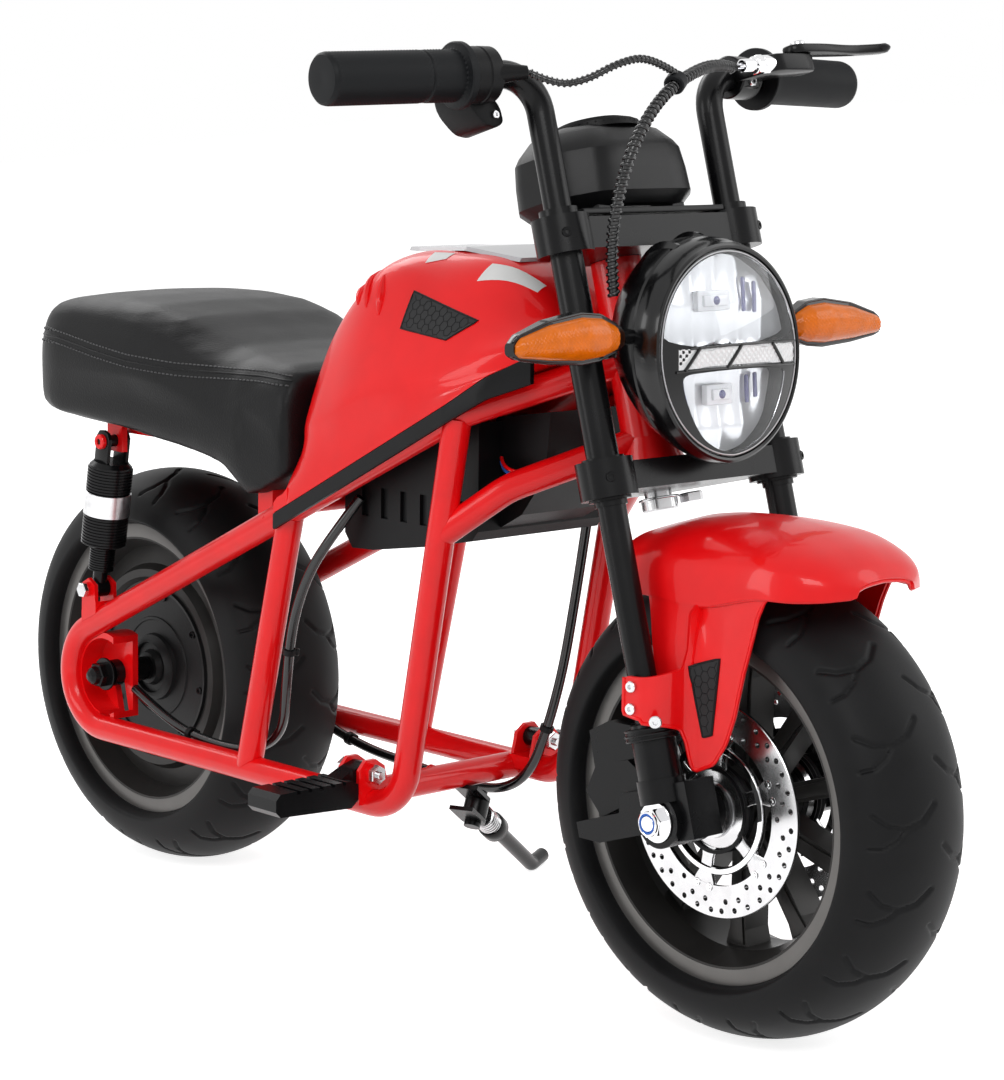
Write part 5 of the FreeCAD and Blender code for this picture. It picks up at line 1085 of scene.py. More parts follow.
def seat_ring(y):
    top = line_at(SEAT_TOP, y)
    low = line_at(SEAT_LOW, y)
    wide = seat_half(y)
    round_top = 20.0 if y > 120 else 15.0
    half = [(0.0, low), (wide - 10.0, low), (wide - 1.5, low + 2.0), (wide, low + 12.0),
            (wide + 0.6, (low + top) / 2),
            (wide - 1.0, top - round_top - 4.0), (wide - 7.0, top - 7.0), (wide - round_top - 2.0, top - 1.5),
            (wide * 0.55, top), (0.0, top + 0.8)]
    curved = rounded([(x, 0, z) for x, z in half], 0.25, 3)
    ring = [Vector((p.x, y, p.z)) for p in curved]
    return ring + [Vector((-p.x, y, p.z)) for p in reversed(ring[1:-1])]


SEAT_VOXEL, SEAT_SWELL, DRIFT_PASSES = 0.005, 0.003, 14
CLOTH_FRAMES, CLOTH_PRESSURE = 20, 4.0


def make_seat():
    places = [61.6, 63.5, 67.0] + [70.0 + 5.0 * k for k in range(63)] + [383.0, 385.0, 386.0]
    sections = []
    for y in places:
        ring = seat_ring(y)
        if y < 67.0:
            middle = Vector((0, y, (line_at(SEAT_TOP, y) + line_at(SEAT_LOW, y)) / 2))
            shrink = {61.6: 0.94, 63.5: 0.98}[y]
            ring = [middle + (p - middle) * shrink for p in ring]
        sections.append(ring)
    vertices, faces = skin(sections)
    mesh = bpy.data.meshes.new("seat_cover")
    mesh.from_pydata([BIKE @ v for v in vertices], [], faces)
    shape = bmesh.new()
    shape.from_mesh(mesh)
    bmesh.ops.recalc_face_normals(shape, faces=shape.faces)
    shape.to_mesh(mesh)
    shape.free()
    thing = linked("seat_cover", mesh)
    remesh = thing.modifiers.new("remesh", "REMESH")
    remesh.mode = "VOXEL"
    remesh.voxel_size = SEAT_VOXEL
    bake(thing)
    rest = [v.co.copy() for v in thing.data.vertices]
    swollen = rest
    cloth = thing.modifiers.new("cloth", "CLOTH")
    cloth.settings.quality = 5
    cloth.settings.mass = 0.3
    cloth.settings.tension_stiffness = 30
    cloth.settings.compression_stiffness = 30
    cloth.settings.shear_stiffness = 12
    cloth.settings.bending_stiffness = 8
    cloth.settings.use_pressure = True
    cloth.settings.uniform_pressure_force = CLOTH_PRESSURE
    cloth.settings.effector_weights.gravity = 0.0
    cloth.point_cache.frame_start = 1
    cloth.point_cache.frame_end = CLOTH_FRAMES
    scene = SCENE
    for step in range(1, CLOTH_FRAMES + 1):
        scene.frame_set(step)
    evaluated = thing.evaluated_get(bpy.context.evaluated_depsgraph_get())
    swollen = [v.co.copy() for v in evaluated.data.vertices]
    thing.modifiers.clear()
    scene.frame_set(1)
    # even out the swelling, so that no small creases stay
    drifts = [new - old for old, new in zip(rest, swollen)]
    near = [[] for _ in rest]
    for edge in thing.data.edges:
        a, b = edge.vertices
        near[a].append(b)
        near[b].append(a)
    for _ in range(DRIFT_PASSES):
        drifts = [(drifts[i] + sum((drifts[j] for j in near[i]), Vector())) / (1 + len(near[i]))
                  for i in range(len(drifts))]
    back = BIKE.inverted()
    for vertex, old, drift in zip(thing.data.vertices, rest, drifts):
        if drift.length > SEAT_SWELL:
            drift = drift.normalized() * SEAT_SWELL
        local = back @ old
        hold = smoothstep(350.0, 380.0, local.z) if local.y > 112 else smoothstep(335.0, 370.0, local.z)
        hold *= smoothstep(61.0, 80.0, local.y)
        vertex.co = old + drift * hold
    divide = thing.modifiers.new("divide", "SUBSURF")
    divide.levels = 1
    bake(thing)
    thing.data.materials.clear()
    thing.data.materials.append(M["vinyl"])
    thing.data.polygons.foreach_set("use_smooth", [True] * len(thing.data.polygons))
    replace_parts(thing, "seat")
    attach(thing, "frame")
    return thing


def bake(thing):
    """Turn a piece's modifiers into its mesh."""
    bpy.context.view_layer.update()
    evaluated = thing.evaluated_get(bpy.context.evaluated_depsgraph_get())
    made = bpy.data.meshes.new_from_object(evaluated)
    thing.modifiers.clear()
    thing.data = made


SEAM = [(386.0, 402.0), (381.0, 407.0), (372.0, 411.0), (350.0, 410.0), (323.0, 407.0), (300.0, 404.0),
        (281.0, 401.4),
        (239.0, 396.8), (184.0, 394.4), (137.0, 395.5), (99.0, 396.5), (80.0, 396.0), (66.0, 395.5)]


def stitch_rows(tree, points, length):
    """Stitches on both sides of a seam of (place, normal) points."""
    stitches = []
    for (pa, na), (pb, _) in zip(points, points[1:]):
        way = (pb - pa).normalized()
        up = na.cross(way).normalized()
        for offset in (-4.5, 4.5):
            a, b = pa + up * offset + way * 0.7, pa + up * offset + way * length
            ca, cb = tree.find_nearest(a)[0], tree.find_nearest(b)[0]
            stitches.append(sweep([ca + na * 0.05, (ca + cb) / 2 + na * 0.55, cb + na * 0.05], 0.55, 5))
    return stitches


def make_seams(seat):
    tree = tree_of(seat)
    lines, stitches = [], []
    for side in (-1, 1):
        places = resample([Vector((0, y, z)) for y, z in SEAM[3:]], 4.0)
        found = [on_side(tree, place.y, place.z, side, -0.1) for place in places]
        points = [(place, normal) for place, normal in found if place]
        lines.append(sweep([place for place, _ in points], 0.75, 8))
        stitches += stitch_rows(tree, points, 3.2)
    # round the tail
    points = []
    for k in range(49):
        angle = math.pi * k / 48
        way = Vector((-math.cos(angle), math.sin(angle), 0))
        place, normal = met(tree, Vector((0, 326.0, 407.5)) + way * 200.0, -way, -0.1)
        if place:
            points.append((place, normal))
    lines.append(sweep([place for place, _ in points], 0.75, 8))
    stitches += stitch_rows(tree, points, 3.4)
    piece("seat_seam", *combine(lines), "vinyl", "frame")
    piece("seat_stitches", *combine(stitches), "thread", "frame")


# Headlight

def arc_through(a, b, c, count):
    """Points on the circle through three points, from the first to the last."""
    ax, az = a
    bx, bz = b
    cx, cz = c
    d = 2 * (ax * (bz - cz) + bx * (cz - az) + cx * (az - bz))
    sa, sb, sc = ax * ax + az * az, bx * bx + bz * bz, cx * cx + cz * cz
    ux = (sa * (bz - cz) + sb * (cz - az) + sc * (az - bz)) / d
    uz = (sa * (cx - bx) + sb * (ax - cx) + sc * (bx - ax)) / d
    radius = math.hypot(ax - ux, az - uz)
    turn = 2 * math.pi
    start = math.atan2(az - uz, ax - ux)
    middle = (math.atan2(bz - uz, bx - ux) - start) % turn
    end = (math.atan2(cz - uz, cx - ux) - start) % turn
    span = end if middle < end else end - turn
    return [(ux + radius * math.cos(start + span * k / count),
             uz + radius * math.sin(start + span * k / count))
            for k in range(count + 1)]


def egg(half, top, bottom):
    """Outline of the lamp: a round top over a narrower, rounded foot."""
    count = 22
    knee = 8.0 + (bottom - 8.0) * 0.62
    points = arc_through((-half, 8.0), (0.0, top), (half, 8.0), count * 2)[:-1]
    points += arc_through((half, 8.0), (half * 0.82, knee), (0.0, bottom), count)[:-1]
    points += arc_through((0.0, bottom), (-half * 0.82, knee), (-half, 8.0), count)[:-1]
    return points


def lens_front(x, z):
    reach = min(1.0, (x / 63.0) ** 2 + ((z + 0.5) / 66.0) ** 2)
    return -4.5 - 8.6 * (1 - reach)


def filled(outlines, step):
    """Triangles inside the first outline; each says which other outlines hold it."""
    points, rings = [], []
    for outline in outlines:
        area = sum(a[0] * b[1] - b[0] * a[1] for a, b in zip(outline, outline[1:] + outline[:1]))
        outline = outline if area > 0 else outline[::-1]
        start = len(points)
        points += [Vector(p) for p in outline]
        rings.append(list(range(start, len(points))))
    low_x, high_x = min(p.x for p in points), max(p.x for p in points)
    low_z, high_z = min(p.y for p in points), max(p.y for p in points)
    row = 0
    z = low_z + step * 0.5
    while z < high_z:
        x = low_x + step * (0.5 if row % 2 else 1.0)
        while x < high_x:
            points.append(Vector((x, z)))
            x += step
        z += step * 0.87
        row += 1
    verts, _, faces, _, _, origins = geometry.delaunay_2d_cdt(points, [], rings, 1, 1e-5, True)
    return verts, [(tuple(face), set(origin)) for face, origin in zip(faces, origins)]


def region(verts, faces, wanted, height, thickness):
    """A thin solid over the triangles whose outlines pass a test."""
    chosen = [face for face, origin in faces if wanted(origin)]
    used = sorted({index for face in chosen for index in face})
    place = {index: k for k, index in enumerate(used)}
    front, back = [], []
    for index in used:
        x, z = verts[index]
        y = height(x, z)
        front.append((x, y, z))
        back.append((x, y + thickness, z))
    count = len(used)
    result, sides = [], {}
    for face in chosen:
        local = [place[index] for index in face]
        result.append(tuple(local))
        result.append(tuple(count + index for index in reversed(local)))
        for a, b in zip(local, local[1:] + local[:1]):
            key = (min(a, b), max(a, b))
            sides[key] = None if key in sides else (a, b)
    for pair in sides.values():
        if pair:
            a, b = pair
            result.append((b, a, count + a, count + b))
    return front + back, result


def make_headlight():
    shell_rows = [(-4.0, 66.0, 69.0, -70.0), (6.0, 69.0, 73.0, -70.0), (26.0, 67.0, 74.0, -56.0),
                  (44.0, 56.0, 66.0, -34.0), (56.0, 40.0, 50.0, -16.0)]
    sections = []
    for y, size in ((9.0, 0.0), (9.0, 1.0), (-3.0, 1.0)):
        inner = egg(62.6 * max(size, 0.02), 65.1 * max(size, 0.02),
                    -66.1 * max(size, 0.02)) if size < 1 else \
            egg(62.6, 65.1, -66.1)
        sections.append([(x, y, z) for x, z in inner])
    for y, half, top, bottom in ((-5.4, 63.2, 65.8, -66.8), (-5.9, 64.6, 67.3, -68.3),
                                 (-5.0, 66.0, 69.0, -69.8)):
        sections.append([(x, y, z) for x, z in egg(half, top, bottom)])
    y = -3.0
    while y < 57.0:
        half, top, bottom = smooth_row(shell_rows, min(56.0, y))
        if 11.0 < y < 14.0:
            half, top, bottom = half - 1.3, top - 1.3, bottom + 1.3
        sections.append([(x, min(56.0, y), z) for x, z in egg(half, top, bottom)])
        y += 1.0 if 8.0 < y < 17.0 else 3.0
    sections.append([(x, 56.5, z) for x, z in egg(36.0, 46.0, -12.0)])
    shell = piece("lamp_shell", *skin(sections), "black_gloss", "steering", LAMP, 32.0)
    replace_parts(shell, "headlight_shell")
    # fins over the bucket and the round arms that hold it
    parts = []
    for x, start, end, rise in ((-26.0, 10.0, 50.0, 4.0), (0.0, 14.0, 54.0, 5.0), (26.0, 10.0, 50.0, 4.0)):
        ridge = []
        for k in range(11):
            y = start + (end - start) * k / 10
            half, top, bottom = smooth_row(shell_rows, y)
            z = 8.0 + (top - 8.0) * math.sqrt(max(0.0, 1 - (x / half) ** 2)) - 1.5
            up = rise * math.sin(math.pi * min(1.0, k / 10 + 0.05)) ** 0.6
            ridge.append([Vector((x - 5.0, y, z - 1.0)), Vector((x - 1.6, y, z + up)),
                          Vector((x + 1.6, y, z + up)),
                          Vector((x + 5.0, y, z - 1.0))])
        parts.append(skin(ridge))
    for side in (-1, 1):
        arm = lathe([(0.5, 40.0), (7.0, 40.0), (7.0, 55.0), (9.0, 56.0), (9.0, 60.0), (7.0, 61.0),
                     (7.0, 64.5),
                     (0.5, 64.5)], 32)
        matrix = move((0.0, 46.0, 8.0)) @ rotate(90.0 * side, "Y")
        parts.append(placed(arm, matrix))
    piece("lamp_fins", *combine(parts), "black_gloss", "steering", LAMP, 30.0)

    outer = egg(62.3, 64.8, -65.8)
    upper_edge = [(-66.0, 14.5), (-55.0, 8.8), (-41.0, 5.6), (-26.0, 4.6), (0.0, 5.6), (26.0, 4.6),
                  (41.0, 5.6),
                  (55.0, 8.8), (66.0, 14.5)]
    above = [(x, z) for x, z in egg(60.2, 62.6, -63.6) if z > line_at(upper_edge, x) + 0.2]
    high = sorted(above, key=lambda p: math.atan2(p[1] - 25.0, p[0]) % (2 * math.pi), reverse=True)
    start = min(range(len(high)), key=lambda k: high[k][0] - 0.001 * high[k][1])
    arc = [p for p in egg(60.2, 62.6, -63.6) if p in above]
    left = [p for p in arc if p[0] < 0]
    right = [p for p in arc if p[0] >= 0]
    left.sort(key=lambda p: p[0] + 0.2 * p[1])
    right.sort(key=lambda p: p[0] - 0.2 * p[1])
    edge_back = [(x, line_at(upper_edge, x)) for x in (56.0, 48.0, 38.0, 26.0, 13.0, 0.0, -13.0, -26.0,
                                                       -38.0, -48.0,
                                                       -56.0)]
    upper = left + right + edge_back
    lower = [(-47.5, -12.0), (-45.6, -24.0), (-38.6, -40.0), (-28.5, -53.0), (-14.0, -61.0), (0.0, -63.4),
             (14.0, -61.0), (28.5, -53.0), (38.6, -40.0), (45.6, -24.0), (47.5, -12.0), (24.0, -10.8), (0.0,
                                                                                                        -10.4),
             (-24.0, -10.8)]
    lower = rounded_flat(lower, 0.2, 2)
    band = [(-50.0, -8.7), (-38.5, 2.6), (0.0, 3.8), (38.5, 2.6), (58.0, 4.6), (59.5, -3.0), (57.0, -8.9),
            (0.0, -7.6)]
    verts, faces = filled([outer, upper, lower, band], 3.2)
    frame_part = region(verts, faces, lambda origin: origin == {0}, lambda x, z: lens_front(x, z) - 0.2, 2.4)
    piece("lamp_frame", *frame_part, "black_gloss", "steering", LAMP, 30.0)
    names = []
    for name, key in (("lamp_lens_upper", 1), ("lamp_lens_lower", 2)):
        part = region(verts, faces, lambda origin: key in origin, lambda x, z: lens_front(x, z) - 0.7, 1.5)
        lens = piece(name, *part, "glass", "steering", LAMP, 60.0)
        names.append(lens)
    for lens in names:
        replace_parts(lens, "headlight_lens")

    def flutes(x, z):
        return 3.0 + 1.3 * abs(math.sin(math.pi * (x + 3.0) / 21.0)) + 1.6 * abs(math.sin(math.pi * (z + 8.0) / 39.0))

    fine, fine_faces = filled([outer, upper, lower], 2.0)
    reflector = region(fine, fine_faces, lambda origin: 0 in origin and len(origin) > 1, flutes, 1.0)
    piece("lamp_reflectors", *reflector, "mirror", "steering", LAMP, 25.0)
    band_verts, band_faces = filled([band], 1.1)

    def diamonds(x, z):
        cut = abs(((x + z) / 4.6) % 1.0 - 0.5) + abs(((x - z) / 4.6) % 1.0 - 0.5)
        return lens_front(x, z) + 0.3 - 1.1 * cut

    piece("lamp_band", *region(band_verts, band_faces, lambda origin: True, diamonds, 2.0), "lit",
          "steering", LAMP,
          20.0)
    bars = []
    for a, b in (((2.2, 4.8), (-11.5, -9.2)), ((33.5, 4.4), (45.5, -9.2)), ((-33.5, 4.4), (-45.5, -9.2))):
        line = []
        for k in range(7):
            x, z = a[0] + (b[0] - a[0]) * k / 6, a[1] + (b[1] - a[1]) * k / 6
            line.append((x, lens_front(x, z) - 0.6, z))
        bars.append(sweep(line, 1.2, 8))
    for a, b in (((-52.0, -10.0), (60.0, -10.2)), ((-41.0, 4.2), (61.0, 4.4))):
        line = []
        for k in range(25):
            x = a[0] + (b[0] - a[0]) * k / 24
            z = a[1] + (b[1] - a[1]) * k / 24 + 0.8 * math.sin(math.pi * k / 24)
            line.append((x, lens_front(x, z) - 0.4, z))
        bars.append(sweep(line, 0.9, 8))
    piece("lamp_bars", *combine(bars), "black_gloss", "steering", LAMP)
    boxes, dots = [], []
    for x, z, wide in ((-8.0, 33.0, 30.0), (-6.0, -26.0, 24.0)):
        block = rounded_box(wide, 5.0, 13.0, 1.2, 2)
        boxes.append(placed(block, move((x, 2.0, z))))
        inner = rounded_box(wide - 8.0, 3.0, 7.0, 0.8, 2)
        boxes.append(placed(inner, move((x, -1.0, z))))
        dot = disc_of([(0.0, 1.6), (1.8, 1.4), (2.8, 0.4), (2.8, 0.0), (0.0, 0.0)], 24)
        dots.append(placed(dot, move((x, -2.4, z)) @ rotate(90.0, "X")))
    for x, z, tall in ((22.0, 36.0, 22.0), (32.0, 34.0, 20.0), (22.0, -24.0, 18.0), (30.0, -22.0, 16.0)):
        dots.append(placed(rounded_box(3.0, 2.0, tall, 0.9, 2), move((x, 2.4, z))))
    piece("lamp_blocks", *combine(boxes), "lit", "steering", LAMP, 30.0)
    piece("lamp_leds", *combine(dots), "led", "steering", LAMP, 30.0)
    rim = egg(61.4, 63.8, -64.8)
    piece("lamp_rim", *sweep([(x, lens_front(x, z) - 0.4, z) for x, z in rim], 0.45, 8, closed=True),
          "grey_plastic",
          "steering", LAMP, slot="clear_lens")


# Turn signals

SIGNAL = [(58.0, 5.0, 5.0, 0.0), (76.0, 5.0, 5.0, 0.0), (80.0, 8.0, 8.0, 0.0), (96.0, 14.5, 12.0, 1.0),
          (112.0, 16.0, 13.0, 1.0), (140.0, 13.0, 11.0, 0.0), (164.0, 7.5, 8.0, -2.0), (170.0, 4.0, 5.0,
                                                                                        -3.0)]
SIGNAL_Y, SIGNAL_Z = -246.2, 447.9


def make_signals():
    backs, lenses = [], []
    back_rings, lens_rings = [], []
    x = 58.0
    while x <= 170.0:
        tall, deep, lift = columns_at(SIGNAL, x, 1, 2, 3)
        z = SIGNAL_Z + lift
        if x < 82:
            ring = [(deep * math.cos(2 * math.pi * k / 12),
                     tall * math.sin(2 * math.pi * k / 12)) for k in range(12)]
        else:
            ring = [(-1.5, tall), (deep * 0.6, tall), (deep * 0.9, tall * 0.72), (deep, tall * 0.3),
                    (deep, -tall * 0.3), (deep * 0.9, -tall * 0.72), (deep * 0.6, -tall), (-1.5, -tall),
                    (-2.4, -tall * 0.9), (-2.4, -tall * 0.4), (-2.4, tall * 0.4), (-2.4, tall * 0.9)]
        if x < 82:
            ring = ring[3:0:-1] + ring[0:1] + ring[:2:-1][:8]
        back_rings.append([Vector((-x, SIGNAL_Y + u, z + v)) for u, v in ring])
        x += 2.0
    x = 81.5
    while x <= 168.5:
        tall, deep, lift = columns_at(SIGNAL, x, 1, 2, 3)
        z = SIGNAL_Z + lift
        end = min(1.0, (x - 80.5) / 5.0, (169.5 - x) / 4.0)
        tall, deep = tall * 0.84 * (0.75 + 0.25 * end), deep * (0.55 + 0.45 * end)
        ring = []
        count = 34
        for k in range(count + 1):
            v = math.cos(math.pi * k / count)
            u = -deep * (1 - abs(v) ** 2.6) ** 0.5
            cut = abs(((x + v * tall) / 3.0) % 1.0 - 0.5) + abs(((x - v * tall) / 3.0) % 1.0 - 0.5)
            inside = smoothstep(0.0, 0.25, 1 - abs(v))
            ring.append(Vector((-x, SIGNAL_Y + min(-1.7, u + 0.75 * cut * inside), z + v * tall)))
        ring.append(Vector((-x, SIGNAL_Y - 1.2, z - tall * 0.6)))
        ring.append(Vector((-x, SIGNAL_Y - 1.2, z + tall * 0.6)))
        lens_rings.append(ring)
        x += 0.75
    backs.append(skin(back_rings))
    lenses.append(skin(lens_rings))
    edge = []
    for sign in (1, -1):
        line = []
        x = 82.0
        while x <= 169.0:
            tall, deep, lift = columns_at(SIGNAL, x, 1, 2, 3)
            line.append((-x, SIGNAL_Y - 1.6, SIGNAL_Z + lift + sign * tall * 0.97))
            x += 3.0
        edge.append(sweep(line, 0.8, 8))
    backs += edge
    for side, name in ((1, "right"), (-1, "left")):
        flip = Matrix.Scale(side, 4, (1, 0, 0))
        back = piece("signal_back_" + name, *placed(combine(backs), flip), "black_gloss", "steering", BIKE,
                     34.0)
        lens = piece("signal_lens_" + name, *placed(combine(lenses), flip), "amber", "steering", BIKE, 20.0)
        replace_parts(back, "turn_signals")
        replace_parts(lens, "turn_signals")


# Fender

FENDER = [(69.5, 168.5, 56.0, 34.0), (35.5, 178.0, 60.0, 43.0), (-8.5, 182.8, 61.0, 49.0),
          (-52.5, 180.0, 60.0, 36.0),
          (-76.0, 173.0, 55.0, 28.0), (-91.0, 164.5, 44.0, 18.5), (-102.0, 154.5, 25.0, 7.0)]
WALL_SIDE = [(-76.0, 156.0), (-66.0, 151.0), (-58.0, 143.0), (-52.5, 131.0), (-48.5, 117.0), (-42.5, 96.0),
             (-36.5, 68.0), (-30.5, 50.0), (-22.0, 36.5), (-8.0, 29.5),
             (1.0, 30.0), (7.0, 58.0), (8.5, 64.0), (21.5, 66.0)]
WALL_TOP = [(-76.0, 157.0), (-52.5, 159.0), (4.0, 158.0), (8.0, 112.0), (12.0, 93.0), (21.5, 89.0)]
WRAP_TOP = [(-97.0, 90.0), (-86.0, 93.0), (-72.5, 95.0), (-69.5, 108.0), (-67.5, 146.0), (-66.0, 158.0),
            (-54.0, 160.0)]
WRAP_LOW = [(-97.0, 62.0), (-86.0, 61.0), (-74.0, 58.0), (-70.0, 50.0), (-66.5, 33.0), (-61.0, 20.0)]
WALL_PLAN = [(-55.5, -76.0), (-58.0, -52.5), (-61.0, -20.5), (-66.0, -5.5), (-86.0, -3.5), (-96.0, 7.5),
             (-97.0, 22.0)]


def make_fender():
    rows = []
    lag = 69.5
    while lag > -102.2:
        rise, half, drop = smooth_row(FENDER, max(lag, -102.0))
        side = [(half, -drop), (half * 0.985, -drop * 0.66), (half * 0.92, -drop * 0.38),
                (half * 0.62, -drop * 0.1),
                (0.0, 0.4)]
        curve = rounded([(-x, 0, z) for x, z in side], 0.25, 3)
        curve = curve + [Vector((-p.x, 0, p.z)) for p in reversed(curve[:-1])]
        rows.append([Vector((p.x, FRONT_AXLE.y + lag, FRONT_AXLE.z + rise + p.z)) for p in curve])
        lag -= 3.0 if lag > -84.0 else 1.5
    shell = shell_of(rows, 2.7)
    # rolled edge all round the shell
    border = [row[0] for row in rows] + rows[-1][1:-1] + [row[-1] for row in reversed(rows)]
    edge = sweep(resample(border, 4.0), 1.3, 8)
    fender = piece("fender_shell", *combine([shell, edge]), "red_plastic", "steering", BIKE, 40.0)
    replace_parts(fender, "front_fender")
    plan = [Vector((x, lag, 0)) for x, lag in WALL_PLAN]
    plan = [plan[0]] + rounded(plan, 0.25, 3)[1:-1] + [plan[-1]]
    plan = resample(plan, 1.6)
    grid = []
    steps = 30
    for p in plan:
        low = max(line_at(WALL_SIDE, p.y), line_at(WRAP_LOW, p.x))
        rise, half, drop = smooth_row(FENDER, p.y)
        crown_edge = rise - drop
        high = min(line_at(WALL_TOP, p.y), line_at(WRAP_TOP, p.x), crown_edge + 5.0)
        low = min(low, high - 2.0)
        column = []
        for k in range(steps + 1):
            z = low + (high - low) * k / steps
            x = p.x
            lift = smoothstep(crown_edge - 42.0, crown_edge + 1.0, z)
            edge_x = -half + 0.6
            if p.x > -68.0:
                x = p.x + (edge_x - p.x) * lift
            column.append(Vector((x, FRONT_AXLE.y + p.y, FRONT_AXLE.z + z)))
        grid.append(column)
    wall = shell_of(grid, 2.7)
    # the web that carries the wall back to the fork tube
    web = []
    for k in range(25):
        z = 84.0 + 60.0 * k / 24
        column = []
        for step in range(13):
            lag = -8.0 + (29.0 + 0.30 * (z - 84.0)) * step / 12
            rise, half, drop = smooth_row(FENDER, lag)
            lift = smoothstep(rise - drop - 42.0, rise - drop + 1.0, z)
            column.append(Vector((-65.6 + (65.6 - half + 0.6) * lift, FRONT_AXLE.y + lag, FRONT_AXLE.z + z)))
        web.append(column)
    web = shell_of(web, 2.4)
    outline = [column[0] for column in grid] + [grid[-1][k] for k in range(1, steps + 1)]
    rim = sweep(resample(outline, 3.0), 1.25, 8)
    for side, name in ((1, "right"), (-1, "left")):
        flip = Matrix.Scale(side, 4, (1, 0, 0))
        piece("fender_wall_" + name, *placed(combine([wall, web, rim]), flip), "red_plastic", "steering",
              BIKE, 40.0)
        thing = bpy.data.objects["fender_wall_" + name]
        tree = tree_of(thing)
        corners = [(-296.5, 246.9), (-323.2, 255.3), (-318.1, 206.8), (-310.6, 204.3)]
        reach = -side
        insert = patch(tree, corners, reach, 0.35, slant=62.0)
        if insert:
            piece("fender_insert_" + name, *insert, "grille", "steering")
        mesh = honeycomb((-323.2, 204.3), 4.0, range(-1, 6), range(-1, 9), 1, 1, 1)
        mesh_parts = hex_ribs(tree, mesh, corners, reach, 0.6, 0.4, 62.0)
        mesh_parts.append(edge_rib(tree, corners, reach, 62.0))
        if mesh_parts:
            piece("fender_mesh_" + name, *combine(mesh_parts), "black_plastic", "steering")
        screws = []
        for y, z in ((-282.0, 222.0), (-282.0, 236.0)):
            place, normal = on_side(tree, y, z, reach, 0.1)
            if place:
                screws.append(placed(cap_screw(3.6, 2.4, 1.7), move(place) @ along(normal)))
        place = Vector((-95.6 * side, -302.0, 217.0))
        screws.append(placed(cap_screw(4.0, 2.6, 1.8), move(place) @ along((-0.8 * side, -0.6, 0.0))))
        piece("fender_screws_" + name, *combine(screws), "steel", "steering")
    # blank round boss on the crown
    boss = disc_of([(0.0, 1.4), (9.5, 1.3), (11.0, 0.2), (11.0, -1.5), (0.0, -1.5)], 40)
    rise, half, drop = smooth_row(FENDER, -46.0)
    matrix = move((0.0, FRONT_AXLE.y - 46.0, FRONT_AXLE.z + rise + 0.3)) @ rotate(5.0, "X")
    piece("fender_boss", *placed(boss, matrix), "red_plastic", "steering")


# Handlebar, grips and controls, drawn in the fork's frame

BAR_Z = 475.0
BAR_START, BAR_TIP = Vector((78.0, 0.0, BAR_Z)), Vector((237.5, 18.0, BAR_Z))


def make_grips():
    for side, name in ((-1, "right"), (1, "left")):
        flip = Matrix.Scale(side, 4, (1, 0, 0))
        way = (BAR_TIP - BAR_START).normalized()
        inner = BAR_TIP - way * 104.0
        count = 132
        rows = [(9.4, 0.3, 0), (20.4, 0.3, 0), (21.0, 0.9, 0), (21.0, 4.6, 0), (20.2, 5.6, 0), (16.9, 6.2, 0)]
        height = 6.6
        while height < 99.6:
            smooth = side < 0 and (28.0 < height < 34.0)
            plain = 16.2 if smooth else 16.0
            if side < 0 and 30.2 < height < 31.8:
                plain = 15.3
            rows.append((plain, height, 0 if smooth else 1))
            height += 1.1
        rows += [(16.3, 100.2, 0), (15.9, 102.0, 0), (14.4, 103.5, 0), (11.0, 103.9, 0), (4.0, 103.5, 0),
                 (0.01, 103.4, 0)]
        vertices = []
        for index, (radius, z, knurl) in enumerate(rows):
            for step in range(count):
                lift = 0.42 if knurl and (step // 2 + index) % 2 == 0 else 0.0
                angle = 2 * math.pi * step / count
                vertices.append(((radius + lift) * math.cos(angle), (radius + lift) * math.sin(angle), z))
        part = placed((vertices, quads(len(rows), count)), move(inner) @ along(way))
        grip = piece("knurled_grip_" + name, *placed(part, flip), "rubber", "steering", FORK, 35.0)
        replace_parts(grip, "grip_" + name)


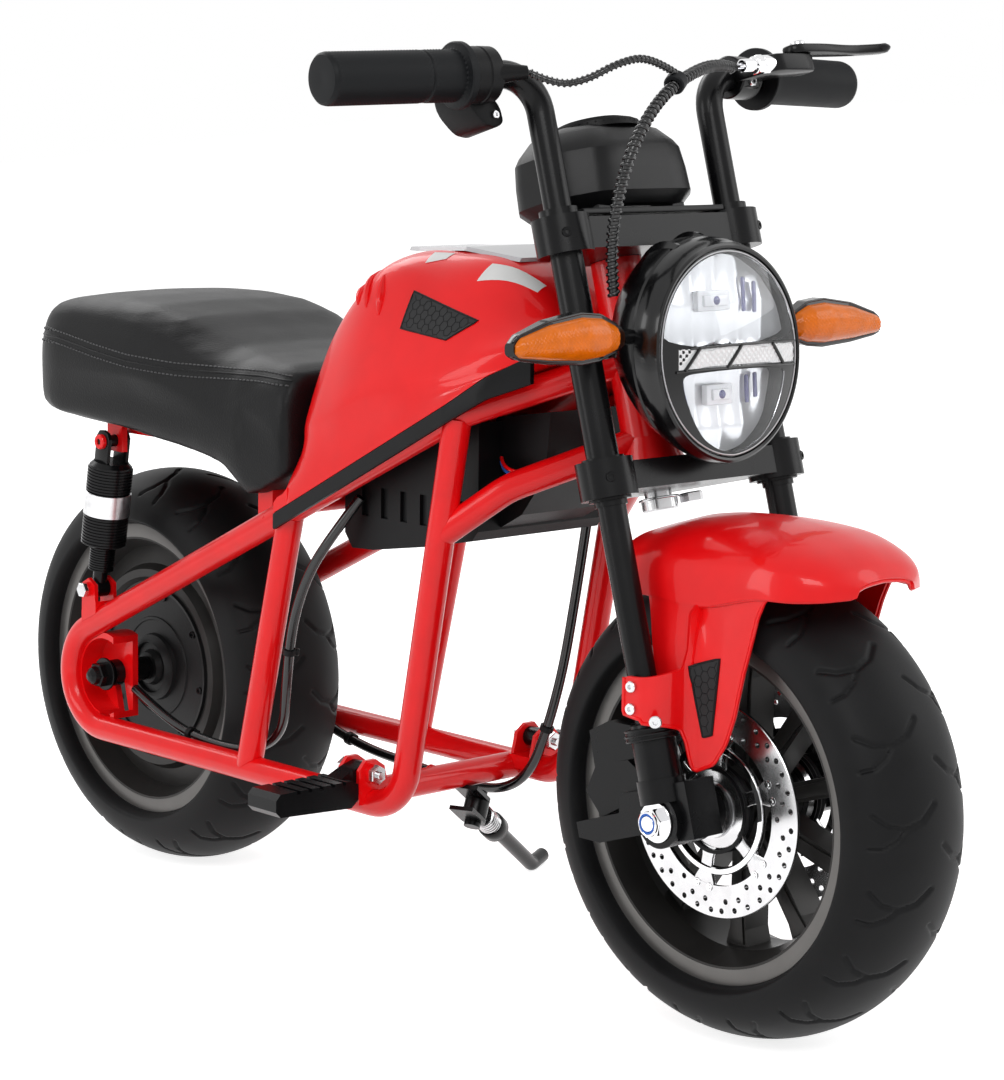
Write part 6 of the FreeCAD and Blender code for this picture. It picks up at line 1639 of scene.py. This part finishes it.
def make_controls():
    way = (BAR_TIP - BAR_START).normalized()
    inner = BAR_TIP - way * 104.2
    # throttle housing: a split ring with a chute under it and a lead spout
    flip = Matrix.Scale(-1, 4, (1, 0, 0))
    ring = lathe([(9.3, -22.0), (16.0, -22.0), (17.6, -20.6), (17.9, -12.0), (17.2, -11.4), (17.2, -10.6),
                  (17.9, -10.0), (17.9, -1.4), (16.6, 0.0), (9.3, 0.0)], 64)
    ring = placed(placed(ring, move(inner) @ along(way)), flip)
    chute = [(4.0, 1.0), (4.0, -16.0), (16.0, -30.0), (26.0, -32.0), (34.0, -29.0), (33.0, -18.0),
             (25.0, -9.0),
             (21.0, 1.0)]
    outline = [(-inner.x + u, v) for u, v in chute]
    block = plate(rounded_flat(outline, 0.2, 2), -inner.y - 34.0, -inner.y - 4.0, 2.2)
    block = placed(block, move((0, 0, BAR_Z)) @ rotate(90.0, "X"))
    spout = sweep([(-inner.x + 10.0, inner.y - 8.0, BAR_Z - 2.0),
                   (-inner.x + 22.0, inner.y - 16.0, BAR_Z - 2.6),
                   (-inner.x + 34.0, inner.y - 23.0, BAR_Z - 4.0)], [8.0, 6.2, 4.2], 20)
    housing = piece("throttle_body", *combine([ring, block, spout]), "black_plastic", "steering", FORK, 34.0)
    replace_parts(housing, "throttle_housing")
    screws = []
    for u, v in ((10.0, -6.0), (26.0, -24.0)):
        place = Vector((-inner.x + u, inner.y + 3.6, BAR_Z + v))
        screws.append(placed(cap_screw(2.6, 1.6), move(place) @ along((0, -1, 0))))
    # lever perch: ring, arm with a slot, adjuster and pivot bolt
    pivot = Vector((inner.x + 8.0, inner.y - 37.0, BAR_Z + 2.0))
    ring = lathe([(9.3, -30.0), (13.4, -30.0), (14.4, -29.0), (14.4, -9.0), (13.4, -8.0), (9.3, -8.0)], 56)
    ring = placed(ring, move(inner) @ along(way))
    arm = [(inner.x - 34.0, inner.y - 8.0), (inner.x - 12.0, inner.y - 8.0), (inner.x - 5.0, inner.y - 24.0),
           (pivot.x + 7.0, pivot.y + 8.0), (pivot.x + 7.0, pivot.y - 8.0), (pivot.x - 34.0, pivot.y - 7.0)]
    arm = plate(rounded_flat(arm, 0.16, 2), pivot.z - 8.0, pivot.z + 4.0, 1.6)
    foot = placed(rounded_box(18.0, 6.0, 20.0, 1.8, 2), move((inner.x - 19.0, inner.y - 11.5, BAR_Z)))
    perch = piece("perch_body", *combine([ring, arm, foot]), "black_satin", "steering", FORK, 34.0)
    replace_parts(perch, "lever_perch")
    barrel = lathe([(3.6, -4.0), (6.0, -4.0), (6.2, 0.0), (6.2, 6.0), (5.0, 6.5), (5.0, 9.0), (5.8, 9.5),
                    (5.8, 13.0),
                    (4.4, 13.6), (4.4, 24.0), (3.6, 24.0)], 36)
    start = Vector((pivot.x - 33.0, pivot.y + 1.0, pivot.z - 2.0))
    barrel = placed(barrel, move(start) @ along((-26.0, 1.0, -1.0)))
    nut = placed(hex_head(12.0, 4.5), move(start + Vector((-7.0, 0.3, -0.3))) @ along((-26.0, 1.0, -1.0)))
    head = placed(cap_screw(5.0, 3.0), move((pivot.x, pivot.y, pivot.z + 10.6)))
    clamp_bolts = [placed(cap_screw(3.0, 2.4), move((inner.x - 19.0 + dx, inner.y - 14.8, BAR_Z + dz))
                          @ along((0, -1, 0))) for dx, dz in ((0.0, -6.0), (0.0, 6.0))]
    piece("cable_adjuster", *combine([barrel, nut]), "chrome", "steering", FORK, 34.0)
    piece("control_screws", *combine(screws + clamp_bolts + [head]), "steel", "steering", FORK, 34.0)
    # lever blade with a ball tip
    z = pivot.z + 4.2
    blade = [(-12.0, 7.0), (-12.0, -8.0), (16.0, -10.0), (48.0, -7.0), (68.0, -11.0), (77.0, -14.0),
             (78.0, -6.0),
             (66.0, -2.0), (46.0, 2.0), (18.0, 5.0)]
    blade = rounded_flat([(pivot.x + u, pivot.y + v) for u, v in blade], 0.2, 2)
    parts = [plate(blade, z, z + 6.4, 1.8)]
    tip = disc_of([(0.0, 6.6), (3.0, 6.2), (5.0, 4.6), (5.6, 3.3), (5.0, 2.0), (3.0, 0.4), (0.0, 0.0)], 32)
    parts.append(placed(tip, move((pivot.x + 76.0, pivot.y - 10.0, z))))
    lever = piece("lever_blade", *combine(parts), "black_satin", "steering", FORK, 34.0)
    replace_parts(lever, "brake_lever")


# Cords. The first two routes are in the fork's frame, the others on the upright bike.

BRAKE_CABLE = [(82.0, -22.8, 474.0), (56.0, -34.0, 474.0), (6.0, -52.0, 461.0), (-34.0, -60.0, 442.0),
               (-61.0, -57.0, 414.0), (-69.0, -44.0, 384.0), (-66.0, -26.0, 352.0), (-63.0, -20.0, 327.0)]
THROTTLE_LEAD = [(-98.0, -17.0, 470.7), (-87.0, -27.0, 460.0), (-76.0, -43.0, 459.0), (-58.0, -56.0, 467.0),
                 (-34.0, -60.0, 470.0), (-11.0, -58.0, 459.5)]
RIGHT_CABLE = [(-63.5, 14.0, 318.0), (-73.5, 30.0, 293.0), (-79.0, 52.0, 262.0), (-80.0, 68.0, 224.0),
               (-76.0, 79.0, 178.0), (-66.5, 94.0, 138.0), (-66.0, 130.0, 119.0), (-66.0, 180.0, 117.0),
               (-66.0, 228.0, 124.0), (-62.0, 277.0, 142.0)]
LEFT_CABLE = [(63.5, -84.0, 326.0), (65.0, -76.0, 288.0), (66.0, -66.0, 240.0), (66.0, -56.0, 192.0),
              (63.0, -45.0, 150.0), (60.0, -30.0, 112.0), (60.0, 2.0, 94.0), (64.0, 50.0, 92.5), (68.0,
                                                                                                  108.0, 94.5),
              (68.0, 162.0, 98.0), (66.0, 216.0, 112.0), (62.0, 277.0, 142.0)]


def wrapped(path, core, wire, pitch):
    """A core with a wire wound round it, both along a path of even steps."""
    helix = []
    travelled = 0.0
    normal = None
    for index, point in enumerate(path):
        before = path[max(0, index - 1)]
        after = path[min(len(path) - 1, index + 1)]
        way = (after - before).normalized()
        if normal is None:
            normal = way.orthogonal().normalized()
        normal = (normal - way * normal.dot(way)).normalized()
        other = way.cross(normal)
        angle = 2 * math.pi * travelled / pitch
        helix.append(point + (normal * math.cos(angle) + other * math.sin(angle)) * core)
        if index + 1 < len(path):
            travelled += (path[index + 1] - point).length
    return combine([sweep(path[::6] + [path[-1]], core, 14), sweep(helix, wire, 7)])


def length_of(path):
    return sum((b - a).length for a, b in zip(path, path[1:]))


def make_cords():
    path = smooth_path(BRAKE_CABLE, 0.45)
    cable = piece("brake_cable_wrap", *wrapped(path, 3.0, 1.3, 4.3), "cable", "steering", FORK, 60.0)
    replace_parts(cable, "brake_cable")
    print("brake cable length", length_of(path))
    path = smooth_path(THROTTLE_LEAD, 0.34)
    lead = piece("throttle_lead_wrap", *wrapped(path, 1.95, 0.85, 3.4), "cable", "steering", FORK, 60.0)
    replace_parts(lead, "throttle_lead")
    print("throttle lead length", length_of(path))
    sleeve = lathe([(4.0, -4.5), (6.0, -4.5), (6.8, -3.6), (6.8, 3.6), (6.0, 4.5), (4.0, 4.5)], 28)
    place = move((-10.5, -55.8, 454.6)) @ along((-20.0, -6.0, -13.0))
    piece("lead_sleeve", *placed(sleeve, place), "rubber", "steering", FORK)
    ties, clips = [], []
    for name, route in (("right", RIGHT_CABLE), ("left", LEFT_CABLE)):
        path = smooth_path(route, 3.0)
        thing = piece("frame_cable_run_" + name, *sweep(path, 3.6, 14), "cable", "frame", BIKE, 60.0)
        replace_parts(thing, "frame_cable_" + name)
        for share, clip in ((0.34, False), (0.62, True), (0.8, False)):
            index = int(len(path) * share)
            way = (path[index + 1] - path[index - 1]).normalized()
            band = lathe([(3.7, -2.0), (5.0, -2.0), (5.0, 2.0), (3.7, 2.0)], 24)
            tab = placed(rounded_box(3.0, 4.0, 5.0, 0.7, 1), move((5.5, 0.0, 0.0)))
            (clips if clip else ties).append(placed(combine([band, tab]), move(path[index]) @ along(way)))
    piece("cable_ties", *combine(ties), "black_plastic", "frame")
    piece("cable_clips", *combine(clips), "red_paint", "frame")


# Instrument pod

def make_pod():
    sections = []
    base = 389.0
    for rise, half, front, back, chamfer in ((0.0, 52.0, 32.0, 32.0, 19.0), (1.5, 55.0, 35.0, 35.0, 21.0),
                                             (9.0, 62.5, 41.5, 41.5, 24.0), (24.0, 63.0, 42.0, 42.0, 26.0),
                                             (38.0, 61.0, 40.5, 40.5, 25.0), (43.0, 58.0, 38.0, 38.0, 24.0),
                                             (52.0, 49.5, 31.0, 31.0, 21.0), (56.0, 40.0, 24.0, 24.0, 16.0),
                                             (58.6, 30.0, 18.0, 18.0, 12.0)):
        low, high = 34.0 - front, 34.0 + back
        ring = [(-half, low + chamfer), (chamfer - half, low), (half - chamfer, low), (half, low + chamfer),
                (half, high - chamfer), (half - chamfer, high), (chamfer - half, high), (-half,
                                                                                         high - chamfer)]
        ring = rounded([(x, y, base + rise) for x, y in ring], 0.13, 2, True)
        sections.append(ring)
    parts = [skin(sections)]
    clamp_top = 382.0
    parts.append(placed(rounded_box(130.0, 30.0, 4.0, 1.0, 2), move((0.0, 6.0, clamp_top + 2.2))))
    for side in (-1, 1):
        parts.append(placed(rounded_box(12.0, 20.0, 9.0, 1.0, 2), move((34.0 * side, 12.0, clamp_top + 4.5))))
    pod = piece("pod_body", *combine(parts), "pod", "steering", FORK, 22.0)
    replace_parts(pod, "instrument_pod")
    # ribbed round cover
    ribs = []
    profile = [(0.0, 452.2), (22.0, 451.6)]
    for index in range(5):
        radius = 22.5 + index * 1.5
        profile += [(radius, 451.4 - index * 0.5), (radius + 0.6, 450.2 - index * 0.5)]
    profile += [(31.0, 448.0), (31.5, 444.0), (0.0, 444.0)]
    cover = placed(disc_of(profile, 72), move((0.0, 34.0, 0.0)))
    for index in range(36):
        angle = 2 * math.pi * index / 36
        points = [(r * math.cos(angle), 34.0 + r * math.sin(angle),
                   448.6 - (r - 24.0) * 0.25) for r in (24.0, 31.4)]
        ribs.append(sweep(points, 0.7, 5))
    piece("pod_cover", *combine([cover] + ribs), "black_plastic", "steering", FORK, 25.0)


# Clamps, fork legs and their fastenings

def make_fork_trim():
    rings, zinc, nylon, dark = [], [], [], []
    for side in (-1, 1):
        x = 78.0 * side
        for z, r in ((51.2, 17.0), (54.2, 17.2), (57.6, 16.6)):
            rings.append(placed(lathe([(r - 1.0, z - 1.1), (r + 0.5, z - 0.7), (r + 0.9, z),
                                       (r + 0.5, z + 0.7),
                                       (r - 1.0, z + 1.1)], 48), move((x, 0, 0))))
        rings.append(placed(lathe([(9.3, 57.8), (13.5, 57.8), (13.0, 60.5), (10.5, 61.5), (9.3, 61.5)], 48),
                            move((x, 0, 0))))
        for z in (202.6, 227.4):
            rings.append(placed(lathe([(10.6, z - 1.2), (13.6, z - 1.2), (13.6, z + 1.2), (10.6, z + 1.2)],
                                      48),
                                move((x, 0, 0))))
        # axle nut with its nylon ring, a washer behind it
        face = move((87.7 * side, 0, 0)) @ rotate(90.0 * side, "Y")
        zinc.append(placed(washer(6.2, 13.0, 1.8), face))
        zinc.append(placed(hex_head(16.8, 6.2, 0.9), face @ move((0, 0, 1.8))))
        zinc.append(placed(lathe([(6.6, 7.6), (8.2, 7.6), (8.0, 8.8), (7.0, 9.4), (6.6, 9.2)], 36), face))
        zinc.append(placed(disc_of([(0.0, 9.3), (4.6, 9.3), (5.2, 8.6), (5.2, 6.0), (0.0, 6.0)], 32), face))
        nylon.append(placed(lathe([(5.3, 7.8), (6.7, 7.8), (6.7, 9.1), (5.3, 9.1)], 32), face))
        # pinch bolts of the clamps
        for z in (215.0, 370.0):
            dark.append(placed(cap_screw(3.2, 3.0), move((x + 10.0 * side, -13.0, z))
                               @ along((0.35 * side, -1, 0))))
    piece("fork_rings", *combine(rings), "black_satin", "steering", FORK, 34.0)
    rod = placed(lathe([(0.2, -87.0), (6.0, -87.0), (6.0, 87.0), (0.2, 87.0)], 32),
                 rotate(90.0, "Y"))
    axle = piece("axle_nuts", *combine(zinc + [rod]), "chrome", "steering", FORK, 30.0)
    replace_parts(axle, "front_axle")
    piece("nylon_rings", *combine(nylon), "blue_nylon", "steering", FORK, 30.0)
    piece("pinch_bolts", *combine(dark), "black_satin", "steering", FORK, 30.0)
    nuts = [placed(hex_head(21.0, 8.0, 1.0), move((0, 34.0, 194.0))),
            placed(hex_head(14.0, 6.0, 0.8), move((22.0, 26.0, 197.0))),
            placed(washer(6.0, 13.5, 1.5), move((0, 34.0, 201.0)))]
    piece("stem_nuts", *combine(nuts), "steel", "steering", FORK, 30.0)


# Shocks, axle, pegs, stand and case

SHOCK_LOW = Vector((-80.0, 298.0, 219.0))
SHOCK_TOP = Vector((-80.0, 279.0, 333.0))


def make_shocks():
    way = (SHOCK_TOP - SHOCK_LOW).normalized()
    length = (SHOCK_TOP - SHOCK_LOW).length
    frame_of = move(SHOCK_LOW) @ along(way)
    body, band, ends, screws = [], [], [], []
    profile = [(0.2, 6.0), (5.5, 6.0), (5.5, 15.0)]
    z = 15.0
    while z < 33.0:
        profile += [(9.6, z), (9.6, z + 0.9), (8.7, z + 1.1), (8.7, z + 1.7)]
        z += 1.9
    profile += [(13.5, 34.0), (15.8, 35.0)]
    z = 36.0
    while z < length - 20.0:
        edge = 17.0 if not 58.0 < z < 76.0 else 16.0
        profile += [(edge, z), (edge, z + 1.2), (edge - 0.9, z + 1.5), (edge - 0.9, z + 2.0)]
        z += 2.3
    profile += [(16.0, length - 19.0), (13.0, length - 16.0), (0.2, length - 16.0)]
    body.append(placed(lathe(profile, 72), frame_of))
    band.append(placed(lathe([(16.6, 58.5), (17.35, 58.8), (17.35, 75.6), (16.6, 76.0)], 72), frame_of))
    eye = placed(lathe([(3.4, -6.0), (6.5, -6.0), (6.9, -5.4), (6.9, 5.4), (6.5, 6.0), (3.4, 6.0)], 36),
                 move(SHOCK_LOW) @ along((1, 0, 0)))
    rod = placed(lathe([(0.2, 4.0), (5.0, 4.0), (5.0, 16.0), (0.2, 16.0)], 28), frame_of)
    body += [eye, rod]
    for side in (-1, 1):
        slab = plate([(-8.0, -24.0), (8.0, -24.0), (8.0, 3.0), (5.0, 7.5), (0.0, 8.6), (-5.0, 7.5),
                      (-8.0, 3.0)],
                     -1.5, 1.5, 0.5)
        stand_up = move((side * 8.5, 0.0, length)) @ rotate(90.0, "X")
        stand_up = stand_up @ rotate(90.0, "Y")
        body.append(placed(slab, frame_of @ stand_up))
    top_bolt = placed(lathe([(0.2, -12.5), (4.4, -12.5), (4.4, 12.5), (0.2, 12.5)], 24),
                      move(SHOCK_TOP) @ along((1, 0, 0)))
    body.append(top_bolt)
    ends.append(placed(cap_screw(5.6, 3.4, 2.6), move(SHOCK_TOP + Vector((-10.2, 0, 0))) @ along((-1, 0, 0))))
    screws.append(placed(hex_head(10.0, 3.6), move(SHOCK_LOW + Vector((-13.6, 0, 0))) @ along((-1, 0, 0))))
    shocks = piece("shock_bodies", *both_sides(combine(body)), "black_satin", "frame", BIKE, 30.0)
    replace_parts(shocks, "shocks")
    piece("shock_bands", *both_sides(combine(band)), "band", "frame", BIKE, 30.0)
    piece("shock_bolts", *both_sides(combine(ends)), "red_paint", "frame", BIKE, 30.0)
    piece("shock_nuts", *both_sides(combine(screws)), "steel", "frame", BIKE, 30.0)


def make_small_parts():
    zinc, dark = [], []
    # pins of the pegs and acorn nuts of the rear axle
    for side in (-1, 1):
        for y, way in ((-27.0, -1.0), (3.0, 1.0)):
            place = Vector((84.0 * side, y, 133.0))
            zinc.append(placed(hex_head(12.0, 4.2), move(place) @ along((0, way, 0))))
            zinc.append(placed(disc_of([(0.0, 7.0), (2.6, 7.0), (3.0, 6.4), (3.0, 0.0), (0.0, 0.0)], 20),
                               move(place) @ along((0, way, 0))))
        axle = move((76.5 * side, 297.5, 152.0)) @ rotate(90.0 * side, "Y")
        dark.append(placed(hex_head(16.5, 8.0, 0.9), axle))
        dark.append(placed(disc_of([(0.0, 14.5), (3.6, 13.8), (6.2, 11.4), (7.2, 8.0), (0.0, 8.0)], 32),
                           axle))
        dark.append(placed(washer(6.5, 12.5, 2.0), axle @ move((0, 0, -2.0))))
    piece("peg_bolts", *combine(zinc), "steel", "frame", BIKE, 30.0)
    piece("axle_acorns", *combine(dark), "black_satin", "frame", BIKE, 30.0)
    # spring round the stand's leg
    pivot = Vector((38.0, 3.0, 84.0))
    foot = Vector((140.0, 50.0, 16.3))
    way = (foot - pivot).normalized()
    matrix = move(pivot) @ along(way)
    coil = []
    for k in range(121):
        angle = 2 * math.pi * 6.0 * k / 120
        coil.append((7.6 * math.cos(angle), 7.6 * math.sin(angle), 13.0 + 21.0 * k / 120))
    piece("stand_spring", *placed(sweep(coil, 1.0, 8), matrix), "steel", "side_stand")
    sleeve = lathe([(5.4, 33.0), (9.2, 33.0), (10.0, 34.2), (10.0, 45.6), (9.2, 46.8), (5.4, 46.8)], 40)
    piece("stand_collar", *placed(sleeve, matrix), "black_satin", "side_stand", BIKE, 34.0)
    # coloured wires where they leave the case
    for index, look in enumerate(("red_paint", "blue_nylon", "black_gloss")):
        shift = index * 2.6
        points = [(-42.0, -104.0, 356.0 - shift), (-52.0, -116.0, 352.0 - shift),
                  (-52.0, -132.0, 349.0 - shift * 1.4),
                  (-38.0, -146.0, 354.0 - shift), (-22.0, -150.0, 360.0)]
        piece("wires_" + look, *sweep(smooth_path(points, 3.0), 1.2, 8), look, "frame", slot="cable_black")


make_tyre("front_tyre_tread", FRONT_WHEEL, "front_wheel", "front_tyre", 1)
make_tyre("rear_tyre_tread", REAR_WHEEL, "rear_wheel", "rear_tyre", 1)
make_disc(-1)
make_disc(1)
make_rim_trim("front_rim", "front_wheel", FRONT_WHEEL)
make_rim_trim("rear_rim", "rear_wheel", REAR_WHEEL)
make_front_spokes()
make_motor_trim()
make_tank_trim(make_tank())
make_skirts()
make_seams(make_seat())
make_headlight()
make_signals()
make_fender()
make_grips()
make_controls()
make_cords()
make_pod()
make_fork_trim()
make_shocks()
make_small_parts()
